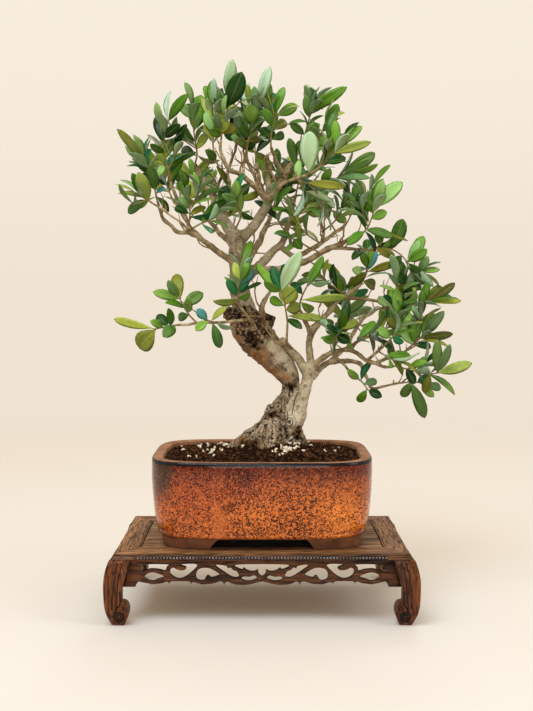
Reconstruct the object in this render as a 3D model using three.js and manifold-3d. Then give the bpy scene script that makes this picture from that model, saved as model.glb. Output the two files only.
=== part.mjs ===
// Olive bonsai: an old thick-trunked olive in a glazed stoneware pot on a carved wooden stand.
// Millimetres, +Z up. The bottom centre of the whole object's box is the origin.

import * as THREE from "three";
import { mergeVertices } from "three/addons/utils/BufferGeometryUtils.js";
import Module from "manifold-3d";

// ---------------------------------------------------------------- driving dimensions

const GAP = 0.35;                 // clearance between neighbouring pieces
const WELD = 0.002;               // corners nearer than this are one

const BOARD_LENGTH = 300;         // stand top, along X
const BOARD_DEPTH = 185;          // stand top, along Y
const STAND_HEIGHT = 72;
const RAIL_THICKNESS = 6;
const FRONT_RAIL_WIDTH = 30;
const SIDE_RAIL_WIDTH = 24;
const CORNER_SWELL = 3.2;         // how far the top's corners swell out at their lower edge, over the legs
const APRON_FRONT = 6;            // set back of the apron's face from the board's edge
const APRON_THICKNESS = 6;

const POT_WIDTH = 234;            // across the rim, along X
const POT_DEPTH = 185;
const POT_HEIGHT = 91;
const LIP_WIDTH = 11.5;
const POT_SQUARENESS = 4.6;       // exponent of the pot's rounded plan
const FOOT_SQUARENESS = 6;
const FOOT_HEIGHT = 10.7;         // up to the top of the arches between the feet
const FOOT_INSET = 18.5;          // of the foot's outer edge from the rim's, at the front and the back
const FOOT_END_INSET = 13;        // the same at the two ends
const FOOT_WALL = 14;
const FRONT_ARCH_HALF = 46;       // half the arch between the front feet, at its top
const SIDE_ARCH_HALF = 24;
const ARCH_FLARE = 9;             // how much wider an arch is at its bottom, on each side
const POT_FLOOR = 18;             // cavity floor above the pot's base
const DRAIN_RADIUS = 8;
const DRAIN_SPACING = 96;
const SCREEN_THICKNESS = 0.8;
const SCREEN_PAST_HOLE = 18;      // from a drain hole's middle to the end of the screen
const SCREEN_HALF_WIDTH = 20;

const SOIL_BELOW_LIP = 4.7;
const SOIL_MOUND = 6.5;
const ROOT_PAD = { x: 10, y: 22, halfX: 42, halfY: 34, depth: 22 };

const LEAF_THICKNESS = 1.1;
const LEAF_LEAST_WIDTH = 8;       // a leaf seen thinner than this is turned edge-on
const TWIG_RADIUS = 1.15;
const TWIG_TIP_RADIUS = 0.75;
const DRAW_SEED = 20417;

// Limbs and sprays are laid out on a front elevation: across to the right and down, in units
// that are UNIT millimetres on the middle plane, then the depth behind that plane in mm. The
// elevation is a perspective one, so a unit grows with the depth.
const UNIT = 1.0972;
const EYE_DISTANCE = 1151;
const EYE_HEIGHT = 330;
const CENTRE_ACROSS = 262;
const EYE_LEVEL = 298;
const TREE_SET_BACK = 18;         // the trunk stands a little behind the pot's middle
const CROWN_SPREAD = 0.55;        // how much further the crown opens in depth than drawn
const SPREAD_FROM = 400;          // down the elevation: no extra spread below this,
const SPREAD_FULL = 300;          // and all of it above this

// Each limb point: across, down, depth, radius in mm.
const LIMBS = {
  trunk: [[273, 464, 4, 29], [275, 450, 4, 28], [277, 437, 2, 25.5], [280, 424, 1, 22.5],
    [284.5, 412, 0, 18.5], [289, 401, 0, 14], [291, 391, 0, 10.6], [290, 381, 0, 11.2],
    [284, 369, 0, 14.5], [274, 356, 0, 18], [263, 345, -1, 19.5], [253, 334, -2, 20.5],
    [247, 323, -2, 20], [244, 313, -2, 15]],
  leader: [[246, 322, 0, 15], [243, 308, 0, 13], [241, 296, 0, 11.5], [239, 282, 0, 10.5],
    [238, 268, 0, 10], [237.5, 254, 0, 9.8], [238, 242, 0, 9.6], [239, 232, 0, 7.5]],
  root_left: [[273, 428, 0, 17], [260, 434, -7, 13], [248, 439, -13, 9.5], [237, 444, -18, 6.5],
    [225, 453, -22, 3.5]],
  root_front: [[274, 430, -6, 17], [269, 441, -20, 13], [264, 450, -31, 8.5], [259, 461, -40, 4]],
  root_right: [[291, 428, 0, 12], [297, 438, -5, 9.5], [301, 448, -8, 7], [306, 461, -11, 4]],
  root_back: [[281, 430, 6, 13], [274, 440, 22, 10], [266, 450, 35, 7.5], [259, 461, 42, 4.5]],
  root_back_right: [[287, 430, 5, 12], [293, 441, 18, 9], [299, 451, 28, 6.5], [305, 462, 36, 4]],
  side_stem: [[293, 430, -9, 9], [297, 420, -11, 8.6], [300, 408, -12, 7.8], [303, 396, -12, 7.2],
    [306, 385, -11, 6.9], [309, 374, -9, 6.8], [311, 363, -8, 5.6]],
  burl_low: [[278, 418, -7, 11], [270, 411, -11, 9], [266, 409, -12, 6]],
  burl_left: [[240, 318, -4, 12], [231, 314, -6, 8.5], [226, 312, -7, 6.5]],
  burl_right: [[256, 330, 2, 14], [266, 322, 3, 10.5], [270, 314, 3, 8]],
  stub: [[262, 333, -9, 5.6], [262, 321, -17, 4.2], [262, 308, -24, 3.3], [265, 300, -25, 2.4],
    [271, 290, -26, 1.7]],
  brown_shoot: [[256, 333, -9, 2.8], [251, 322, -24, 2.4], [244, 312, -25, 2], [239, 304, -24, 1.3]],
  left_twig: [[257, 323, -8, 2.2], [249, 320, -22, 1.9], [236, 321, -30, 1.8], [218, 322, -31, 1.7],
    [197, 323, -31, 1.6], [178, 325, -29, 1.4]],
  front_shoot: [[292, 349, -8, 2.2], [287, 345, -24, 1.6], [287, 334, -29, 1.4],
    [287.5, 322, -32, 1.3]],
  left_low: [[235, 264, -2, 5], [224, 256, -4, 3.9], [214, 248.5, -8, 3.4], [203, 240, -12, 3.1],
    [192, 233, -16, 3], [179, 232, -20, 2.5], [171, 226, -22, 2.2], [163, 219, -24, 2.1],
    [160, 210, -25, 1.8], [157, 200, -26, 1.5]],
  left_mid: [[191, 232, -16, 2.6], [187, 222, -14, 2.4], [181, 208, -12, 2.2], [175, 196, -11, 2],
    [170, 182, -10, 1.8]],
  left_long: [[191, 232.5, -16, 1.8], [178, 221, -28, 1.3], [164, 211, -35, 1.2], [152, 203, -40, 1.1]],
  left_back: [[201, 238.5, -12, 2.6], [190, 226, 6, 2.1], [180, 212, 22, 1.8], [172, 198, 36, 1.5]],
  top_left: [[238, 240, 0, 8.5], [230, 229, -2, 7.4], [222, 218, -4, 6.2], [216, 208, -5, 5],
    [212.5, 196, -4, 4], [206, 184, -1, 3.2], [199, 172, 2, 2.8], [195, 164, 4, 2.3]],
  top_left_fork: [[213, 197, -4, 2.4], [218, 185, -14, 2], [222, 176, -22, 1.6]],
  centre_stem: [[222, 216, -3, 4.2], [227, 204, 2, 3.4], [229, 194, 6, 3], [229, 182, 10, 2.6],
    [228, 172, 14, 2.2], [232, 160, 20, 1.8], [236, 149, 24, 1.5]],
  arch: [[269, 201, -2, 4.4], [262, 194, -7, 3.7], [254, 187, -12, 3.2], [246, 179, -16, 2.9],
    [238, 173, -19, 2.7], [230, 170, -22, 2.5], [224, 161, -24, 2.2], [220, 150, -25, 1.9],
    [221, 140, -26, 1.6]],
  arch_up: [[262, 194, -7, 2.8], [256, 181, 0, 2.3], [250, 168, 4, 2], [244, 156, 6, 1.7]],
  arch_mid: [[243, 176, -16, 2], [243, 164, -12, 1.7], [246, 152, -8, 1.4]],
  top_right: [[240, 238, 0, 8], [248, 232, 3, 6.4], [256, 223, 5, 5.9], [262, 213, 4, 5.6],
    [267, 204, 2, 5.3], [269, 194, 2, 4], [268.5, 182, 4, 3], [268, 168, 8, 2.6], [267, 155, 11, 2.1]],
  crown_back: [[267, 203, 6, 3.8], [262, 190, 24, 3], [258, 175, 41, 2.5], [256, 160, 46, 2]],
  top_right_out: [[268, 203, 2, 4.4], [276, 191, 8, 3.9], [284, 177, 14, 3.5], [291, 164, 20, 3],
    [298, 151, 25, 2.4], [303, 141, 28, 1.9]],
  top_right_in: [[284, 178, 12, 2.4], [279, 167, 2, 2.3], [274, 157, -6, 2.1], [271, 147, -12, 1.8]],
  pale_twig: [[268, 204, -4, 2.6], [274, 193, -18, 2.1], [283, 184, -30, 1.9], [295, 179, -40, 1.6],
    [306, 175, -46, 1.3]],
  right_rise: [[243, 284, 3, 6.4], [252, 273, 6, 5.4], [263, 262, 9, 5], [273, 252, 12, 4.6],
    [281, 244, 14, 4.1], [286, 232, 16, 3.5], [290, 219, 20, 3], [293, 206, 24, 2.5],
    [296, 194, 28, 2]],
  rear_limb: [[241, 264, 5, 5.6], [249, 257, 14, 4.6], [257, 246, 26, 4.1], [263, 234, 38, 3.4],
    [269, 221, 44, 2.8], [274, 206, 49, 2.2]],
  rear_left: [[237, 250, 6, 5], [229, 242, 24, 3.9], [219, 232, 41, 3], [209, 221, 47, 2.3],
    [202, 209, 52, 1.8]],
  right_arm: [[254, 271, 5, 4.6], [269, 270, 0, 4.3], [285, 268, -6, 4], [302, 263, -12, 3.6],
    [316, 256, -16, 3.4], [330, 249, -19, 3.2], [341, 243, -22, 2.8], [352, 238, -26, 2.5],
    [363, 233, -30, 2.1]],
  right_arm_low: [[333, 248, -19, 2.4], [346, 248, -16, 2.1], [359, 250, -14, 1.8]],
  right_arm_back: [[280, 246, 14, 3.6], [292, 256, 18, 3.3], [301, 255, 20, 3.1], [311, 249, 22, 2.9],
    [323, 242, 26, 2.6], [334, 233, 32, 2.2], [345, 226, 38, 1.8]],
  right_arm_up: [[322, 242, 25, 2.2], [323, 232, 22, 1.9], [321, 221, 18, 1.6]],
  side_up: [[311, 365, -8, 5.4], [309.5, 352, -8, 4.6], [309.5, 342, -8, 4.3], [312, 333, -7, 4.2],
    [319, 322, 0, 4.1], [328, 312, 8, 3.9], [335, 303, 15, 3.7], [343, 298, 22, 3.3],
    [352, 291, 29, 2.8], [361, 284, 34, 2.3]],
  side_up_left: [[311, 335, -8, 3.2], [308, 326, -14, 2.8], [303, 317, -20, 2.3], [299, 308, -24, 1.8]],
  side_far: [[341, 299, 19, 2.8], [356, 298, 16, 2.6], [370, 300, 12, 2.4], [383, 301, 8, 2.2],
    [392, 295, 4, 1.9], [401, 288, 0, 1.6]],
  side_mid: [[312, 368, -8, 5], [322, 358, -12, 4.2], [334, 352, -17, 3.8], [346, 350, -21, 3.4],
    [355, 352, -23, 3.2], [364, 359, -25, 3], [374, 363, -27, 2.8], [384, 367, -29, 2.3],
    [395, 366, -30, 1.9]],
  side_mid_up: [[347, 350, -20, 2.8], [352, 336, -17, 2.5], [359, 325, -14, 2.3], [366, 317, -11, 2.1],
    [376, 310, -8, 1.9], [388, 307, -6, 1.6]],
  side_mid_back: [[349, 340, -18, 2.2], [345, 330, 0, 2], [342, 322, 18, 1.8]],
  side_mid_front: [[368, 360, -26, 2], [378, 351, -32, 1.7], [389, 341, -38, 1.4]],
  side_mid_rise: [[376, 363, -26, 2.4], [386, 359, -18, 2], [399, 356, -12, 1.7], [410, 347, -8, 1.4]],
  side_low: [[312, 378, -8, 5.4], [319, 369, -4, 4.6], [329, 362, 1, 4.1], [342, 361, 6, 3.7],
    [354, 361, 9, 3.4], [361, 364, 10, 3.1], [366, 376, 8, 2.7], [371, 388, 5, 2.4], [383, 386, 1, 2],
    [396, 384, -3, 1.8], [408, 382, -7, 1.5]],
  side_rear: [[330, 361, 2, 3.4], [344, 350, 20, 2.9], [360, 341, 36, 2.4], [376, 334, 44, 1.9]],
  pale_drop: [[333, 354, -17, 2.1], [341, 363, -22, 1.7], [349, 371, -25, 1.5], [357, 378, -26, 1.2]],
  crotch_limb: [[308, 370, -5, 4.2], [299, 358, -6, 3.9], [290, 347, -8, 3.4], [281, 338, -10, 2.8]],
};

// Each spray: its twig, then its leaves: across and down of the base, of the tip, and the width
// seen, all in elevation units.
const SPRAYS = {
  left_outer: { twig: [[152, 203, -40], [147, 199.5, -43], [142, 197, -45]],
    leaves: [[143, 199, 118, 193.5, 5], [140, 196, 120, 180, 5], [150, 199, 138, 172, 12],
      [144, 197, 132, 173, 8], [149, 201, 133, 206, 7], [146, 200, 128, 213, 9]] },
  left_top: { twig: [[157, 200, -26], [155, 190, -28], [152, 178, -30], [148, 167, -31],
    [144, 158, -31]],
    leaves: [[146, 163, 117, 129, 8], [144, 158, 125, 146, 5], [155, 190, 150, 163, 9],
      [148, 170, 127, 166, 4], [152, 178, 139, 161, 9], [156, 194, 167, 189, 6],
      [157, 198, 169, 212, 6], [158, 202, 140, 209, 4], [147, 163, 150, 136, 6],
      [153, 180, 164, 166, 8]] },
  left_high: { twig: [[170, 182, -10], [168, 170, -9], [165, 158, -8], [164, 147, -8], [165, 134, -9],
    [168, 121, -10]],
    leaves: [[164, 146, 159, 114, 12], [166, 160, 170, 139, 13], [168, 169, 196, 152, 7],
      [165, 130, 156, 102, 7], [168, 120, 171, 91, 6], [168, 122, 188, 94, 10], [169, 176, 154, 161, 8],
      [165, 138, 180, 124, 9], [166, 152, 150, 144, 7]] },
  left_inner: { twig: [[189, 224, -16], [190, 214, -18], [189, 205, -20], [187, 197, -21]],
    leaves: [[188, 200, 197, 182, 17], [187, 197, 180, 181, 8], [189, 207, 213, 199, 4],
      [190, 215, 206, 207, 7], [190, 217, 220, 212, 6], [189, 209, 178, 197, 7],
      [190, 214, 175, 207, 8]] },
  left_rear: { twig: [[172, 198, 36], [168, 189, 41], [165, 179, 43], [163, 169, 44]],
    pairs: 4 },
  top_left: { twig: [[195, 164, 4], [197, 155, 2], [196, 145, 0], [194, 133, -2], [193, 120, -4],
    [192, 109, -5]],
    leaves: [[194, 131, 201, 95, 17], [195, 142, 186, 127, 6], [196, 147, 178, 130, 8],
      [192, 110, 185, 82, 6], [197, 155, 220, 160, 4], [193, 119, 180, 104, 9], [196, 150, 207, 133, 8],
      [197, 156, 182, 148, 9]] },
  top_left_inner: { twig: [[222, 176, -22], [216, 160, -20], [213, 146, -18], [214, 132, -17],
    [216, 118, -17], [216, 106, -17]],
    leaves: [[213, 142, 205, 124, 8], [215, 124, 201, 97, 7], [216, 108, 211, 81, 10],
      [216, 106, 214, 78, 7], [216, 112, 222, 88, 8], [214, 134, 205, 112, 9], [216, 160, 205, 150, 8],
      [214, 136, 224, 118, 9]] },
  crown_left: { twig: [[221, 140, -26], [222, 132, -27], [225, 121, -28], [227, 109, -28],
    [228, 99, -28]],
    leaves: [[227, 99, 232, 59, 11], [228, 108, 242, 72, 16], [226, 118, 227, 95, 6],
      [222, 134, 227, 119, 11], [222, 134, 236, 126, 10], [222, 136, 208, 131, 8],
      [222, 130, 216, 112, 6], [226, 116, 241, 112, 6], [227, 110, 219, 90, 8]] },
  crown_mid: { twig: [[236, 149, 24], [238, 139, 20], [240, 129, 16], [242, 119, 12], [244, 108, 8]],
    leaves: [[243, 109, 248, 83, 8], [242, 116, 241, 95, 6], [243, 112, 256, 90, 8],
      [240, 128, 256, 115, 9], [239, 138, 258, 130, 13], [238, 140, 224, 133, 7],
      [241, 122, 229, 108, 9], [240, 130, 230, 118, 8]] },
  crown_centre: { twig: [[246, 152, -8], [248, 142, -10], [251, 130, -13], [255, 118, -16],
    [258, 108, -18]],
    leaves: [[258, 108, 270, 67, 10], [258, 109, 272, 88, 8], [253, 124, 250, 104, 14],
      [256, 114, 254, 86, 8], [252, 128, 264, 118, 8], [248, 142, 260, 138, 7], [249, 137, 240, 125, 9],
      [247, 146, 236, 140, 8]] },
  crown_right: { twig: [[271, 147, -12], [271, 136, -15], [273, 124, -18], [277, 113, -20]],
    leaves: [[272, 124, 275, 93, 10], [277, 113, 284, 87, 8], [276, 116, 297, 105, 10],
      [272, 130, 286, 121, 9], [271, 138, 260, 128, 9], [273, 126, 264, 108, 8],
      [271, 140, 284, 134, 8], [277, 113, 271, 92, 7]] },
  crown_far: { twig: [[303, 141, 28], [306, 130, 25], [309, 119, 22], [312, 110, 19]],
    leaves: [[309, 118, 306, 95, 9], [312, 110, 307, 84, 5], [312, 111, 347, 87, 11],
      [308, 122, 288, 125, 5], [305, 135, 290, 122, 8], [305, 133, 320, 124, 9],
      [310, 115, 324, 100, 8]] },
  right_crown: { twig: [[284, 176, 14], [296, 168, 4], [307, 158, -4], [315, 146, -10], [321, 134, -14],
    [325, 124, -17]],
    leaves: [[323, 128, 338, 104, 10], [325, 124, 345, 113, 4], [316, 145, 338, 137, 9],
      [296, 168, 289, 138, 9], [307, 158, 298, 141, 9], [319, 138, 308, 126, 8],
      [322, 131, 334, 121, 8], [310, 153, 322, 148, 7]] },
  right_fan: { twig: [[306, 175, -46], [314, 171, -48], [323, 164, -50], [333, 155, -51],
    [342, 144, -51]],
    leaves: [[307, 173, 310, 131, 16], [318, 168, 347, 136, 14], [337, 149, 335, 120, 8],
      [342, 144, 353, 130, 5], [340, 146, 362, 126, 8], [334, 154, 371, 142, 8],
      [324, 163, 346, 158, 8], [315, 170, 328, 172, 6]] },
  right_fan_low: { twig: [[295, 179, -40], [308, 183, -38], [322, 183, -36], [335, 179, -34],
    [344, 174, -33]],
    leaves: [[308, 182, 346, 187, 8], [343, 174, 375, 153, 11], [344, 174, 378, 164, 5],
      [336, 179, 370, 178, 7], [322, 183, 330, 168, 8], [334, 180, 350, 192, 7],
      [297, 180, 299, 160, 7], [299, 181, 318, 190, 5]] },
  pale_inner: { twig: [[235, 230, -2], [241, 216, -18], [239, 207, -22], [235, 200, -25]],
    leaves: [[235, 200, 236, 180, 9], [236, 201, 259, 193, 7], [240, 210, 254, 219, 6],
      [237, 204, 222, 194, 8], [240, 212, 226, 207, 7]] },
  arch_end: { twig: [[244, 156, 6], [243, 146, 4], [241, 136, -2]],
    leaves: [[243, 147, 232, 135, 8], [241, 137, 236, 118, 8], [243, 149, 255, 143, 8],
      [242, 141, 250, 124, 7]] },
  arm_end: { twig: [[363, 233, -30], [368, 227, -32], [372, 217, -33], [375, 207, -34]],
    leaves: [[366, 230, 358, 195, 11], [375, 207, 383, 180, 9], [375, 208, 402, 182, 13],
      [373, 214, 366, 199, 8], [371, 219, 387, 212, 9], [367, 230, 394, 237, 8],
      [365, 232, 408, 241, 5], [364, 233, 375, 252, 5], [365, 232, 347, 245, 8]] },
  arm_back: { twig: [[345, 226, 38], [349, 219, 40], [352, 211, 40], [354, 202, 40]],
    leaves: [[350, 217, 349, 190, 8], [354, 203, 360, 180, 8], [353, 208, 342, 194, 8],
      [347, 223, 333, 212, 9], [351, 214, 364, 207, 8]] },
  arm_far: { twig: [[359, 250, -14], [369, 250, -15], [380, 248, -16], [391, 249, -17], [401, 255, -18],
    [408, 263, -18]],
    leaves: [[391, 249, 403, 219, 13], [372, 250, 398, 242, 8], [376, 249, 395, 257, 8],
      [408, 262, 427, 249, 10], [407, 262, 420, 240, 8], [402, 256, 388, 268, 8],
      [381, 248, 378, 232, 8], [408, 263, 421, 272, 7], [362, 250, 352, 260, 7]] },
  arm_up: { twig: [[321, 222, 18], [320, 209, 16], [317, 200, 14]],
    leaves: [[320, 209, 308, 198, 9], [320, 210, 333, 200, 8], [317, 201, 311, 182, 9],
      [318, 203, 326, 186, 8], [321, 215, 308, 214, 7]] },
  rise_end: { twig: [[296, 194, 28], [298, 185, 30], [300, 175, 31]],
    leaves: [[298, 184, 285, 174, 9], [299, 181, 312, 172, 8], [300, 176, 294, 156, 8],
      [297, 188, 310, 190, 8], [296, 190, 282, 192, 7]] },
  side_up: { twig: [[361, 284, 34], [365, 277, 35], [368, 269, 35]],
    leaves: [[367, 272, 397, 263, 8], [367, 271, 376, 251, 8], [364, 279, 354, 267, 8],
      [363, 281, 375, 287, 11], [368, 269, 362, 252, 8], [362, 282, 349, 281, 8]] },
  side_far: { twig: [[401, 288, 0], [408, 281, -2], [415, 274, -4], [421, 271, -5]],
    leaves: [[404, 285, 399, 260, 9], [409, 280, 421, 290, 9], [420, 272, 440, 270, 6],
      [419, 272, 428, 256, 8], [412, 277, 426, 283, 8], [407, 282, 391, 276, 8]] },
  side_far_low: { twig: [[383, 301, 8], [396, 303, 0], [409, 304, -6], [420, 304, -10],
    [428, 303, -12]],
    leaves: [[427, 303, 455, 283, 8], [428, 303, 452, 297, 6], [428, 304, 461, 301, 7],
      [421, 304, 428, 282, 8], [411, 304, 423, 320, 7], [404, 304, 396, 322, 9],
      [397, 303, 388, 289, 8], [414, 304, 410, 288, 8]] },
  mid_rise: { twig: [[410, 347, -8], [417, 341, -9], [424, 335, -10]],
    leaves: [[421, 337, 436, 314, 15], [424, 335, 444, 311, 9], [420, 339, 453, 334, 8],
      [414, 344, 416, 321, 11], [413, 345, 431, 347, 7], [412, 346, 401, 326, 10]] },
  mid_end: { twig: [[395, 366, -30], [406, 369, -31], [417, 372, -32], [428, 374, -32],
    [438, 373, -32]],
    leaves: [[437, 373, 437, 339, 9], [438, 373, 450, 344, 8], [438, 374, 472, 363, 10],
      [417, 372, 425, 357, 8], [427, 374, 455, 395, 6], [407, 369, 427, 361, 6],
      [406, 369, 415, 384, 8], [400, 367, 398, 350, 7], [430, 374, 424, 393, 8]] },
  low_end: { twig: [[408, 382, -7], [416, 382, -7], [424, 384, -7]],
    leaves: [[421, 383, 434, 397, 7], [411, 382, 425, 418, 11], [424, 384, 441, 388, 8],
      [417, 382, 430, 376, 7], [410, 382, 402, 397, 9]] },
  mid_front: { twig: [[389, 341, -38], [395, 334, -40], [400, 327, -41]],
    leaves: [[396, 333, 397, 313, 8], [400, 327, 411, 313, 8], [391, 339, 378, 328, 9],
      [392, 337, 404, 342, 7], [390, 340, 393, 357, 7], [399, 329, 387, 318, 8]] },
  mid_up: { twig: [[388, 307, -6], [397, 305, -20], [404, 300, -30]],
    leaves: [[397, 305, 391, 290, 8], [403, 301, 412, 288, 7], [398, 304, 410, 312, 8],
      [390, 307, 378, 298, 8], [403, 301, 396, 284, 6]] },
  side_inner: { twig: [[333, 354, -18], [334, 344, -28], [337, 335, -34], [342, 328, -38]],
    leaves: [[334, 345, 327, 322, 6], [341, 329, 358, 321, 8], [337, 336, 350, 342, 9],
      [342, 328, 345, 309, 8], [335, 340, 322, 338, 8], [338, 334, 326, 326, 6]] },
  pale_drop: { twig: [[357, 378, -26], [363, 383, -27], [368, 390, -28]],
    leaves: [[359, 380, 348, 369, 7], [361, 381, 371, 362, 6], [368, 390, 382, 397, 8],
      [367, 389, 358, 402, 8], [364, 384, 377, 381, 7]] },
  front: { twig: [[287.5, 322, -32], [286, 312, -37], [284, 301, -41], [281, 291, -44]],
    leaves: [[282, 291, 301, 251, 13], [285, 305, 291, 286, 17], [285, 310, 301, 306, 11],
      [282, 293, 256, 264, 8], [282, 292, 272, 266, 9], [284, 300, 308, 282, 5],
      [287, 316, 324, 319, 7], [285, 306, 270, 298, 8], [287, 320, 302, 329, 7],
      [281, 291, 285, 264, 9], [281, 292, 264, 281, 7]] },
  front_right: { twig: [[299, 308, -24], [301, 299, -30], [305, 290, -34], [309, 283, -36]],
    leaves: [[309, 283, 330, 280, 5], [308, 285, 323, 256, 8], [306, 289, 314, 268, 7],
      [301, 300, 347, 297, 8], [303, 295, 291, 283, 8], [301, 302, 313, 311, 8]] },
  brown_end: { twig: [[239, 304, -24], [238, 297, -27], [238, 289, -30], [240, 281, -32]],
    leaves: [[238, 297, 227, 279, 8], [238, 293, 247, 277, 9], [238, 300, 213, 301, 7],
      [240, 282, 234, 262, 8], [240, 281, 248, 261, 9], [239, 285, 254, 270, 8],
      [238, 299, 250, 293, 6]] },
  left_twig_end: { twig: [[178, 325, -29], [170, 326, -33], [162, 327.5, -37], [155, 329, -40]],
    leaves: [[155, 329, 114, 319, 8], [156, 329, 140, 349, 18], [168, 326, 157, 315, 9],
      [176, 325, 163, 337, 11], [163, 327, 150, 321, 7], [171, 326, 168, 308, 7]] },
  left_twig_up: { twig: [[197, 323, -31], [190, 316, -28], [184, 307, -26], [179, 297, -25]],
    leaves: [[180, 299, 153, 292, 9], [180, 300, 176, 274, 11], [183, 306, 203, 293, 11],
      [184, 308, 165, 303, 6], [188, 313, 189, 297, 8], [179, 298, 168, 280, 8],
      [189, 315, 178, 318, 8]] },
  left_twig_mid: { twig: [[218, 322, -31], [213, 322, -38], [207, 320, -44]],
    leaves: [[211, 322, 227, 307, 6], [208, 320, 196, 331, 8], [212, 322, 220, 348, 9],
      [208, 320, 197, 309, 8], [216, 322, 234, 328, 6]] },
  rear_centre: { twig: [[256, 160, 46], [255, 149, 48], [253, 137, 49], [251, 125, 49]],
    pairs: 4 },
  rear_limb_end: { twig: [[274, 206, 49], [276, 195, 50], [277, 183, 52], [277, 171, 52]],
    pairs: 4 },
  rear_left_end: { twig: [[202, 209, 52], [198, 199, 54], [195, 188, 55], [193, 177, 56]],
    pairs: 4 },
  side_rear_end: { twig: [[376, 334, 44], [386, 329, 46], [396, 323, 47], [405, 316, 48]],
    pairs: 4 },
  mid_back_end: { twig: [[342, 322, 18], [342, 311, 28], [343, 299, 38], [345, 287, 42]],
    pairs: 4 },
};

const COLOURS = {
  rail: ["#5a3d2a", 0.55], panel: ["#6b4d38", 0.6], apron: ["#4f3220", 0.55], leg: ["#4a2f1e", 0.5],
  pot: ["#a85a2e", 0.3], screen: ["#2c3a2c", 0.8], soil: ["#3a271c", 0.95], wood: ["#8f7d66", 0.9],
  leaf: ["#5b7a3c", 0.55], paleLeaf: ["#8ea57c", 0.6],
};

// ---------------------------------------------------------------- solids

const wasm = await Module();
wasm.setup();

function solidOf(geometry) {
  geometry.deleteAttribute("normal");
  geometry.deleteAttribute("uv");
  const merged = mergeVertices(geometry, 1e-4);
  return new wasm.Manifold(new wasm.Mesh({
    numProp: 3,
    vertProperties: new Float32Array(merged.attributes.position.array),
    triVerts: new Uint32Array(merged.index.array),
  }));
}

function union(solids) {
  return solids.reduce((sum, next) => sum.add(next));
}

function largest(solid) {
  return solid.decompose().sort((a, b) => b.volume() - a.volume())[0];
}

// Corners closer than WELD become one, and the slivers between them go with their twins.
function welded(solid) {
  const { vertProperties, triVerts } = solid.getMesh();
  const snapped = vertProperties.map((value) => Math.round(value / WELD) * WELD);
  const seen = new Map();
  const corner = Array.from({ length: snapped.length / 3 }, (_, i) => {
    const key = [0, 1, 2].map((axis) => Math.round(snapped[3 * i + axis] / WELD)).join();
    if (!seen.has(key)) seen.set(key, i);
    return seen.get(key);
  });
  const faces = new Map();
  for (let i = 0; i < triVerts.length; i += 3) {
    const face = [0, 1, 2].map((k) => corner[triVerts[i + k]]);
    const key = [...face].sort((a, b) => a - b).join();
    if (new Set(face).size < 3) continue;
    if (faces.has(key)) faces.delete(key);
    else faces.set(key, face);
  }
  const geometry = new THREE.BufferGeometry();
  geometry.setAttribute("position", new THREE.BufferAttribute(snapped, 3));
  geometry.setIndex([...faces.values()].flat());
  return geometry.toNonIndexed();
}

function meshOf(name, solid, finish) {
  const geometry = welded(solid);
  geometry.computeVertexNormals();
  const [color, roughness] = COLOURS[finish];
  const mesh = new THREE.Mesh(geometry, new THREE.MeshStandardMaterial({ color, roughness }));
  mesh.name = name;
  return mesh;
}

const PLANES = {
  xy: [new THREE.Vector3(1, 0, 0), new THREE.Vector3(0, 1, 0), new THREE.Vector3(0, 0, 1)],
  xz: [new THREE.Vector3(1, 0, 0), new THREE.Vector3(0, 0, 1), new THREE.Vector3(0, -1, 0)],
  yz: [new THREE.Vector3(0, 1, 0), new THREE.Vector3(0, 0, 1), new THREE.Vector3(1, 0, 0)],
};

// A flat outline in one of the planes above, drawn out between two places along its normal.
function slab(plane, outline, from, to) {
  const shape = new THREE.Shape(outline.map(([a, b]) => new THREE.Vector2(a, b)));
  const geometry = new THREE.ExtrudeGeometry(shape, { depth: to - from, bevelEnabled: false });
  const [across, up, out] = PLANES[plane];
  const start = plane === "xz" ? -to : from;
  geometry.translate(0, 0, start);
  geometry.applyMatrix4(new THREE.Matrix4().makeBasis(across, up, out));
  return solidOf(geometry);
}

// A closed skin over a stack of rings with the same number of points each.
function skin(rings) {
  const sides = rings[0].length;
  const steps = rings.length - 1;
  const centres = rings.map((ring) => ring
    .reduce((sum, point) => sum.add(point), new THREE.Vector3()).divideScalar(sides));
  const geometry = new THREE.CylinderGeometry(1, 1, 1, sides, steps);
  const position = geometry.attributes.position;
  for (let i = 0; i < position.count; i += 1) {
    const x = position.getX(i);
    const z = position.getZ(i);
    const row = Math.round((0.5 + position.getY(i)) * steps);
    const turn = Math.round((Math.atan2(x, z) / (2 * Math.PI)) * sides);
    const point = Math.hypot(x, z) < 0.5 ? centres[row] : rings[row][(turn + sides) % sides];
    position.setXYZ(i, point.x, point.y, point.z);
  }
  return solidOf(geometry);
}

// Points of a rounded rectangle with slightly bowed sides.
function squaredRing(halfX, halfY, z, squareness = POT_SQUARENESS, sides = 28) {
  const bend = (value) => Math.sign(value) * Math.abs(value) ** (2 / squareness);
  return Array.from({ length: sides }, (_, k) => {
    const turn = (2 * Math.PI * k) / sides;
    return new THREE.Vector3(halfX * bend(Math.cos(turn)), halfY * bend(Math.sin(turn)), z);
  });
}

function ovalRing({ x, y, halfX, halfY }, z, inset, sides = 12) {
  return Array.from({ length: sides }, (_, k) => {
    const turn = (2 * Math.PI * k) / sides;
    return new THREE.Vector3(x + (halfX - inset) * Math.cos(turn), y + (halfY - inset) * Math.sin(turn), z);
  });
}

// ---------------------------------------------------------------- stand

const RAIL_BASE = STAND_HEIGHT - RAIL_THICKNESS;
const UNDER_RAIL = RAIL_BASE - GAP;

const mirrored = (points) => points.map(([a, b]) => [-a, b]);

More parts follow.
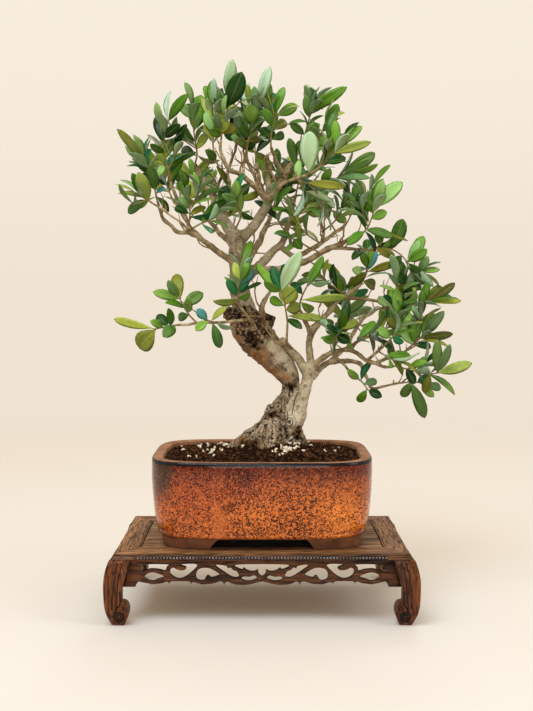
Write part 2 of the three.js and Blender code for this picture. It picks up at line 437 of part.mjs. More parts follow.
// Rail section: distance in from the board's edge, height.
function railSection(width) {
  return [[1.3, RAIL_BASE], [0, RAIL_BASE + 1.2], [0, STAND_HEIGHT - 1.4], [0.5, STAND_HEIGHT - 0.4],
    [1.6, STAND_HEIGHT], [width, STAND_HEIGHT], [width, RAIL_BASE]];
}

// The mitre between two rails runs from the panel's corner out past the board's corner.
const MITRE_PAST = 1.3;

function mitredPlan(innerX, innerY) {
  const outerX = innerX + SIDE_RAIL_WIDTH * MITRE_PAST;
  const outerY = innerY + FRONT_RAIL_WIDTH * MITRE_PAST;
  return { innerX, innerY, outerX, outerY };
}

// The block at each of the board's corners, rounded above and swelling out to the leg below it.
const CORNER_SECTION = [[-1.6, STAND_HEIGHT], [-0.5, STAND_HEIGHT - 0.4], [0, STAND_HEIGHT - 1.4],
  [1.4, RAIL_BASE + 2.7], [CORNER_SWELL, RAIL_BASE], [-SIDE_RAIL_WIDTH + 2, RAIL_BASE],
  [-SIDE_RAIL_WIDTH - 2, STAND_HEIGHT]];

function cornerBlocks() {
  const reach = BOARD_LENGTH;
  const shaped = (plane, half, sign) => slab(plane, CORNER_SECTION.map(([d, z]) => [sign * (half + d), z]), -reach, reach);
  const blocks = [];
  for (const sideX of [-1, 1]) {
    for (const sideY of [-1, 1]) {
      blocks.push(shaped("xz", BOARD_LENGTH / 2, sideX).intersect(shaped("yz", BOARD_DEPTH / 2, sideY)));
    }
  }
  return union(blocks);
}

function frontRail(side) {
  const halfX = BOARD_LENGTH / 2;
  const halfY = BOARD_DEPTH / 2;
  const { innerX, innerY, outerX, outerY } = mitredPlan(halfX - SIDE_RAIL_WIDTH - GAP / 2, halfY - FRONT_RAIL_WIDTH);
  const plan = [[innerX, -innerY], [-innerX, -innerY], [-outerX, -outerY], [outerX, -outerY]];
  const bar = slab("yz", railSection(FRONT_RAIL_WIDTH).map(([d, z]) => [side * (halfY - d), z]), -halfX, halfX);
  const ends = slab("xy", plan.map(([x, y]) => [x, -side * y]), RAIL_BASE - 5, STAND_HEIGHT + 5);
  return union([bar, cornerBlocks()]).intersect(ends);
}

function sideRail(side) {
  const halfX = BOARD_LENGTH / 2;
  const halfY = BOARD_DEPTH / 2;
  const { innerX, innerY, outerX, outerY } = mitredPlan(halfX - SIDE_RAIL_WIDTH, halfY - FRONT_RAIL_WIDTH - GAP);
  const plan = [[innerX, innerY], [outerX, outerY], [outerX, -outerY], [innerX, -innerY]];
  const bar = slab("xz", railSection(SIDE_RAIL_WIDTH).map(([d, z]) => [side * (halfX - d), z]), -halfY, halfY);
  const ends = slab("xy", plan.map(([x, y]) => [side * x, y]), RAIL_BASE - 5, STAND_HEIGHT + 5);
  return union([bar, cornerBlocks()]).intersect(ends);
}

function panel() {
  const x = BOARD_LENGTH / 2 - SIDE_RAIL_WIDTH - GAP;
  const y = BOARD_DEPTH / 2 - FRONT_RAIL_WIDTH - GAP;
  return slab("xy", [[-x, -y], [x, -y], [x, y], [-x, y]], RAIL_BASE + 1, STAND_HEIGHT);
}

// Cabriole leg, seen square on: distance out from the board's edge, height.
const LEG_OUTSIDE = [[3.4, UNDER_RAIL], [5.4, 62.5], [8.1, 53], [9.1, 41], [8.7, 27.5], [7.2, 15.6],
  [4.5, 7.6], [0.8, 0]];
const LEG_INSIDE = [[-11, 0], [-14, 6.5], [-15.2, 14], [-13.4, 20.6], [-10.4, 23.4], [-8.5, 25], [-8.6, 38.5],
  [-10.4, 41.5], [-14, 56], [-16.4, UNDER_RAIL]];

function leg(sideX, sideY) {
  const profile = [...LEG_OUTSIDE, ...LEG_INSIDE];
  const reach = BOARD_LENGTH;
  const faceX = slab("xz", profile.map(([d, z]) => [sideX * (BOARD_LENGTH / 2 + d), z]), -reach, reach);
  const faceY = slab("yz", profile.map(([d, z]) => [sideY * (BOARD_DEPTH / 2 + d), z]), -reach, reach);
  return faceX.intersect(faceY);
}

// Pierced cloud scrolls of an apron: across from its middle, height. The first is on the middle.
const SCROLLS = [
  [[-25, 58.8], [-20.5, 54], [-11, 52.2], [-4, 53.8], [-3.2, 50.4], [0, 47.6], [3.2, 50.4], [4, 53.8],
    [11, 52.2], [20.5, 54], [25, 58.8]],
  [[-20.4, 45.4], [-12.9, 46.8], [-8.6, 48], [-5.7, 46.4], [-11.8, 42.6], [-18.7, 43.2]],
  [[-46, 58.8], [-36, 57.4], [-25.8, 52.1], [-23.5, 47.6], [-26, 46], [-30.3, 46.7], [-37, 50.6]],
  [[-66.3, 50], [-64, 54.3], [-58.3, 55.8], [-52, 54.8], [-44.2, 49.6], [-51, 46], [-55, 48], [-59, 43.4],
    [-64.8, 43.7]],
  [[-92.5, 54.2], [-92.8, 50.6], [-85, 45.2], [-79.5, 46.1], [-73, 50.4], [-66.3, 58.8], [-82.8, 58.8],
    [-77.5, 56], [-82.8, 53.4]],
  [[-118.4, 48.2], [-113.6, 50.8], [-107, 50.3], [-99.4, 46.8], [-111.5, 42.7]],
  [[-121, 53.6], [-121, 58.9], [-95.6, 58.9], [-98.5, 52.9], [-112, 54.4]],
];
const EDGE_SCALLOPS = [[-128.5, 36.4], [-125.4, 42], [-111.5, 39], [-97, 41.6], [-94.6, 39.4], [-92.4, 41.6],
  [-74.8, 42], [-72.2, 39.4], [-69.8, 41.4], [-59, 38.9], [-42, 41.6], [-38.6, 38.4], [-35, 41.4], [-25.6, 38.6],
  [-14, 38.4], [0, 41.6]];

// An apron between two legs, drawn flat: a side one is shorter by `shorten` at each end.
function apronBoard(plane, boardHalf, shorten, from, to) {
  const end = LEG_INSIDE.slice(5).map(([d, z]) => [-(boardHalf + d - GAP), z]);
  const pull = ([a, b]) => [a + shorten, b];
  const lower = [[-(boardHalf + LEG_INSIDE[5][0] - GAP), 36.4],
    ...EDGE_SCALLOPS.map(pull).filter(([a]) => a < -1), [0, 41.6]];
  const left = [...end.slice(1).reverse(), ...lower];
  const outline = [...left, ...mirrored(left.slice(0, -1)).reverse()];
  const drawn = SCROLLS.slice(2).map((hole) => hole.map(pull)).filter((hole) => hole.every(([a]) => a < -22));
  const beside = [SCROLLS[1], ...drawn];
  const holes = [SCROLLS[0], ...beside, ...beside.map(mirrored)];
  const cuts = holes.map((hole) => slab(plane, hole, from - 1, to + 1));
  return slab(plane, outline, from, to).subtract(union(cuts));
}

// The board with its two ends mitred against the aprons it meets behind the legs.
function apron(plane, sign) {
  const onFront = plane === "xz";
  const faceX = BOARD_LENGTH / 2 - APRON_FRONT;
  const faceY = BOARD_DEPTH / 2 - APRON_FRONT;
  const [face, reach] = onFront ? [faceY, faceX] : [faceX, faceY];
  const back = face - APRON_THICKNESS;
  const end = reach - GAP;
  const corners = [[-end, face], [end, face], [end - APRON_THICKNESS, back], [APRON_THICKNESS - end, back]];
  const plan = corners.map(([along, out]) => (onFront ? [along, sign * out] : [sign * out, along]));
  const [from, to] = [sign * back, sign * face].sort((a, b) => a - b);
  const boardHalf = (onFront ? BOARD_LENGTH : BOARD_DEPTH) / 2;
  const board = apronBoard(plane, boardHalf, BOARD_LENGTH / 2 - boardHalf, from, to);
  return board.intersect(slab("xy", plan, 0, STAND_HEIGHT));
}

function standMeshes() {
  const facing = [["back", 1], ["front", -1]];
  const sides = [["right", 1], ["left", -1]];
  const meshes = [meshOf("stand_panel", panel(), "panel")];
  for (const [word, sign] of facing) {
    meshes.push(meshOf(`stand_rail_${word}`, frontRail(sign), "rail"));
    meshes.push(meshOf(`stand_apron_${word}`, apron("xz", sign), "apron"));
  }
  for (const [word, sign] of sides) {
    meshes.push(meshOf(`stand_rail_${word}`, sideRail(sign), "rail"));
    meshes.push(meshOf(`stand_apron_${word}`, apron("yz", sign), "apron"));
    for (const [place, signY] of facing) {
      meshes.push(meshOf(`stand_leg_${place}_${word}`, leg(sign, signY), "leg"));
    }
  }
  return meshes;
}

// ---------------------------------------------------------------- pot and soil

// Foot, then wall, from the base up: inset from the rim's half depth, from its half width, height.
const FOOT_PROFILE = [[FOOT_INSET, FOOT_END_INSET, 0], [17.4, 12.2, 4], [15.2, 11.2, 9], [13.4, 10.4, 11.5]];
const WALL_PROFILE = [[8.4, 7.6, 13.6], [6.3, 6.2, 16], [5.2, 5.2, 20], [3.9, 3.9, 27], [2.4, 2.4, 36],
  [0.9, 0.9, 54], [0, 0, 71], [0, 0, 89.6], [1, 1, POT_HEIGHT]];

const CAVITY_TAPER = 4.5;

function potRing(inset, height, endInset = inset, squareness = POT_SQUARENESS) {
  return squaredRing(POT_WIDTH / 2 - endInset, POT_DEPTH / 2 - inset, STAND_HEIGHT + height, squareness);
}

function cavityInset(height) {
  return LIP_WIDTH + CAVITY_TAPER * (1 - (height - POT_FLOOR) / (POT_HEIGHT - POT_FLOOR));
}

function drainHole(side) {
  const geometry = new THREE.CylinderGeometry(DRAIN_RADIUS, DRAIN_RADIUS, 40, 12);
  geometry.rotateX(Math.PI / 2);
  geometry.translate((side * DRAIN_SPACING) / 2, 0, STAND_HEIGHT + POT_FLOOR);
  return solidOf(geometry);
}

function pot() {
  const base = STAND_HEIGHT;
  const foot = FOOT_PROFILE.map(([inset, endInset, height]) => potRing(inset, height, endInset, FOOT_SQUARENESS));
  const wall = WALL_PROFILE.map(([inset, endInset, height]) => potRing(inset, height, endInset));
  const outside = skin([...foot, ...wall]);
  const cavity = skin([potRing(cavityInset(POT_FLOOR), POT_FLOOR),
    potRing(cavityInset(POT_HEIGHT + 5), POT_HEIGHT + 5)]);
  const recess = skin([-5, FOOT_HEIGHT].map((height) => potRing(FOOT_INSET + FOOT_WALL, height,
    FOOT_END_INSET + FOOT_WALL, FOOT_SQUARENESS)));
  const arch = (half) => [[-half - ARCH_FLARE, base - 0.1], [half + ARCH_FLARE, base - 0.1],
    [half, base + FOOT_HEIGHT], [-half, base + FOOT_HEIGHT]];
  const frontArch = slab("xz", arch(FRONT_ARCH_HALF), -POT_DEPTH, POT_DEPTH);
  const sideArch = slab("yz", arch(SIDE_ARCH_HALF), -POT_WIDTH, POT_WIDTH);
  const cuts = union([cavity, recess, frontArch, sideArch, drainHole(1), drainHole(-1)]);
  return outside.subtract(cuts);
}

function drainScreen() {
  const floor = STAND_HEIGHT + POT_FLOOR;
  const x = DRAIN_SPACING / 2 + SCREEN_PAST_HOLE;
  const y = SCREEN_HALF_WIDTH;
  return slab("xy", [[-x, -y], [x, -y], [x, y], [-x, y]], floor, floor + SCREEN_THICKNESS);
}

// The soil before the tree's root pad is let in.
function soilBody(lift = 0) {
  const ring = (extra, height) => potRing(cavityInset(height) + GAP + extra, height + lift);
  const edge = POT_HEIGHT - SOIL_BELOW_LIP;
  return skin([ring(0, POT_FLOOR + SCREEN_THICKNESS + GAP), ring(0, edge), ring(22, edge + SOIL_MOUND * 0.55),
    ring(52, edge + SOIL_MOUND)]);
}

const SOIL_TOP = STAND_HEIGHT + POT_HEIGHT - SOIL_BELOW_LIP + SOIL_MOUND;
const PAD_BASE = SOIL_TOP - ROOT_PAD.depth;

function soil() {
  const hole = skin([ovalRing(ROOT_PAD, PAD_BASE, 0), ovalRing(ROOT_PAD, SOIL_TOP + 10, 0)]);
  return soilBody().subtract(hole);
}

// ---------------------------------------------------------------- tree

// A point of the front elevation in millimetres.
function placed([across, down, drawnDepth]) {
  const part = THREE.MathUtils.clamp((SPREAD_FROM - down) / (SPREAD_FROM - SPREAD_FULL), 0, 1);
  const depth = TREE_SET_BACK + drawnDepth * (1 + CROWN_SPREAD * part);
  const unit = UNIT * (1 + depth / EYE_DISTANCE);
  return new THREE.Vector3((across - CENTRE_ACROSS) * unit, depth, EYE_HEIGHT + (EYE_LEVEL - down) * unit);
}

// A tapered tube through stations of { centre, radius }.
function tube(stations, sides, lump = 0) {
  const rings = stations.map(({ centre, radius }, i) => {
    const before = stations[Math.max(i - 1, 0)].centre;
    const after = stations[Math.min(i + 1, stations.length - 1)].centre;
    const along = after.clone().sub(before).normalize();
    const up = new THREE.Vector3(0, 1, 0).projectOnPlane(along).normalize();
    const out = along.clone().cross(up);
    return Array.from({ length: sides }, (_, k) => {
      const turn = (2 * Math.PI * (k + 0.5)) / sides;
      const swell = radius * (1 + lump * (Math.sin(2 * turn + i) + Math.sin(3 * turn - 1.7 * i)));
      return centre.clone().addScaledVector(up, swell * Math.cos(turn)).addScaledVector(out, swell * Math.sin(turn));
    });
  });
  return skin(rings);
}

function limbSides(radius) {
  if (radius > 18) return 12;
  if (radius > 8) return 8;
  return radius > 3 ? 5 : 4;
}

function limb(points, grown = 0) {
  const stations = points.map((point) => ({ centre: placed(point), radius: point[3] + grown }));
  const last = stations[stations.length - 1];
  const before = stations[stations.length - 2];
  last.centre.addScaledVector(last.centre.clone().sub(before.centre).normalize(), grown);
  return tube(stations, limbSides(points[0][3]), points[0][3] > 12 ? 0.035 : 0);
}

const limbSolids = Object.values(LIMBS).map((points) => limb(points));
const limbClearance = union(Object.values(LIMBS).map((points) => limb(points, GAP + 0.1)));

function wood() {
  const above = union(limbSolids).subtract(soilBody(GAP));
  const pad = skin([ovalRing(ROOT_PAD, PAD_BASE + GAP, GAP), ovalRing(ROOT_PAD, SOIL_TOP + 0.9, GAP)]);
  return largest(above.add(pad));
}

// Seeded draws, the same on every run.
function draws(seed) {
  let state = seed >>> 0;
  return () => {
    state = (state + 0x6d2b79f5) >>> 0;
    let mixed = Math.imul(state ^ (state >>> 15), state | 1);
    mixed ^= mixed + Math.imul(mixed ^ (mixed >>> 7), mixed | 61);
    return ((mixed ^ (mixed >>> 14)) >>> 0) / 4294967296;
  };
}

// The place on a twig that lies nearest to an elevation point.
function seatOn(twig, across, down) {
  let best = null;
  for (let i = 0; i < twig.length - 1; i += 1) {
    const [ax, ay, ad] = twig[i];
    const [bx, by, bd] = twig[i + 1];
    const run = (bx - ax) ** 2 + (by - ay) ** 2;
    const raw = ((across - ax) * (bx - ax) + (down - ay) * (by - ay)) / run;
    const part = Math.min(Math.max(raw, i === 0 ? 0.35 : 0), i === twig.length - 2 ? 0.97 : 1);
    const seat = [ax + part * (bx - ax), ay + part * (by - ay), ad + part * (bd - ad)];
    const away = (across - seat[0]) ** 2 + (down - seat[1]) ** 2;
    if (!best || away < best.away) best = { seat, away };
  }
  return best.seat;
}

// Outline of a blade: part of its length, part of its half width.
const BLADE_OUTLINE = [[-0.01, 0], [0.36, -1], [0.72, -0.74], [1, 0], [0.72, 0.74], [0.36, 1]];
const BLADE_RIB = 0.45;
const BLADE_ARCH = 0.07;

// One blade: a long six-point outline, arched along its length.
function blade(seat, tip, width, roll, depthShift) {
  const foot = placed(seat);
  const end = placed([tip[0], tip[1], seat[2] + depthShift]);
  const along = end.clone().sub(foot);
  const length = along.length();
  along.normalize();
  const face = new THREE.Vector3(0, -1, 0).projectOnPlane(along).normalize().applyAxisAngle(along, roll);
  const across = face.clone().cross(along);
  const at = (part, spread, lift) => {
    const arch = BLADE_ARCH * length * Math.sin(Math.PI * Math.max(part, 0));
    return foot.clone().addScaledVector(along, part * length).addScaledVector(across, (spread * width) / 2)
      .addScaledVector(face, arch + lift);
  };
  const rim = BLADE_OUTLINE.map(([part, spread]) => at(part, spread, 0));
  const [top, under] = [1, -1].map((side) => at(BLADE_RIB, 0, (side * LEAF_THICKNESS) / 2));
  const faces = rim.flatMap((point, i) => {
    const next = rim[(i + 1) % rim.length];
    return [point, next, top, next, point, under];
  });
  const geometry = new THREE.BufferGeometry().setFromPoints(faces);
  return solidOf(geometry);
}

// Leaves of a spray that has no list of its own: crossed pairs along the twig and two at its tip.
function pairedLeaves(twig, pairs, draw) {
  const leaves = [];
  for (let k = 0; k < pairs; k += 1) {
    const reach = (k + 0.8) / pairs;
    const spot = reach * (twig.length - 1);
    const i = Math.min(Math.floor(spot), twig.length - 2);
    const part = Math.min(spot - i, 0.97);
    const seat = twig[i].map((value, axis) => value + part * (twig[i + 1][axis] - value));
    for (const side of [-1, 1]) {
      const spread = side * (0.5 + 0.6 * draw());
      const size = 24 + 9 * draw();
      const lean = Math.atan2(twig[i + 1][0] - twig[i][0], twig[i][1] - twig[i + 1][1]) + spread;
      leaves.push([seat[0], seat[1], seat[0] + size * Math.sin(lean), seat[1] - size * Math.cos(lean), 8.5]);
    }
  }
  return leaves;
}

const DEPTH_TRIES = [0, 8, -8, 16, -16, 25, -25, 34, -34];

const near = (a, b) => a.min.every((value, axis) => value < b.max[axis] && b.min[axis] < a.max[axis]);
const overlaps = (a, b) => near(a.boundingBox(), b.boundingBox()) && a.intersect(b).volume() > 1e-4;

function twigOf(points) {
  const last = points.length - 1;
  const stations = points.map((point, i) => ({
    centre: placed(point),
    radius: TWIG_RADIUS + ((TWIG_TIP_RADIUS - TWIG_RADIUS) * i) / last,
  }));
  return largest(tube(stations, 4).subtract(limbClearance));
}

// Every spray keeps clear of the limbs and of all the sprays before it: a blade that would cross
// one is leaned forward or back, and is left out where no lean clears it.
function sprays() {
  const names = Object.keys(SPRAYS);
  const twigs = names.map((name) => twigOf(SPRAYS[name].twig));
  const placedLeaves = names.map(() => []);
  const woodSolid = union(limbSolids);
  names.forEach((name, n) => {
    const { twig, leaves, pairs } = SPRAYS[name];
    const draw = draws(DRAW_SEED + n);
    for (const [u0, v0, u1, v1, seen] of leaves ?? pairedLeaves(twig, pairs, draw)) {
      const seat = seatOn(twig, u0, v0);
      const width = Math.max(seen * UNIT, LEAF_LEAST_WIDTH);
      const turned = Math.acos(Math.min((seen * UNIT) / width, 1));
      const roll = (draw() < 0.5 ? -1 : 1) * (turned + 0.25 * draw());
      const lean = 30 * (draw() - 0.5);
      const others = twigs.filter((_, i) => i !== n).concat(placedLeaves.filter((_, i) => i !== n).flat());
      const clear = DEPTH_TRIES.map((shift) => blade(seat, [u1, v1], width, roll, lean + shift))
        .find((leaf) => !others.some((other) => overlaps(leaf, other)) && !overlaps(leaf, woodSolid));
      if (clear) placedLeaves[n].push(clear);
    }
  });
  return names.map((name, n) => {
    const whole = union([twigs[n], ...placedLeaves[n]]);
    return meshOf(`spray_${name}`, largest(whole.subtract(limbClearance)), n % 3 === 1 ? "paleLeaf" : "leaf");
  });
}

// ---------------------------------------------------------------- assembly

const bonsai = new THREE.Group();
bonsai.add(...standMeshes());
bonsai.add(meshOf("pot", pot(), "pot"));
bonsai.add(meshOf("drain_screen", drainScreen(), "screen"));
bonsai.add(meshOf("soil", soil(), "soil"));
bonsai.add(meshOf("tree_wood", wood(), "wood"));
bonsai.add(...sprays());

const box = new THREE.Box3().setFromObject(bonsai);
bonsai.position.set(-(box.min.x + box.max.x) / 2, -(box.min.y + box.max.y) / 2, -box.min.z);

export default bonsai;
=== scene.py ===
import math
import random

import bmesh
import bpy
import numpy as np
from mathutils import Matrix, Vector, noise
from mathutils.bvhtree import BVHTree
from mathutils.kdtree import KDTree


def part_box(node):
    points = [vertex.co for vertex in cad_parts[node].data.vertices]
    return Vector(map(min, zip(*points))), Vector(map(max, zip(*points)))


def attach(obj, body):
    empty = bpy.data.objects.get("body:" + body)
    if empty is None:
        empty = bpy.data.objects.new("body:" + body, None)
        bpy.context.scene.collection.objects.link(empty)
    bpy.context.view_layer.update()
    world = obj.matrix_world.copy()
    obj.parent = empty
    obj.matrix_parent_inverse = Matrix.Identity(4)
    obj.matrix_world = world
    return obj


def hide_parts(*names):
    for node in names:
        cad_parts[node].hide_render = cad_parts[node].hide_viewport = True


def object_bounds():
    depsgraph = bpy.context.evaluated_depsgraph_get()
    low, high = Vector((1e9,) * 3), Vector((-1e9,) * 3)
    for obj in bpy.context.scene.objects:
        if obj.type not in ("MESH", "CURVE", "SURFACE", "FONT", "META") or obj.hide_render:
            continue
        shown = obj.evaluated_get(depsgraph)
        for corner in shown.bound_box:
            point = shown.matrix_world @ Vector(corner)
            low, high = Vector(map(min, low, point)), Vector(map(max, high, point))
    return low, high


# An old olive grown as a bonsai, in a glazed pot on a carved wooden stand. Shapes are worked out in
# millimetres about the middle of the stand, at floor level, and go into the frame in metres.

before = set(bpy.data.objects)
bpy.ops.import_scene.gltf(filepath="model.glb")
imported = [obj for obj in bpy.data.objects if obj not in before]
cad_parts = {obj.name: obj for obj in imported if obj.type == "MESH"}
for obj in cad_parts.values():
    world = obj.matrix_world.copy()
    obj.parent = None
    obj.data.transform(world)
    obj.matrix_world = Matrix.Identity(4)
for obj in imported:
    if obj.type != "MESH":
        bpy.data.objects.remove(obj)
CAD_LOW, CAD_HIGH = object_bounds()

MM = 0.001
BODY = "root"


def middle_of(node):
    low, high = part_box(node)
    return (low + high) / 2


STAND_MIDDLE = middle_of("stand_panel")
ORIGIN = np.array([STAND_MIDDLE.x, STAND_MIDDLE.y, 0.0])


def in_frame(points):
    return np.asarray(points, float) * MM + ORIGIN


def in_millimetres(points):
    return (np.asarray(points, float) - ORIGIN) / MM


# ------------------------------------------------------------------ driving sizes, in millimetres

GAP = 0.35
BOARD_LENGTH = 300.0
BOARD_DEPTH = 185.0
STAND_HEIGHT = 72.0
RAIL_THICKNESS = 6.0
FRONT_RAIL_WIDTH = 30.0
SIDE_RAIL_WIDTH = 24.0
APRON_FRONT = 6.0
APRON_THICKNESS = 6.0
CORNER_SWELL = 3.2

POT_WIDTH = 234.0
POT_DEPTH = 185.0
POT_HEIGHT = 91.0
LIP_WIDTH = 11.5
POT_SQUARENESS = 4.6
FOOT_HEIGHT = 10.7
FOOT_INSET = 18.5
FOOT_END_INSET = 13.0
FOOT_SQUARENESS = 6.0
FOOT_WALL = 14.0
POT_FLOOR = 18.0
CAVITY_TAPER = 4.5
DRAIN_RADIUS = 8.0
DRAIN_SPACING = 96.0

SOIL_BELOW_LIP = 4.7
SOIL_MOUND = 6.5

LEAF_LEAST_WIDTH = 8.0
TWIG_RADIUS = 1.15
TWIG_TIP_RADIUS = 0.75
DRAW_SEED = 20417

# The front elevation that the tree is drawn on: one unit across or down is UNIT mm at the middle of
# the stand, seen from EYE_DISTANCE in front of it.
UNIT = 1.0972
EYE_DISTANCE = 1151.0
EYE_HEIGHT = 330.0
CENTRE_ACROSS = 262.0
EYE_LEVEL = 298.0
TREE_SET_BACK = 18.0
CROWN_SPREAD = 0.55
SPREAD_FROM = 400.0
SPREAD_FULL = 300.0

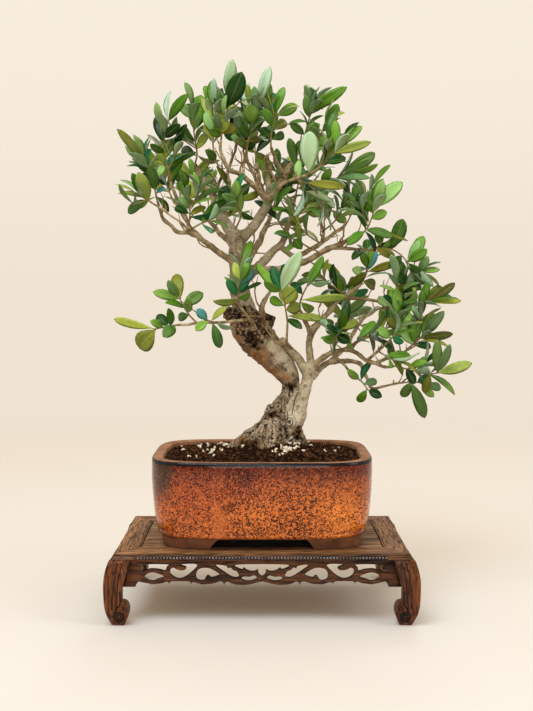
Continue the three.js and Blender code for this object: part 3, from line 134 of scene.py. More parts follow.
# Each limb: across, down, depth and radius, from where it grows to its end.
LIMBS = {
    "trunk": [(273, 464, 4, 29), (275, 450, 4, 28), (277, 437, 2, 25.5), (280, 424, 1, 22.5),
        (284.5, 412, 0, 18.5), (289, 401, 0, 14), (291, 391, 0, 10.6), (290, 381, 0, 11.2),
        (284, 369, 0, 14.5), (274, 356, 0, 18), (263, 345, -1, 19.5), (253, 334, -2, 20.5),
        (247, 323, -2, 20), (244, 313, -2, 15)],
    "leader": [(246, 322, 0, 15), (243, 308, 0, 13), (241, 296, 0, 11.5), (239, 282, 0, 10.5),
        (238, 268, 0, 10), (237.5, 254, 0, 9.8), (238, 242, 0, 9.6), (239, 232, 0, 7.5)],
    "root_left": [(273, 428, 0, 17), (260, 434, -7, 13), (248, 439, -13, 9.5), (237, 444, -18, 6.5),
        (225, 453, -22, 3.5)],
    "root_front": [(274, 430, -6, 17), (269, 441, -20, 13), (264, 450, -31, 8.5), (259, 461, -40, 4)],
    "root_right": [(291, 428, 0, 12), (297, 438, -5, 9.5), (301, 448, -8, 7), (306, 461, -11, 4)],
    "root_back": [(281, 430, 6, 13), (274, 440, 22, 10), (266, 450, 35, 7.5), (259, 461, 42, 4.5)],
    "root_back_right": [(287, 430, 5, 12), (293, 441, 18, 9), (299, 451, 28, 6.5), (305, 462, 36, 4)],
    "side_stem": [(293, 430, -9, 9), (297, 420, -11, 8.6), (300, 408, -12, 7.8), (303, 396, -12, 7.2),
        (306, 385, -11, 6.9), (309, 374, -9, 6.8), (311, 363, -8, 5.6)],
    "burl_low": [(278, 418, -7, 11), (270, 411, -11, 9), (266, 409, -12, 6)],
    "burl_left": [(240, 318, -4, 12), (231, 314, -6, 8.5), (226, 312, -7, 6.5)],
    "burl_right": [(256, 330, 2, 14), (266, 322, 3, 10.5), (270, 314, 3, 8)],
    "stub": [(262, 333, -9, 5.6), (262, 321, -17, 4.2), (262, 308, -24, 3.3), (265, 300, -25, 2.4),
        (271, 290, -26, 1.7)],
    "brown_shoot": [(256, 333, -9, 2.8), (251, 322, -24, 2.4), (244, 312, -25, 2), (239, 304, -24, 1.3)],
    "left_twig": [(257, 323, -8, 2.2), (249, 320, -22, 1.9), (236, 321, -30, 1.8), (218, 322, -31, 1.7),
        (197, 323, -31, 1.6), (178, 325, -29, 1.4)],
    "front_shoot": [(292, 349, -8, 2.2), (287, 345, -24, 1.6), (287, 334, -29, 1.4), (287.5, 322, -32, 1.3)],
    "left_low": [(235, 264, -2, 5), (224, 256, -4, 3.9), (214, 248.5, -8, 3.4), (203, 240, -12, 3.1),
        (192, 233, -16, 3), (179, 232, -20, 2.5), (171, 226, -22, 2.2), (163, 219, -24, 2.1),
        (160, 210, -25, 1.8), (157, 200, -26, 1.5)],
    "left_mid": [(191, 232, -16, 2.6), (187, 222, -14, 2.4), (181, 208, -12, 2.2), (175, 196, -11, 2),
        (170, 182, -10, 1.8)],
    "left_long": [(191, 232.5, -16, 1.8), (178, 221, -28, 1.3), (164, 211, -35, 1.2), (152, 203, -40, 1.1)],
    "left_back": [(201, 238.5, -12, 2.6), (190, 226, 6, 2.1), (180, 212, 22, 1.8), (172, 198, 36, 1.5)],
    "top_left": [(238, 240, 0, 8.5), (230, 229, -2, 7.4), (222, 218, -4, 6.2), (216, 208, -5, 5),
        (212.5, 196, -4, 4), (206, 184, -1, 3.2), (199, 172, 2, 2.8), (195, 164, 4, 2.3)],
    "top_left_fork": [(213, 197, -4, 2.4), (218, 185, -14, 2), (222, 176, -22, 1.6)],
    "centre_stem": [(222, 216, -3, 4.2), (227, 204, 2, 3.4), (229, 194, 6, 3), (229, 182, 10, 2.6),
        (228, 172, 14, 2.2), (232, 160, 20, 1.8), (236, 149, 24, 1.5)],
    "arch": [(269, 201, -2, 4.4), (262, 194, -7, 3.7), (254, 187, -12, 3.2), (246, 179, -16, 2.9),
        (238, 173, -19, 2.7), (230, 170, -22, 2.5), (224, 161, -24, 2.2), (220, 150, -25, 1.9),
        (221, 140, -26, 1.6)],
    "arch_up": [(262, 194, -7, 2.8), (256, 181, 0, 2.3), (250, 168, 4, 2), (244, 156, 6, 1.7)],
    "arch_mid": [(243, 176, -16, 2), (243, 164, -12, 1.7), (246, 152, -8, 1.4)],
    "top_right": [(240, 238, 0, 8), (248, 232, 3, 6.4), (256, 223, 5, 5.9), (262, 213, 4, 5.6),
        (267, 204, 2, 5.3), (269, 194, 2, 4), (268.5, 182, 4, 3), (268, 168, 8, 2.6), (267, 155, 11, 2.1)],
    "crown_back": [(267, 203, 6, 3.8), (262, 190, 24, 3), (258, 175, 41, 2.5), (256, 160, 46, 2)],
    "top_right_out": [(268, 203, 2, 4.4), (276, 191, 8, 3.9), (284, 177, 14, 3.5), (291, 164, 20, 3),
        (298, 151, 25, 2.4), (303, 141, 28, 1.9)],
    "top_right_in": [(284, 178, 12, 2.4), (279, 167, 2, 2.3), (274, 157, -6, 2.1), (271, 147, -12, 1.8)],
    "pale_twig": [(268, 204, -4, 2.6), (274, 193, -18, 2.1), (283, 184, -30, 1.9), (295, 179, -40, 1.6),
        (306, 175, -46, 1.3)],
    "right_rise": [(243, 284, 3, 6.4), (252, 273, 6, 5.4), (263, 262, 9, 5), (273, 252, 12, 4.6),
        (281, 244, 14, 4.1), (286, 232, 16, 3.5), (290, 219, 20, 3), (293, 206, 24, 2.5), (296, 194, 28, 2)],
    "rear_limb": [(241, 264, 5, 5.6), (249, 257, 14, 4.6), (257, 246, 26, 4.1), (263, 234, 38, 3.4),
        (269, 221, 44, 2.8), (274, 206, 49, 2.2)],
    "rear_left": [(237, 250, 6, 5), (229, 242, 24, 3.9), (219, 232, 41, 3), (209, 221, 47, 2.3),
        (202, 209, 52, 1.8)],
    "right_arm": [(254, 271, 5, 4.6), (269, 270, 0, 4.3), (285, 268, -6, 4), (302, 263, -12, 3.6),
        (316, 256, -16, 3.4), (330, 249, -19, 3.2), (341, 243, -22, 2.8), (352, 238, -26, 2.5),
        (363, 233, -30, 2.1)],
    "right_arm_low": [(333, 248, -19, 2.4), (346, 248, -16, 2.1), (359, 250, -14, 1.8)],
    "right_arm_back": [(280, 246, 14, 3.6), (292, 256, 18, 3.3), (301, 255, 20, 3.1), (311, 249, 22, 2.9),
        (323, 242, 26, 2.6), (334, 233, 32, 2.2), (345, 226, 38, 1.8)],
    "right_arm_up": [(322, 242, 25, 2.2), (323, 232, 22, 1.9), (321, 221, 18, 1.6)],
    "side_up": [(311, 365, -8, 5.4), (309.5, 352, -8, 4.6), (309.5, 342, -8, 4.3), (312, 333, -7, 4.2),
        (319, 322, 0, 4.1), (328, 312, 8, 3.9), (335, 303, 15, 3.7), (343, 298, 22, 3.3), (352, 291, 29, 2.8),
        (361, 284, 34, 2.3)],
    "side_up_left": [(311, 335, -8, 3.2), (308, 326, -14, 2.8), (303, 317, -20, 2.3), (299, 308, -24, 1.8)],
    "side_far": [(341, 299, 19, 2.8), (356, 298, 16, 2.6), (370, 300, 12, 2.4), (383, 301, 8, 2.2),
        (392, 295, 4, 1.9), (401, 288, 0, 1.6)],
    "side_mid": [(312, 368, -8, 5), (322, 358, -12, 4.2), (334, 352, -17, 3.8), (346, 350, -21, 3.4),
        (355, 352, -23, 3.2), (364, 359, -25, 3), (374, 363, -27, 2.8), (384, 367, -29, 2.3),
        (395, 366, -30, 1.9)],
    "side_mid_up": [(347, 350, -20, 2.8), (352, 336, -17, 2.5), (359, 325, -14, 2.3), (366, 317, -11, 2.1),
        (376, 310, -8, 1.9), (388, 307, -6, 1.6)],
    "side_mid_back": [(349, 340, -18, 2.2), (345, 330, 0, 2), (342, 322, 18, 1.8)],
    "side_mid_front": [(368, 360, -26, 2), (378, 351, -32, 1.7), (389, 341, -38, 1.4)],
    "side_mid_rise": [(376, 363, -26, 2.4), (386, 359, -18, 2), (399, 356, -12, 1.7), (410, 347, -8, 1.4)],
    "side_low": [(312, 378, -8, 5.4), (319, 369, -4, 4.6), (329, 362, 1, 4.1), (342, 361, 6, 3.7),
        (354, 361, 9, 3.4), (361, 364, 10, 3.1), (366, 376, 8, 2.7), (371, 388, 5, 2.4), (383, 386, 1, 2),
        (396, 384, -3, 1.8), (408, 382, -7, 1.5)],
    "side_rear": [(330, 361, 2, 3.4), (344, 350, 20, 2.9), (360, 341, 36, 2.4), (376, 334, 44, 1.9)],
    "pale_drop": [(333, 354, -17, 2.1), (341, 363, -22, 1.7), (349, 371, -25, 1.5), (357, 378, -26, 1.2)],
    "crotch_limb": [(307, 373, -5, 5.6), (298, 359.5, -6, 5.1), (289, 348, -8, 4.2), (281, 338.5, -10, 3.2)],
}

# Each leafy spray: the line of its twig (across, down, depth), then its leaves from seat to tip (across,
# down, across, down), with the width that shows and the tone.
SPRAYS = {
    "left_outer": ([(152, 203, -40), (147, 199.5, -43), (142, 197, -45)],
        [(143, 199, 118, 193.5, 5, "yl"), (140, 196, 120, 180, 5, "gy"), (150, 199, 138, 172, 12, "ob"),
        (144, 197, 132, 173, 8, "gn"), (149, 201, 133, 206, 7, "gn"), (146, 200, 128, 213, 9, "dk")]),
    "left_top": ([(157, 200, -26), (155, 190, -28), (152, 178, -30), (148, 167, -31), (144, 158, -31)],
        [(146, 163, 117, 129, 8, "yl"), (144, 158, 125, 146, 5, "gn"), (155, 190, 150, 163, 9, "dk"),
        (148, 170, 127, 166, 4, "tl"), (152, 178, 139, 161, 9, "gn"), (156, 194, 167, 189, 6, "bl"),
        (157, 198, 169, 212, 6, "gn"), (158, 202, 140, 209, 4, "yl"), (147, 163, 150, 136, 6, "tl"),
        (153, 180, 164, 166, 8, "gy")]),
    "left_high": ([(170, 182, -10), (168, 170, -9), (165, 158, -8), (164, 147, -8), (165, 134, -9),
        (168, 121, -10)],
        [(164, 146, 159, 114, 12, "dk"), (166, 160, 170, 139, 13, "yl"), (168, 169, 196, 152, 7, "gn"),
        (165, 130, 156, 102, 7, "gy"), (168, 120, 171, 91, 6, "mt"), (168, 122, 188, 94, 10, "gn"),
        (169, 176, 154, 161, 8, "yl"), (165, 138, 180, 124, 9, "dk"), (166, 152, 150, 144, 7, "gn")]),
    "left_inner": ([(189, 224, -16), (190, 214, -18), (189, 205, -20), (187, 197, -21)],
        [(188, 200, 197, 182, 17, "yl"), (187, 197, 180, 181, 8, "gn"), (189, 207, 213, 199, 4, "gn"),
        (190, 215, 206, 207, 7, "ob"), (190, 217, 220, 212, 6, "tl"), (189, 209, 178, 197, 7, "gy"),
        (190, 214, 175, 207, 8, "dk")]),
    "left_rear": ([(172, 198, 36), (168, 189, 41), (165, 179, 43), (163, 169, 44)], []),
    "top_left": ([(195, 164, 4), (197, 155, 2), (196, 145, 0), (194, 133, -2), (193, 120, -4),
        (192, 109, -5)],
        [(194, 131, 201, 95, 17, "gn"), (195, 142, 186, 127, 6, "gn"), (196, 147, 178, 130, 8, "dk"),
        (192, 110, 185, 82, 6, "gy"), (197, 155, 220, 160, 4, "ob"), (193, 119, 180, 104, 9, "gy"),
        (196, 150, 207, 133, 8, "yl"), (197, 156, 182, 148, 9, "dk")]),
    "top_left_inner": ([(222, 176, -22), (216, 160, -20), (213, 146, -18), (214, 132, -17), (216, 118, -17),
        (216, 106, -17)],
        [(213, 142, 205, 124, 8, "ob"), (215, 124, 201, 97, 7, "yl"), (216, 108, 211, 81, 10, "gn"),
        (216, 106, 214, 78, 7, "mt"), (216, 112, 222, 88, 8, "dk"), (214, 134, 205, 112, 9, "gy"),
        (216, 160, 205, 150, 8, "gn"), (214, 136, 224, 118, 9, "gn")]),
    "crown_left": ([(221, 140, -26), (222, 132, -27), (225, 121, -28), (227, 109, -28), (228, 99, -28)],
        [(227, 99, 232, 59, 11, "pl"), (228, 108, 242, 72, 16, "dk"), (226, 118, 227, 95, 6, "gy"),
        (222, 134, 227, 119, 11, "yl"), (222, 134, 236, 126, 10, "ob"), (222, 136, 208, 131, 8, "gn"),
        (222, 130, 216, 112, 6, "gy"), (226, 116, 241, 112, 6, "mt"), (227, 110, 219, 90, 8, "dk")]),
    "crown_mid": ([(236, 149, 24), (238, 139, 20), (240, 129, 16), (242, 119, 12), (244, 108, 8)],
        [(243, 109, 248, 83, 8, "mt"), (242, 116, 241, 95, 6, "tl"), (243, 112, 256, 90, 8, "gn"),
        (240, 128, 256, 115, 9, "gn"), (239, 138, 258, 130, 13, "ob"), (238, 140, 224, 133, 7, "tl"),
        (241, 122, 229, 108, 9, "gn"), (240, 130, 230, 118, 8, "dk")]),
    "crown_centre": ([(246, 152, -8), (248, 142, -10), (251, 130, -13), (255, 118, -16), (258, 108, -18)],
        [(258, 108, 270, 67, 10, "mt"), (258, 109, 272, 88, 8, "dk"), (253, 124, 250, 104, 14, "gn"),
        (256, 114, 254, 86, 8, "gy"), (252, 128, 264, 118, 8, "gn"), (248, 142, 260, 138, 7, "ob"),
        (249, 137, 240, 125, 9, "gn"), (247, 146, 236, 140, 8, "yl")]),
    "crown_right": ([(271, 147, -12), (271, 136, -15), (273, 124, -18), (277, 113, -20)],
        [(272, 124, 275, 93, 10, "gy"), (277, 113, 284, 87, 8, "gn"), (276, 116, 297, 105, 10, "gn"),
        (272, 130, 286, 121, 9, "yl"), (271, 138, 260, 128, 9, "dk"), (273, 126, 264, 108, 8, "gn"),
        (271, 140, 284, 134, 8, "dk"), (277, 113, 271, 92, 7, "tl")]),
    "crown_far": ([(303, 141, 28), (306, 130, 25), (309, 119, 22), (312, 110, 19)],
        [(309, 118, 306, 95, 9, "dk"), (312, 110, 307, 84, 5, "gy"), (312, 111, 347, 87, 11, "gn"),
        (308, 122, 288, 125, 5, "gn"), (305, 135, 290, 122, 8, "dk"), (305, 133, 320, 124, 9, "gn"),
        (310, 115, 324, 100, 8, "gy")]),
    "right_crown": ([(284, 176, 14), (296, 168, 4), (307, 158, -4), (315, 146, -10), (321, 134, -14),
        (325, 124, -17)],
        [(323, 128, 338, 104, 10, "gn"), (325, 124, 345, 113, 4, "ob"), (316, 145, 338, 137, 9, "gn"),
        (296, 168, 289, 138, 9, "dk"), (307, 158, 298, 141, 9, "gn"), (319, 138, 308, 126, 8, "gy"),
        (322, 131, 334, 121, 8, "dk"), (310, 153, 322, 148, 7, "gn")]),
    "right_fan": ([(306, 175, -46), (314, 171, -48), (323, 164, -50), (333, 155, -51), (342, 144, -51)],
        [(307, 173, 310, 131, 16, "pl"), (318, 168, 347, 136, 14, "yl"), (337, 149, 335, 120, 8, "gn"),
        (342, 144, 353, 130, 5, "ob"), (340, 146, 362, 126, 8, "gn"), (334, 154, 371, 142, 8, "ob"),
        (324, 163, 346, 158, 8, "dk"), (315, 170, 328, 172, 6, "gn")]),
    "right_fan_low": ([(295, 179, -40), (308, 183, -38), (322, 183, -36), (335, 179, -34), (344, 174, -33)],
        [(308, 182, 346, 187, 8, "ob"), (343, 174, 375, 153, 11, "dk"), (344, 174, 378, 164, 5, "gn"),
        (336, 179, 370, 178, 7, "gy"), (322, 183, 330, 168, 8, "gn"), (334, 180, 350, 192, 7, "dk"),
        (297, 180, 299, 160, 7, "gy"), (299, 181, 318, 190, 5, "tl")]),
    "pale_inner": ([(235, 230, -2), (241, 216, -18), (239, 207, -22), (235, 200, -25)],
        [(235, 200, 236, 180, 9, "gn"), (236, 201, 259, 193, 7, "ob"), (240, 210, 254, 219, 6, "dk"),
        (237, 204, 222, 194, 8, "gy"), (240, 212, 226, 207, 7, "gn")]),
    "arch_end": ([(244, 156, 6), (243, 146, 4), (241, 136, -2)],
        [(243, 147, 232, 135, 8, "gy"), (241, 137, 236, 118, 8, "gn"), (243, 149, 255, 143, 8, "dk"),
        (242, 141, 250, 124, 7, "mt")]),
    "arm_end": ([(363, 233, -30), (368, 227, -32), (372, 217, -33), (375, 207, -34)],
        [(366, 230, 358, 195, 11, "dk"), (375, 207, 383, 180, 9, "gy"), (375, 208, 402, 182, 13, "gy"),
        (373, 214, 366, 199, 8, "ob"), (371, 219, 387, 212, 9, "gn"), (367, 230, 394, 237, 8, "dk"),
        (365, 232, 408, 241, 5, "ob"), (364, 233, 375, 252, 5, "tl"), (365, 232, 347, 245, 8, "gn")]),
    "arm_back": ([(345, 226, 38), (349, 219, 40), (352, 211, 40), (354, 202, 40)],
        [(350, 217, 349, 190, 8, "gy"), (354, 203, 360, 180, 8, "gn"), (353, 208, 342, 194, 8, "dk"),
        (347, 223, 333, 212, 9, "gn"), (351, 214, 364, 207, 8, "gy")]),
    "arm_far": ([(359, 250, -14), (369, 250, -15), (380, 248, -16), (391, 249, -17), (401, 255, -18),
        (408, 263, -18)],
        [(391, 249, 403, 219, 13, "gn"), (372, 250, 398, 242, 8, "dk"), (376, 249, 395, 257, 8, "ob"),
        (408, 262, 427, 249, 10, "gn"), (407, 262, 420, 240, 8, "gy"), (402, 256, 388, 268, 8, "dk"),
        (381, 248, 378, 232, 8, "gn"), (408, 263, 421, 272, 7, "gn"), (362, 250, 352, 260, 7, "dk")]),
    "arm_up": ([(321, 222, 18), (320, 209, 16), (317, 200, 14)],
        [(320, 209, 308, 198, 9, "gn"), (320, 210, 333, 200, 8, "dk"), (317, 201, 311, 182, 9, "gy"),
        (318, 203, 326, 186, 8, "gn"), (321, 215, 308, 214, 7, "ob")]),
    "rise_end": ([(296, 194, 28), (298, 185, 30), (300, 175, 31)],
        [(298, 184, 285, 174, 9, "gn"), (299, 181, 312, 172, 8, "dk"), (300, 176, 294, 156, 8, "gy"),
        (297, 188, 310, 190, 8, "gn"), (296, 190, 282, 192, 7, "dk")]),
    "side_up": ([(361, 284, 34), (365, 277, 35), (368, 269, 35)],
        [(367, 272, 397, 263, 8, "ob"), (367, 271, 376, 251, 8, "bl"), (364, 279, 354, 267, 8, "gy"),
        (363, 281, 375, 287, 11, "yl"), (368, 269, 362, 252, 8, "gn"), (362, 282, 349, 281, 8, "dk")]),
    "side_far": ([(401, 288, 0), (408, 281, -2), (415, 274, -4), (421, 271, -5)],
        [(404, 285, 399, 260, 9, "gn"), (409, 280, 421, 290, 9, "dk"), (420, 272, 440, 270, 6, "gn"),
        (419, 272, 428, 256, 8, "gy"), (412, 277, 426, 283, 8, "yl"), (407, 282, 391, 276, 8, "dk")]),
    "side_far_low": ([(383, 301, 8), (396, 303, 0), (409, 304, -6), (420, 304, -10), (428, 303, -12)],
        [(427, 303, 455, 283, 8, "ob"), (428, 303, 452, 297, 6, "tl"), (428, 304, 461, 301, 7, "yl"),
        (421, 304, 428, 282, 8, "gn"), (411, 304, 423, 320, 7, "mt"), (404, 304, 396, 322, 9, "dk"),
        (397, 303, 388, 289, 8, "gn"), (414, 304, 410, 288, 8, "gy")]),
    "mid_rise": ([(410, 347, -8), (417, 341, -9), (424, 335, -10)],
        [(421, 337, 436, 314, 15, "gn"), (424, 335, 444, 311, 9, "gy"), (420, 339, 453, 334, 8, "ob"),
        (414, 344, 416, 321, 11, "gn"), (413, 345, 431, 347, 7, "tl"), (412, 346, 401, 326, 10, "gy")]),
    "mid_end": ([(395, 366, -30), (406, 369, -31), (417, 372, -32), (428, 374, -32), (438, 373, -32)],
        [(437, 373, 437, 339, 9, "dk"), (438, 373, 450, 344, 8, "gy"), (438, 374, 472, 363, 10, "yl"),
        (417, 372, 425, 357, 8, "gn"), (427, 374, 455, 395, 6, "gn"), (407, 369, 427, 361, 6, "gn"),
        (406, 369, 415, 384, 8, "dk"), (400, 367, 398, 350, 7, "gy"), (430, 374, 424, 393, 8, "ob")]),
    "low_end": ([(408, 382, -7), (416, 382, -7), (424, 384, -7)],
        [(421, 383, 434, 397, 7, "gn"), (411, 382, 425, 418, 11, "dk"), (424, 384, 441, 388, 8, "gy"),
        (417, 382, 430, 376, 7, "tl"), (410, 382, 402, 397, 9, "dk")]),
    "mid_front": ([(389, 341, -38), (395, 334, -40), (400, 327, -41)],
        [(396, 333, 397, 313, 8, "dk"), (400, 327, 411, 313, 8, "gn"), (391, 339, 378, 328, 9, "gn"),
        (392, 337, 404, 342, 7, "tl"), (390, 340, 393, 357, 7, "gy"), (399, 329, 387, 318, 8, "ob")]),
    "mid_up": ([(388, 307, -6), (397, 305, -20), (404, 300, -30)],
        [(397, 305, 391, 290, 8, "gn"), (403, 301, 412, 288, 7, "dk"), (398, 304, 410, 312, 8, "gn"),
        (390, 307, 378, 298, 8, "gy"), (403, 301, 396, 284, 6, "ob")]),
    "side_inner": ([(333, 354, -18), (334, 344, -28), (337, 335, -34), (342, 328, -38)],
        [(334, 345, 327, 322, 6, "gy"), (341, 329, 358, 321, 8, "ob"), (337, 336, 350, 342, 9, "dk"),
        (342, 328, 345, 309, 8, "gn"), (335, 340, 322, 338, 8, "gn"), (338, 334, 326, 326, 6, "tl")]),
    "pale_drop": ([(357, 378, -26), (363, 383, -27), (368, 390, -28)],
        [(359, 380, 348, 369, 7, "gn"), (361, 381, 371, 362, 6, "tl"), (368, 390, 382, 397, 8, "dk"),
        (367, 389, 358, 402, 8, "gn"), (364, 384, 377, 381, 7, "gy")]),
    "front": ([(287.5, 322, -32), (286, 312, -37), (284, 301, -41), (281, 291, -44)],
        [(282, 291, 301, 251, 13, "pl"), (285, 305, 291, 286, 17, "yl"), (285, 310, 301, 306, 11, "yl"),
        (282, 293, 256, 264, 8, "gn"), (282, 292, 272, 266, 9, "tl"), (284, 300, 308, 282, 5, "tl"),
        (287, 316, 324, 319, 7, "ob"), (285, 306, 270, 298, 8, "gn"), (287, 320, 302, 329, 7, "dk"),
        (281, 291, 285, 264, 9, "dk"), (281, 292, 264, 281, 7, "gn")]),
    "front_right": ([(299, 308, -24), (301, 299, -30), (305, 290, -34), (309, 283, -36)],
        [(309, 283, 330, 280, 5, "mt"), (308, 285, 323, 256, 8, "gn"), (306, 289, 314, 268, 7, "gy"),
        (301, 300, 347, 297, 8, "yl"), (303, 295, 291, 283, 8, "dk"), (301, 302, 313, 311, 8, "gn")]),
    "brown_end": ([(239, 304, -24), (238, 297, -27), (238, 289, -30), (240, 281, -32)],
        [(238, 297, 227, 279, 8, "tl"), (238, 293, 247, 277, 9, "tl"), (238, 300, 213, 301, 7, "ob"),
        (240, 282, 234, 262, 8, "yl"), (240, 281, 248, 261, 9, "gn"), (239, 285, 254, 270, 8, "bl"),
        (238, 299, 250, 293, 6, "gn")]),
    "left_twig_end": ([(178, 325, -29), (170, 326, -33), (162, 327.5, -37), (155, 329, -40)],
        [(155, 329, 114, 319, 8, "yl"), (156, 329, 140, 349, 18, "yl"), (168, 326, 157, 315, 9, "dk"),
        (176, 325, 163, 337, 11, "dk"), (163, 327, 150, 321, 7, "gn"), (171, 326, 168, 308, 7, "gn")]),
    "left_twig_up": ([(197, 323, -31), (190, 316, -28), (184, 307, -26), (179, 297, -25)],
        [(180, 299, 153, 292, 9, "gn"), (180, 300, 176, 274, 11, "ob"), (183, 306, 203, 293, 11, "dk"),
        (184, 308, 165, 303, 6, "gn"), (188, 313, 189, 297, 8, "gn"), (179, 298, 168, 280, 8, "gy"),
        (189, 315, 178, 318, 8, "dk")]),
    "left_twig_mid": ([(218, 322, -31), (213, 322, -38), (207, 320, -44)],
        [(211, 322, 227, 307, 6, "ob"), (208, 320, 196, 331, 8, "gn"), (212, 322, 220, 348, 9, "dk"),
        (208, 320, 197, 309, 8, "bl"), (216, 322, 234, 328, 6, "mt")]),
    "rear_centre": ([(256, 160, 46), (255, 149, 48), (253, 137, 49), (251, 125, 49)], []),
    "rear_limb_end": ([(274, 206, 49), (276, 195, 50), (277, 183, 52), (277, 171, 52)], []),
    "rear_left_end": ([(202, 209, 52), (198, 199, 54), (195, 188, 55), (193, 177, 56)], []),
    "side_rear_end": ([(376, 334, 44), (386, 329, 46), (396, 323, 47), (405, 316, 48)], []),
    "mid_back_end": ([(342, 322, 18), (342, 311, 28), (343, 299, 38), (345, 287, 42)], []),
}


# ------------------------------------------------------------------ small tools for shapes


def placed(across, down, drawn_depth):
    """A point of the front elevation in millimetres."""
    part = min(max((SPREAD_FROM - down) / (SPREAD_FROM - SPREAD_FULL), 0.0), 1.0)
    depth = TREE_SET_BACK + drawn_depth * (1 + CROWN_SPREAD * part)
    unit = UNIT * (1 + depth / EYE_DISTANCE)
    return np.array([(across - CENTRE_ACROSS) * unit, depth, EYE_HEIGHT + (EYE_LEVEL - down) * unit])


def unit_vector(vector):
    return vector / max(np.linalg.norm(vector), 1e-9)


def square_to(vector, along):
    """The part of a vector that is square to a direction, as a unit vector."""
    return unit_vector(vector - along * np.dot(vector, along))


def turned(vector, axis, angle):
    """A vector turned about an axis."""
    across = np.cross(axis, vector)
    held = axis * np.dot(axis, vector)
    return vector * math.cos(angle) + across * math.sin(angle) + held * (1 - math.cos(angle))


def side_way(towards, along, angle):
    """A way square to a direction, on the side towards which it is asked for, then turned about it."""
    return turned(square_to(np.array(towards), along), along, angle)


def full_turn(sides):
    return 2 * math.pi * np.arange(sides) / sides


def run_along(line):
    """How far along a line each of its points lies."""
    return np.concatenate([[0], np.cumsum(np.linalg.norm(np.diff(line, axis=0), axis=1))])


def smooth_line(rows, steps, closed=False):
    """A Catmull-Rom line through rows of numbers, with `steps` points for each stretch."""
    rows = np.asarray(rows, float)
    if closed:
        padded = np.vstack([rows[-1], rows, rows[0], rows[1]])
    else:
        padded = np.vstack([2 * rows[0] - rows[1], rows, 2 * rows[-1] - rows[-2]])
    line = []
    for a, b, c, d in zip(padded, padded[1:], padded[2:], padded[3:]):
        for t in np.arange(steps) / steps:
            line.append(0.5 * (2 * b + (c - a) * t + (2 * a - 5 * b + 4 * c - d) * t**2
                               + (3 * b - 3 * c + d - a) * t**3))
    if not closed:
        line.append(rows[-1])
    return np.array(line)


class Shell:
    """Closed shapes gathered into one mesh, with marks on its faces and its points."""

    def __init__(self):
        self.points = []
        self.faces = []
        self.materials = []
        self.face_marks = {}
        self.uvs = []

    def add(self, points, faces, material=0, marks=None, uvs=None):
        start = len(self.points)
        self.points.extend(np.asarray(points, float).tolist())
        self.faces.extend([[start + corner for corner in face] for face in faces])
        self.materials.extend([material] * len(faces))
        for name, value in (marks or {}).items():
            values = value if isinstance(value, list) else [value] * len(faces)
            self.face_marks.setdefault(name, []).extend(values)
        corners = sum(len(face) for face in faces)
        self.uvs.extend(uvs if uvs is not None else [(0.0, 0.0)] * corners)


def mesh_of(name, points, faces, smooth=True):
    mesh = bpy.data.meshes.new(name)
    mesh.from_pydata(in_frame(points).tolist(), [], faces)
    mesh.polygons.foreach_set("use_smooth", [smooth] * len(mesh.polygons))
    mesh.update()
    return mesh


def facing_out(mesh):
    """The mesh with its doubles merged and its faces pointing out."""
    work = bmesh.new()
    work.from_mesh(mesh)
    bmesh.ops.remove_doubles(work, verts=work.verts, dist=1e-6)
    bmesh.ops.recalc_face_normals(work, faces=work.faces)
    work.to_mesh(mesh)
    work.free()
    mesh.update()
    return mesh


def smoothed(mesh, sharp_from=None):
    """Smooth shading, but sharp where faces meet at more than some degrees."""
    mesh.polygons.foreach_set("use_smooth", [True] * len(mesh.polygons))
    if sharp_from:
        mesh.set_sharp_from_angle(angle=math.radians(sharp_from))
    return mesh


def in_scene(name, data):
    made = bpy.data.objects.new(name, data)
    bpy.context.scene.collection.objects.link(made)
    return made


def put(name, mesh, materials, stands_for=()):
    """A finished piece: its mesh in the frame, on the one body, for the CAD nodes that it stands for."""
    mesh.name = name
    made = in_scene(name, mesh)
    for number, finish in enumerate(materials):
        if number < len(mesh.materials):
            mesh.materials[number] = finish
        else:
            mesh.materials.append(finish)
    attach(made, BODY)
    if stands_for:
        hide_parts(*stands_for)
    return made


def plain_mesh(carrier, **settings):
    """What an object's shape comes to, as a mesh. The object itself goes."""
    graph = bpy.context.evaluated_depsgraph_get()
    graph.update()
    mesh = bpy.data.meshes.new_from_object(carrier.evaluated_get(graph), depsgraph=graph, **settings)
    bpy.data.objects.remove(carrier)
    return mesh


def with_modifiers(mesh, *modifiers):
    """The mesh after the modifiers, each a type and its settings."""
    carrier = in_scene("work", mesh)
    for kind, settings in modifiers:
        modifier = carrier.modifiers.new(kind, kind)
        for key, value in settings.items():
            setattr(modifier, key, value)
    return plain_mesh(carrier, preserve_all_data_layers=True)


def mesh_points(mesh):
    flat = np.empty(len(mesh.vertices) * 3)
    mesh.vertices.foreach_get("co", flat)
    return flat.reshape(-1, 3)


def set_mesh_points(mesh, points):
    mesh.vertices.foreach_set("co", np.asarray(points, float).ravel())
    mesh.update()


def mesh_normals(mesh):
    flat = np.empty(len(mesh.vertices) * 3)
    mesh.vertex_normals.foreach_get("vector", flat)
    return flat.reshape(-1, 3)


MARK_KEYS = {"FLOAT": "value", "FLOAT_VECTOR": "vector", "FLOAT_COLOR": "color"}


def mark(mesh, name, values, kind="FLOAT", domain="POINT"):
    """Numbers kept on a mesh under a name, for its material to read."""
    made = mesh.attributes.new(name, kind, domain)
    made.data.foreach_set(MARK_KEYS[kind], np.asarray(values, float).ravel())


def point_tree(points):
    """A search tree over points."""
    tree = KDTree(len(points))
    for i, point in enumerate(points):
        tree.insert(point, i)
    tree.balance()
    return tree


def skin_tree(mesh):
    """A search tree over a mesh's faces, in millimetres about the stand."""
    points = [tuple(point) for point in in_millimetres(mesh_points(mesh))]
    return BVHTree.FromPolygons(points, [tuple(face.vertices) for face in mesh.polygons])


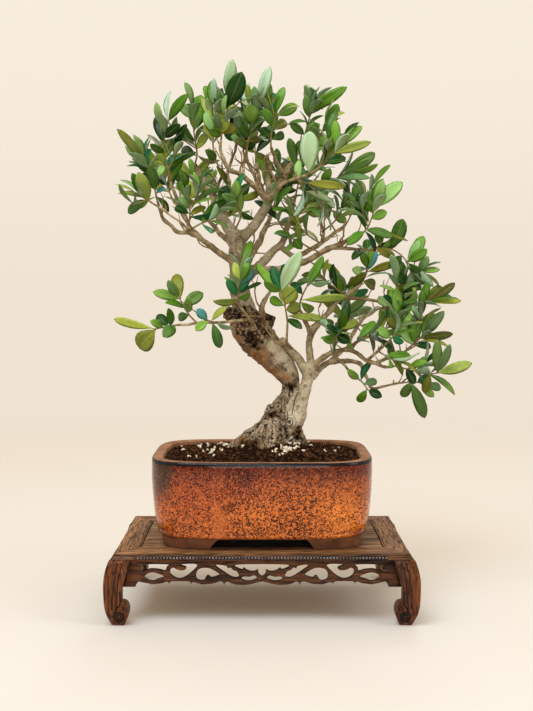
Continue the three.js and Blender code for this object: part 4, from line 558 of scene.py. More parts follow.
def quads_between(rows, sides, start=0):
    """The faces between rows of equally many points, each row closed round."""
    faces = []
    for low in range(start, start + (rows - 1) * sides, sides):
        for k in range(sides):
            after = (k + 1) % sides
            faces.append((low + k, low + sides + k, low + sides + after, low + after))
    return faces


def ring_skin(rings):
    """Points and faces of a closed skin over rings of equally many points, with a pole at each end."""
    sides = len(rings[0])
    points = [np.mean(rings[0], axis=0), *np.concatenate(rings), np.mean(rings[-1], axis=0)]
    faces = [(0, 1 + (k + 1) % sides, 1 + k) for k in range(sides)]
    faces += [(a, d, c, b) for a, b, c, d in quads_between(len(rings), sides, 1)]
    last = 1 + (len(rings) - 1) * sides
    top = len(points) - 1
    faces += [(last + k, last + (k + 1) % sides, top) for k in range(sides)]
    return points, faces


def tube(line, radii, sides):
    """A tapered tube along a line, its sections turned as little as possible from one to the next."""
    line = np.asarray(line, float)
    tangents = np.gradient(line, axis=0)
    side = square_to(np.array([0.0, 1.0, 0.02]), unit_vector(tangents[0]))
    rings = []
    for point, tangent, radius in zip(line, tangents, radii):
        along = unit_vector(tangent)
        side = square_to(side, along)
        up = np.cross(along, side)
        turns = full_turn(sides)
        rings.append(point + radius * (np.outer(np.cos(turns), side) + np.outer(np.sin(turns), up)))
    return ring_skin(rings)


def imul(a, b):
    return (a * b) & 0xFFFFFFFF


def draws(seed):
    """Seeded draws on 32-bit whole numbers, the same as in the solids."""
    state = seed & 0xFFFFFFFF

    def draw():
        nonlocal state
        state = (state + 0x6D2B79F5) & 0xFFFFFFFF
        mixed = imul(state ^ (state >> 15), state | 1)
        mixed ^= (mixed + imul(mixed ^ (mixed >> 7), mixed | 61)) & 0xFFFFFFFF
        return (mixed ^ (mixed >> 14)) / 4294967296

    return draw


# ------------------------------------------------------------------ small tools for materials


def srgb(red, green, blue):
    """A colour named by its 0 to 255 screen values, as the linear colour a shader takes."""
    def linear(value):
        share = value / 255
        return share / 12.92 if share <= 0.04045 else ((share + 0.055) / 1.055) ** 2.4
    return (linear(red), linear(green), linear(blue), 1.0)


class Wiring:
    """Adds the nodes of one tree and links them."""

    def __init__(self, tree):
        self.tree = tree

    def join(self, socket, value):
        if isinstance(value, bpy.types.NodeSocket):
            self.tree.links.new(value, socket)
        else:
            socket.default_value = value

    def add(self, kind, inputs=None, **settings):
        made = self.tree.nodes.new(kind)
        for name, value in settings.items():
            setattr(made, name, value)
        for name, value in (inputs or {}).items():
            self.join(made.inputs[name], value)
        return made

    def maths(self, operation, *values, clamp=False):
        made = self.add("ShaderNodeMath", operation=operation, use_clamp=clamp)
        for socket, value in zip(made.inputs, values):
            self.join(socket, value)
        return made.outputs[0]

    def times(self, first, second):
        return self.maths("MULTIPLY", first, second)

    def plus(self, first, second):
        return self.maths("ADD", first, second)

    def less(self, first, second, clamp=False):
        return self.maths("SUBTRACT", first, second, clamp=clamp)

    def rest(self, share):
        """What is left of 1."""
        return self.less(1.0, share)

    def off(self, value, middle):
        """How far a value is from the middle, either way."""
        return self.maths("ABSOLUTE", self.less(value, middle))

    def vector_maths(self, operation, inputs):
        return self.add("ShaderNodeVectorMath", inputs, operation=operation).outputs[0]

    def mix(self, factor, first, second, blend="MIX"):
        made = self.add("ShaderNodeMix", {0: factor, 6: first, 7: second}, data_type="RGBA", blend_type=blend)
        return made.outputs[2]

    def tinted(self, colour, by):
        return self.mix(1.0, colour, by, "MULTIPLY")

    def span(self, value, low, high):
        """0 below low, 1 above high and a smooth step between them."""
        made = self.add("ShaderNodeMapRange", {0: value, 1: low, 2: high}, interpolation_type="SMOOTHSTEP")
        return made.outputs[0]

    def noise(self, where, scale, detail=4.0, roughness=0.55, distortion=0.0):
        made = self.add("ShaderNodeTexNoise", {"Vector": where, "Scale": scale, "Detail": detail,
                                               "Roughness": roughness, "Distortion": distortion})
        return made.outputs[0]

    def cells(self, where, scale, feature="F1", randomness=1.0):
        made = self.add("ShaderNodeTexVoronoi", feature=feature)
        self.join(made.inputs["Vector"], where)
        made.inputs["Scale"].default_value = scale
        made.inputs["Randomness"].default_value = randomness
        return made.outputs["Distance"]

    def stretched(self, where, scale, location=(0, 0, 0)):
        made = self.add("ShaderNodeMapping", {"Vector": where, "Scale": scale, "Location": location})
        return made.outputs[0]

    def drawn_vector(self, low, high, seed):
        inputs = {"Min": low, "Max": high, "Seed": seed}
        return self.add("FunctionNodeRandomValue", inputs, data_type="FLOAT_VECTOR").outputs[0]

    def repeat(self, out, finish, inputs):
        """Ends a geometry tree with what is set on points, made real and given its finish."""
        row = self.add("GeometryNodeInstanceOnPoints", inputs)
        real = self.add("GeometryNodeRealizeInstances", {"Geometry": row.outputs[0]})
        finished = self.add("GeometryNodeSetMaterial", {"Geometry": real.outputs[0], "Material": finish})
        self.join(out["Geometry"], finished.outputs[0])

    def object_place(self):
        return self.add("ShaderNodeTexCoord").outputs["Object"]

    def axis(self, where, name):
        return self.add("ShaderNodeSeparateXYZ", {"Vector": where}).outputs[name]

    def mark(self, name):
        return self.add("ShaderNodeAttribute", attribute_name=name).outputs["Fac"]

    def bump(self, height, distance, strength=1.0):
        made = self.add("ShaderNodeBump", {"Height": height, "Distance": distance, "Strength": strength})
        return made.outputs[0]

    def group(self, tree, **inputs):
        made = self.tree.nodes.new("ShaderNodeGroup")
        made.node_tree = tree
        for name, value in inputs.items():
            self.join(made.inputs[name.replace("_", " ").capitalize()], value)
        return made.outputs


def material(name, constants):
    """A new material with its own Principled shader, the wiring to finish it and the place on the piece."""
    made = bpy.data.materials.new(name)
    made.use_nodes = True
    made.node_tree.nodes.clear()
    wiring = Wiring(made.node_tree)
    shader = wiring.add("ShaderNodeBsdfPrincipled", constants)
    output = wiring.add("ShaderNodeOutputMaterial")
    wiring.join(output.inputs["Surface"], shader.outputs["BSDF"])
    return made, wiring, shader.inputs, wiring.object_place()


def shader_group(name, inputs, outputs):
    """An empty shader node group with named sockets, and the wiring to fill it."""
    tree = bpy.data.node_groups.new(name, "ShaderNodeTree")
    for socket, kind in inputs.items():
        tree.interface.new_socket(name=socket, in_out="INPUT", socket_type=kind)
    for socket, kind in outputs.items():
        tree.interface.new_socket(name=socket, in_out="OUTPUT", socket_type=kind)
    wiring = Wiring(tree)
    return tree, wiring, wiring.add("NodeGroupInput").outputs, wiring.add("NodeGroupOutput").inputs


FLOAT = "NodeSocketFloat"
VECTOR = "NodeSocketVector"
COLOUR = "NodeSocketColor"
WHOLE = "NodeSocketInt"
FINISH = "NodeSocketMaterial"


def mottle_group():
    """Uneven colour and a fine uneven height, for anything grown, fired or crumbled."""
    tree, w, given, out = shader_group("mottle", {"Where": VECTOR, "Scale": FLOAT, "Softness": FLOAT},
                                       {"Mask": FLOAT, "Height": FLOAT})
    broad = w.noise(given["Where"], given["Scale"], detail=3.0)
    fine = w.noise(given["Where"], w.times(given["Scale"], 5.3), detail=5.0, roughness=0.65)
    low = w.less(0.5, given["Softness"])
    high = w.plus(0.5, given["Softness"])
    w.join(out["Mask"], w.span(broad, low, high))
    w.join(out["Height"], w.plus(w.times(broad, 0.6), w.times(fine, 0.4)))
    return tree


def grain_group():
    """Hardwood: growth bands and fine open pores along X of the given place."""
    tree, w, given, out = shader_group("wood_grain", {"Where": VECTOR, "Dark": COLOUR, "Light": COLOUR},
                                       {"Colour": COLOUR, "Height": FLOAT, "Pores": FLOAT})
    bands_at = w.stretched(given["Where"], (3.0, 42.0, 42.0))
    bands = w.noise(bands_at, 1.6, detail=5.0, roughness=0.6, distortion=1.2)
    streaks = w.noise(w.stretched(given["Where"], (14.0, 420.0, 420.0)), 1.5, detail=3.0, roughness=0.6)
    pores_at = w.stretched(given["Where"], (50.0, 900.0, 900.0))
    pores_seen = w.span(w.noise(pores_at, 1.0, detail=2.0), 0.53, 0.6)
    tone = w.plus(w.times(bands, 0.55), w.times(streaks, 0.45))
    colour = w.mix(w.span(tone, 0.36, 0.66), given["Dark"], given["Light"])
    pore_colour = w.tinted(given["Dark"], (0.28, 0.26, 0.25, 1.0))
    w.join(out["Colour"], w.mix(w.times(pores_seen, 0.85), colour, pore_colour))
    w.join(out["Height"], w.less(w.times(streaks, 0.5), pores_seen))
    w.join(out["Pores"], pores_seen)
    return tree


MOTTLE = mottle_group()
GRAIN = grain_group()


def mottled(w, where, scale, softness):
    return w.group(MOTTLE, Where=where, Scale=scale, Softness=softness)


# ------------------------------------------------------------------ leaves and twigs

LEAF_TONES = {
    "dk": (srgb(26, 68, 9), 0.0), "gn": (srgb(72, 114, 20), 0.0), "gy": (srgb(102, 142, 68), 0.2),
    "mt": (srgb(148, 184, 150), 1.0), "yl": (srgb(120, 130, 44), 0.0), "ob": (srgb(104, 108, 24), 0.0),
    "tl": (srgb(22, 88, 50), 0.0), "bl": (srgb(44, 96, 98), 0.0), "pl": (srgb(136, 162, 118), 0.75),
}
BLEACHED = srgb(136, 158, 84)
BLEACHING_TONES = {"dk", "gn", "gy", "yl", "ob"}
PALE_TONES = {"mt", "pl"}
FILLER_TONES = ["dk", "dk", "dk", "gn", "gn", "gn", "gn", "tl", "ob", "ob", "yl"]
OPEN_SPRAYS = {"left_twig_end", "left_twig_up", "left_twig_mid", "pale_drop", "front", "front_right",
               "low_end"}

# Openings in the crown's front elevation that added leaves keep clear of: left, top, right, bottom.
OPENINGS = [(154, 60, 195, 103), (196, 60, 216, 84), (244, 60, 262, 84), (268, 60, 300, 92),
            (345, 249, 382, 270), (396, 246, 440, 271), (340, 386, 392, 410), (106, 198, 160, 224),
            (106, 140, 126, 168), (386, 186, 420, 222), (350, 300, 362, 310), (280, 92, 300, 100)]
# Shoots that grow inside the crown: pairs of leaves, and the line (across, down, depth) from the limb.
INNER_SHOOTS = {
    "arm_up": [(3, [(320, 243, 24), (309, 236, 14), (299, 226, 4), (292, 214, -4)]),
               (3, [(322, 232, 22), (334, 222, 12), (342, 210, 4), (346, 198, -2)]),
               (2, [(311, 249, 22), (303, 244, 10), (296, 240, 0), (289, 238, -8)])],
    "rise_end": [(3, [(289, 224, 18), (298, 216, 12), (305, 207, 4), (311, 198, -2)]),
                 (2, [(286, 232, 16), (280, 224, 8), (276, 214, 2), (275, 204, -4)])],
    "arm_back": [(3, [(336, 232, 32), (330, 222, 34), (324, 211, 34), (320, 200, 32)])],
    "right_fan_low": [(2, [(308, 183, -38), (316, 192, -34), (322, 202, -30), (325, 212, -27)])],
    "mid_back_end": [(3, [(342, 322, 18), (352, 320, 26), (362, 326, 30), (371, 334, 30)])],
    "side_inner": [(2, [(346, 350, -21), (354, 343, -26), (363, 338, -30), (372, 337, -32)])],
    "rear_limb_end": [(3, [(266, 228, 41), (276, 224, 44), (286, 226, 44), (295, 230, 43)])],
    "rear_left_end": [(3, [(214, 227, 44), (222, 220, 40), (230, 214, 34), (236, 206, 28)])],
    "side_up": [(3, [(346, 296, 24), (338, 290, 18), (329, 284, 10), (321, 276, 4)])],
    "front_right": [(2, [(303, 317, -20), (313, 320, -24), (324, 326, -26), (333, 333, -28)])],
    "left_inner": [(3, [(190, 230, -16), (200, 224, -22), (210, 220, -26), (219, 214, -29)])],
    "mid_front": [(2, [(378, 351, -32), (386, 356, -38), (395, 361, -42)])],
}

PAINTED_LIGHT_WAY = (-0.45, -0.45, 0.77)       # the way that leaves are painted lighter when they face it and darker when they face away: painted light and shade
LEAF_ROWS = np.array([0.0, 0.07, 0.19, 0.35, 0.52, 0.69, 0.83, 0.93, 1.0])
LEAF_HALF_WIDTHS = np.array([0.09, 0.13, 0.5, 0.84, 1.0, 0.97, 0.79, 0.5, 0.07])
LEAF_COLUMNS = np.array([-1.0, -0.5, 0.0, 0.5, 1.0])
LEAF_BREADTH = 1.14          # a leaf is this much broader than the solid that it stands for
LEAF_ARCH = 0.07             # of its length
LEAF_ARCHING = (0.6, 1.7)
LEAF_KEEL = (0.1, 0.42)      # how far its sides rise from the rib, of its half width
LEAF_WAVE = 0.1
LEAF_TWIST = 0.35
UNTWISTED_AT = 0.3
LEAF_FULLEST = (0.88, 1.16)  # below 1 its widest place moves to the tip
DARKEST_LEAF = 0.52
LEAF_SHADES = 2.1            # how much lighter than that the lightest is
LIGHTEST_LEAF = 2.0
PALE_LEAF_SHADE = 0.6
PALE_LEAF_SHADES = 0.38
LEAF_WARMTH = (-0.07, 0.1)
BLEACHED_FROM = 1.3
BLEACHING = 0.42
LEAF_OPENING = (0.6, 1.05)   # between a shoot and its leaves
FILLER_LENGTH = (22, 36)
FILLER_BREADTH = (0.27, 0.37)
SIDE_SHOOT_REACH = (14, 30)
SIDE_SHOOT_LEAN = (0.7, 1.2)
SIDE_SHOOT_TURN = 1.9
SIDE_SHOOT_THICKNESS = 0.8   # of its twig's
PAIRED_LEAF_WIDTH = 8.5
LEAF_RIB_THICKNESS = 0.42
LEAF_WEB_THICKNESS = 0.26
DEPTH_TRIES = (0, 8, -8, 16, -16, 25, -25, 34, -34)


def leaf_frame(foot, end, roll):
    """Direction along a leaf, out of its face and across it, with its length."""
    along = end - foot
    length = np.linalg.norm(along)
    along = along / length
    face = side_way([0.0, -1.0, 0.0], along, roll)
    return along, face, np.cross(face, along), length


def leaf(shell, foot, along, face, across, length, width, tone, chance):
    """One leaf: keeled along its rib, arched, a little waved and twisted, and closed underneath."""
    colour, underside = LEAF_TONES[tone]
    keel = chance.uniform(*LEAF_KEEL)
    wave = chance.uniform(0.0, LEAF_WAVE)
    phase = chance.uniform(0, 2 * math.pi)
    twist = chance.uniform(-LEAF_TWIST, LEAF_TWIST)
    fullest = chance.uniform(*LEAF_FULLEST)
    arch = LEAF_ARCH * length * chance.uniform(*LEAF_ARCHING)
    rows = LEAF_ROWS[:, None] ** fullest
    half = (LEAF_HALF_WIDTHS * LEAF_BREADTH * width / 2)[:, None]
    out = LEAF_COLUMNS[None, :]
    side_lift = half * (keel * np.abs(out) ** 1.3 + wave * out**2 * np.sin(phase + 7 * rows) * np.sign(out))
    lean = twist * (rows - UNTWISTED_AT)
    sideways = half * out * np.cos(lean) - side_lift * np.sin(lean)
    lifted = half * out * np.sin(lean) + side_lift * np.cos(lean) + arch * np.sin(math.pi * rows)
    middle = (foot + np.multiply.outer(rows * length, along) + np.multiply.outer(sideways, across)
              + np.multiply.outer(lifted, face))
    web = np.where(out == 0, LEAF_RIB_THICKNESS, LEAF_WEB_THICKNESS) * np.minimum(1.0, half / 1.4)
    top = middle.reshape(-1, 3).copy()
    inner_rows = range(1, len(LEAF_ROWS) - 1)
    inner_columns = range(1, len(LEAF_COLUMNS) - 1)
    columns = len(LEAF_COLUMNS)
    under = {}
    points = list(top)
    for i in inner_rows:
        for j in inner_columns:
            under[i, j] = len(points)
            points.append(middle[i, j] - face * web[i, j])
            points[i * columns + j] = middle[i, j] + face * web[i, j]
    faces, marks, uvs = [], [], []
    for lower_face in (0, 1):
        for i in range(len(LEAF_ROWS) - 1):
            for j in range(columns - 1):
                corners = [(i, j), (i, j + 1), (i + 1, j + 1), (i + 1, j)]
                if lower_face:
                    corners.reverse()
                    faces.append([under.get(c, c[0] * columns + c[1]) for c in corners])
                else:
                    faces.append([c[0] * columns + c[1] for c in corners])
                marks.append(abs(underside - lower_face))
                uvs.extend((LEAF_ROWS[c[0]], 0.5 + 0.5 * LEAF_COLUMNS[c[1]]) for c in corners)
    shade = DARKEST_LEAF + LEAF_SHADES * chance.random() ** 1.1
    if tone in PALE_TONES:
        shade = PALE_LEAF_SHADE + PALE_LEAF_SHADES * shade
    warm = chance.uniform(*LEAF_WARMTH)
    bleach = BLEACHING * max(shade - BLEACHED_FROM, 0.0) if tone in BLEACHING_TONES else 0.0
    shade = min(shade, LIGHTEST_LEAF) * (1 - bleach)
    tint = [own * shade * (1 + by * warm) + faded * bleach
            for own, faded, by in zip(colour, BLEACHED, (2, 0.5, -1))]
    tint.append(1.0)
    shell.add(points, faces, 0, {"underside": marks, "tint": [tint] * len(faces)}, uvs)


def seat_on(twig, across, down):
    """The place on a twig that lies nearest to an elevation point."""
    best = None
    for i, (a, b) in enumerate(zip(twig, twig[1:])):
        run = (b[0] - a[0]) ** 2 + (b[1] - a[1]) ** 2
        raw = ((across - a[0]) * (b[0] - a[0]) + (down - a[1]) * (b[1] - a[1])) / run
        part = min(max(raw, 0.35 if i == 0 else 0.0), 0.97 if i == len(twig) - 2 else 1.0)
        seat = [start + part * (end - start) for start, end in zip(a, b)]
        away = (across - seat[0]) ** 2 + (down - seat[1]) ** 2
        if best is None or away < best[0]:
            best = (away, seat)
    return best[1]


def paired_leaves(twig, pairs, draw):
    """Leaves of a spray that has no list of its own, in the same draws as its solid."""
    leaves = []
    for k in range(pairs):
        spot = (k + 0.8) / pairs * (len(twig) - 1)
        i = min(int(spot), len(twig) - 2)
        part = min(spot - i, 0.97)
        seat = [a + part * (b - a) for a, b in zip(twig[i], twig[i + 1])]
        for side in (-1, 1):
            spread = side * (0.5 + 0.6 * draw())
            size = 24 + 9 * draw()
            lean = math.atan2(twig[i + 1][0] - twig[i][0], twig[i][1] - twig[i + 1][1]) + spread
            tip = (seat[0] + size * math.sin(lean), seat[1] - size * math.cos(lean))
            tone = FILLER_TONES[(3 * k + side) % len(FILLER_TONES)]
            leaves.append((*seat[:2], *tip, PAIRED_LEAF_WIDTH, tone))
    return leaves


def settled_end(corners, tip, depth, lean):
    """Where the solid leaf's tip came to lie, out of the depths that it could be leaned to."""
    ends = [placed(tip[0], tip[1], depth + lean + shift) for shift in DEPTH_TRIES]
    return min(ends, key=lambda end: corners.find(end)[2])


def drawn_leaves(shell, name, number, chance):
    """The leaves that the solid spray has, on the same seats and to the same tips."""
    twig, leaves = SPRAYS[name]
    corners = point_tree(in_millimetres(mesh_points(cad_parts["spray_" + name].data)))
    draw = draws(DRAW_SEED + number)
    for u0, v0, u1, v1, seen, tone in leaves or paired_leaves(twig, 4, draw):
        seat = seat_on(twig, u0, v0)
        width = max(seen * UNIT, LEAF_LEAST_WIDTH)
        edge_on = math.acos(min(seen * UNIT / width, 1.0))
        roll = (-1 if draw() < 0.5 else 1) * (edge_on + 0.25 * draw())
        lean = 30 * (draw() - 0.5)
        foot = placed(*seat)
        end = settled_end(corners, (u1, v1), seat[2], lean)
        along, face, across, length = leaf_frame(foot, end, roll)
        leaf(shell, foot, along, face, across, length, width, tone, chance)


def inside_box(point, margin=4.0):
    low, high = in_millimetres(CAD_LOW), in_millimetres(CAD_HIGH)
    return bool(np.all(point > low + margin) and np.all(point < high - margin))


def drawn_place(point):
    """Where a point lies in the front elevation: across and down."""
    unit = UNIT * (1 + point[1] / EYE_DISTANCE)
    return CENTRE_ACROSS + point[0] / unit, EYE_LEVEL + (EYE_HEIGHT - point[2]) / unit


def in_opening(point):
    """Whether a point lies in one of the openings that the crown keeps clear."""
    across, down = drawn_place(point)
    return any(left < across < right and top < down < bottom for left, top, right, bottom in OPENINGS)


def leafy_shoot(shell, line, pairs, chance, start=0.25, last=True):
    """Crossed pairs of leaves along a shoot, each pair a quarter turn from the last, and one at its end."""
    line = np.asarray(line, float)
    turn = chance.uniform(0, math.pi)
    spots = [start + (0.97 - start) * (k + 0.5) / pairs for k in range(pairs)]
    for spot in spots:
        place = spot * (len(line) - 1)
        i = min(int(place), len(line) - 2)
        foot = line[i] + (place - i) * (line[i + 1] - line[i])
        along_shoot = unit_vector(line[i + 1] - line[i])
        side = square_to(side_way([0.3, -1.0, 0.2], along_shoot, turn), along_shoot)
        for sign in (-1, 1):
            opening = chance.uniform(*LEAF_OPENING)
            along = unit_vector(along_shoot * math.cos(opening) + side * sign * math.sin(opening)
                                + np.array([0.0, 0.0, chance.uniform(-0.15, 0.25)]))
            add_filler(shell, foot, along, along_shoot, chance)
        turn += math.pi / 2 + chance.uniform(-0.25, 0.25)
    if last:
        add_filler(shell, line[-1], unit_vector(line[-1] - line[-2]), np.array([0.0, -0.3, 1.0]), chance)


def add_filler(shell, foot, along, up, chance):
    length = chance.uniform(*FILLER_LENGTH)
    width = length * chance.uniform(*FILLER_BREADTH)
    if not inside_box(foot + along * length) or in_opening(foot + along * length):
        return
    face = square_to(up + np.array([0.0, -0.25, 0.5]), along)
    leaf(shell, foot, along, face, np.cross(face, along), length, width, chance.choice(FILLER_TONES), chance)


def twig_shape(shell, line, first, last):
    radii = np.linspace(first, last, len(line))
    points, faces = tube(line, radii, TWIG_SIDES)
    shell.add(points, faces, 1, {"underside": 0.0, "tint": [(0.5, 0.5, 0.5, 1.0)] * len(faces)})


def side_shoot(shell, line, chance):
    """A short shoot that leaves the twig, with its own leaves."""
    i = chance.randrange(1, len(line) - 1)
    along = unit_vector(line[i + 1] - line[i])
    out = side_way([0.1, 1.0, 0.0], along, chance.uniform(-SIDE_SHOOT_TURN, SIDE_SHOOT_TURN))
    reach = chance.uniform(*SIDE_SHOOT_REACH)
    bend = unit_vector(along + out * chance.uniform(*SIDE_SHOOT_LEAN))
    tip = line[i] + bend * reach + np.array([0.0, 0.0, 0.12 * reach])
    if not inside_box(tip, 20.0):
        return
    shoot = smooth_line([line[i], line[i] + bend * reach * 0.55, tip], 3)
    twig_shape(shell, shoot, TWIG_RADIUS * SIDE_SHOOT_THICKNESS, TWIG_TIP_RADIUS * SIDE_SHOOT_THICKNESS)
    leafy_shoot(shell, shoot, 2, chance)


def drawn_twig(shell, drawn):
    """A twig along points of the front elevation, and its line."""
    line = smooth_line([placed(*point) for point in drawn], 3)
    twig_shape(shell, line, TWIG_RADIUS, TWIG_TIP_RADIUS)
    return line


def foliage(name, number, finishes):
    """One leafy spray in place of its solid."""
    chance = random.Random(DRAW_SEED * 3 + number)
    shell = Shell()
    twig, leaves = SPRAYS[name]
    line = drawn_twig(shell, twig)
    drawn_leaves(shell, name, number, chance)
    for pairs, drawn in INNER_SHOOTS.get(name, []):
        leafy_shoot(shell, drawn_twig(shell, drawn), pairs, chance)
    if name not in OPEN_SPRAYS:
        leafy_shoot(shell, line, 2 if leaves else 3, chance)
        side_shoot(shell, line, chance)
    mesh = mesh_of("foliage_" + name, shell.points, shell.faces)
    mesh.polygons.foreach_set("material_index", shell.materials)
    mark(mesh, "underside", shell.face_marks["underside"], domain="FACE")
    mark(mesh, "tint", shell.face_marks["tint"], "FLOAT_COLOR", "FACE")
    uv = mesh.uv_layers.new(name="blade")
    uv.data.foreach_set("uv", np.array(shell.uvs, float).ravel())
    return put("foliage_" + name, mesh, finishes, ["spray_" + name])


def leaf_material():
    made, w, shader, where = material("olive_leaf", {"Specular IOR Level": 0.24})
    tint = w.add("ShaderNodeAttribute", attribute_name="tint").outputs["Color"]
    under = w.mark("underside")
    uneven = mottled(w, where, 150.0, 0.3)
    blade_uv = w.add("ShaderNodeUVMap", uv_map="blade").outputs[0]
    along = w.axis(blade_uv, "X")
    off_rib = w.off(w.axis(blade_uv, "Y"), 0.5)
    rib = w.rest(w.span(off_rib, 0.006, 0.034))
    vein_phase = w.plus(w.times(along, 75.0), w.times(off_rib, -46.0))
    veins = w.times(w.span(w.maths("SINE", vein_phase), 0.55, 1.0), 0.3)
    foot = w.rest(w.span(along, 0.0, 0.45))
    warmed = w.mix(w.times(foot, 0.35), tint, w.tinted(tint, (1.5, 1.3, 0.8, 1.0)))
    shaded = w.mix(w.times(uneven["Mask"], 0.6), warmed, (0.5, 0.6, 0.4, 1.0), blend="MULTIPLY")
    veined = w.mix(w.times(veins, 0.4), shaded, w.tinted(shaded, (1.7, 1.6, 1.3, 1.0)))
    ribbed = w.mix(w.times(rib, 0.4), veined, srgb(150, 170, 90))
    edged = w.mix(w.times(w.span(off_rib, 0.462, 0.5), 0.45), ribbed, srgb(150, 158, 80))
    pale = w.mix(w.times(rib, 0.5), w.mix(uneven["Mask"], srgb(140, 170, 128), srgb(182, 208, 176)),
                 srgb(206, 216, 170))
    blade = w.mix(w.times(under, 0.6), edged, pale)
    # Painted light and shade: a blade is lighter and bluer where it faces up, left and to the front, and
    # darker where it faces away.
    normal = w.add("ShaderNodeNewGeometry").outputs["Normal"]
    facing_painted_light = w.add("ShaderNodeVectorMath", {0: normal, 1: PAINTED_LIGHT_WAY}, operation="DOT_PRODUCT").outputs["Value"]
    painted_light_blade = w.tinted(blade, (1.3, 1.38, 1.7, 1.0))
    dull = w.tinted(blade, (0.67, 0.69, 0.57, 1.0))
    w.join(shader["Base Color"], w.mix(w.span(facing_painted_light, -0.35, 0.95), dull, painted_light_blade))
    w.join(shader["Roughness"], w.plus(w.times(under, 0.3),
                                        w.plus(0.17, w.times(uneven["Height"], 0.2))))
    relief = w.less(w.times(uneven["Height"], 0.7), w.plus(rib, veins))
    w.join(shader["Normal"], w.bump(relief, 0.00025, 0.7))
    return made


def twig_material():
    made, w, shader, where = material("young_bark", {"Roughness": 0.75})
    uneven = mottled(w, where, 210.0, 0.25)
    tan = w.mix(uneven["Mask"], srgb(100, 78, 44), srgb(168, 142, 92))
    w.join(shader["Base Color"], w.mix(w.span(uneven["Height"], 0.54, 0.66), tan, srgb(84, 54, 28)))
    w.join(shader["Normal"], w.bump(uneven["Height"], 0.0004, 0.7))
    return made


# ------------------------------------------------------------------ wood

TRUNK_VOXEL = 0.8
LIMB_VOXEL = 1.0
THICK_LIMB = 2.7          # a limb that starts thicker than this is one skin with its neighbours
LIMB_STEPS = 6
SWAY_LENGTH = 15.0
MOST_SWAY = 1.5
STRAIGHT_ENDS = 12.0      # a limb sways less than this near its ends
JOINT_SPACING = 15.0
JOINT_HALF_LENGTH = 1.7
JOINT_SWELLING = 0.2
THICK_JOINT_SWELLING = 0.07
SKIN_SIDES = 16
THIN_LIMB_SIDES = 8
TWIG_SIDES = 6
BROAD_LUMPS = 15.0
BROAD_LUMP_HEIGHT = 1.8
SMALL_LUMPS = 6.5
SMALL_LUMP_HEIGHT = 0.8
WIDE_FURROWS = 5.2
NARROW_FURROWS = 2.3
FURROW_DRAWING = 0.26     # below 1 the furrows are drawn out along the limb
FURROW_DEPTHS = (0.3, 1.2)        # on any wood, and added by full age
ROUGHNESS_SCALE = 2.4
ROUGHNESSES = (0.12, 0.34)        # the same
SEAM_DEPTH = 0.9
SEAM_WIDTH = 1.1
WARM_IS_SMOOTH_FROM = 230
BURL_CRUMBS = 4.6
FULL_AGE_RADIUS = 14.0    # bark is fully furrowed on wood as thick as this
TRUNK_PARTS = ["trunk", "leader", "root_left", "root_front", "root_right", "root_back", "root_back_right",
               "side_stem", "burl_low", "burl_left", "burl_right", "stub", "crotch_limb"]
SMOOTH_BARK = {"side_stem": 1.0, "crotch_limb": 1.0, "leader": 0.4, "stub": 0.6, "trunk": 0.0,
               "root_left": 0.0, "root_front": 0.0, "root_right": 0.0, "root_back": 0.0,
               "root_back_right": 0.0, "burl_low": 0.0, "burl_left": 0.0, "burl_right": 0.0}
LIMB_SMOOTHNESS = 0.75
THIN_LIMB_MARKS = {"age": 0.25, "crack": 0, "hollow": 0, "warm": 0, "ash": 0, "burl": 0, "smooth": 1}
SLIMMED_LIMBS = {"side_mid": 0.8, "side_low": 0.8, "side_far": 0.86, "side_up": 0.88, "side_rear": 0.85,
                 "side_mid_up": 0.86}      # share of the solid's thickness that these have under their leaves

# Marks on the trunk, seen from the front: across, down, radius in mm, then what each needs.
# Hollows: push inwards, shade.
HOLLOWS = [(289.6, 387.6, 3.2, 6.5, 1.0), (293.6, 389.0, 3.2, 6.5, 1.0), (285.6, 386.0, 1.7, 1.6, 0.9),
           (296.4, 387.0, 1.5, 1.2, 0.9), (286.2, 429, 2.4, 4.5, 1.0), (287.2, 433, 2.8, 5.5, 1.0),
           (288.6, 437.5, 3.2, 6.0, 1.0), (298.5, 428, 1.8, 3.5, 0.9), (300.0, 433, 2.2, 4.0, 1.0),
           (297.5, 438.5, 2.4, 4.5, 1.0), (293.2, 434.5, 1.6, 2.5, 0.8), (244, 309, 2.4, 2.8, 1.0),
           (254, 303, 2.4, 2.6, 1.0), (268, 309, 2.8, 3.2, 1.0), (271, 319, 2.4, 2.8, 1.0),
           (266, 327, 2.6, 2.8, 1.0), (239, 315, 2.2, 2.2, 0.9), (254, 346, 2.8, 2.4, 1.0),
           (247, 341, 2.0, 2.0, 0.9), (262, 342, 2.2, 2.0, 0.9), (258, 349, 1.8, 1.6, 0.9),
           (286, 370, 2.0, 1.2, 0.8), (270, 416, 2.4, 1.8, 0.9), (275, 413.5, 2.6, 1.8, 0.9),
           (265, 418, 2.0, 1.2, 0.7), (279, 418, 1.6, 1.2, 0.8)]
BUMPS = [(309.5, 408, 5.0, 3.2), (263, 408, 6.0, 1.6), (226, 312, 7.0, 2.4), (240, 336, 9.0, 2.0),
         (258, 344, 9.0, 2.0), (291, 382, 5.0, 2.2), (247, 245, 6.0, 1.6), (230, 242, 5.0, 1.6),
         (276, 430, 9.0, 2.0), (262, 437, 8.0, 2.0), (250, 326, 8.0, 1.6), (268, 322, 7.0, 1.8),
         (281, 352, 8.0, 1.2), (294, 424, 6.0, 1.6)]
RING_KNOTS = [(289.4, 422, 8.0, 1.0), (267, 409, 6.4, 1.0), (277.8, 406.4, 5.6, 0.9), (305, 386, 3.6, 0.6),
              (311, 375, 3.4, 0.6), (297.5, 407, 3.4, 0.6), (298, 394, 2.8, 0.5), (303, 399, 2.4, 0.4)]
RING_WIDTH = 3.0
WARM_SPOTS = [(258, 358, 17), (272, 372, 13), (286, 376, 8), (236, 336, 11), (232, 326, 9), (243, 441, 8),
              (252, 446, 7)]
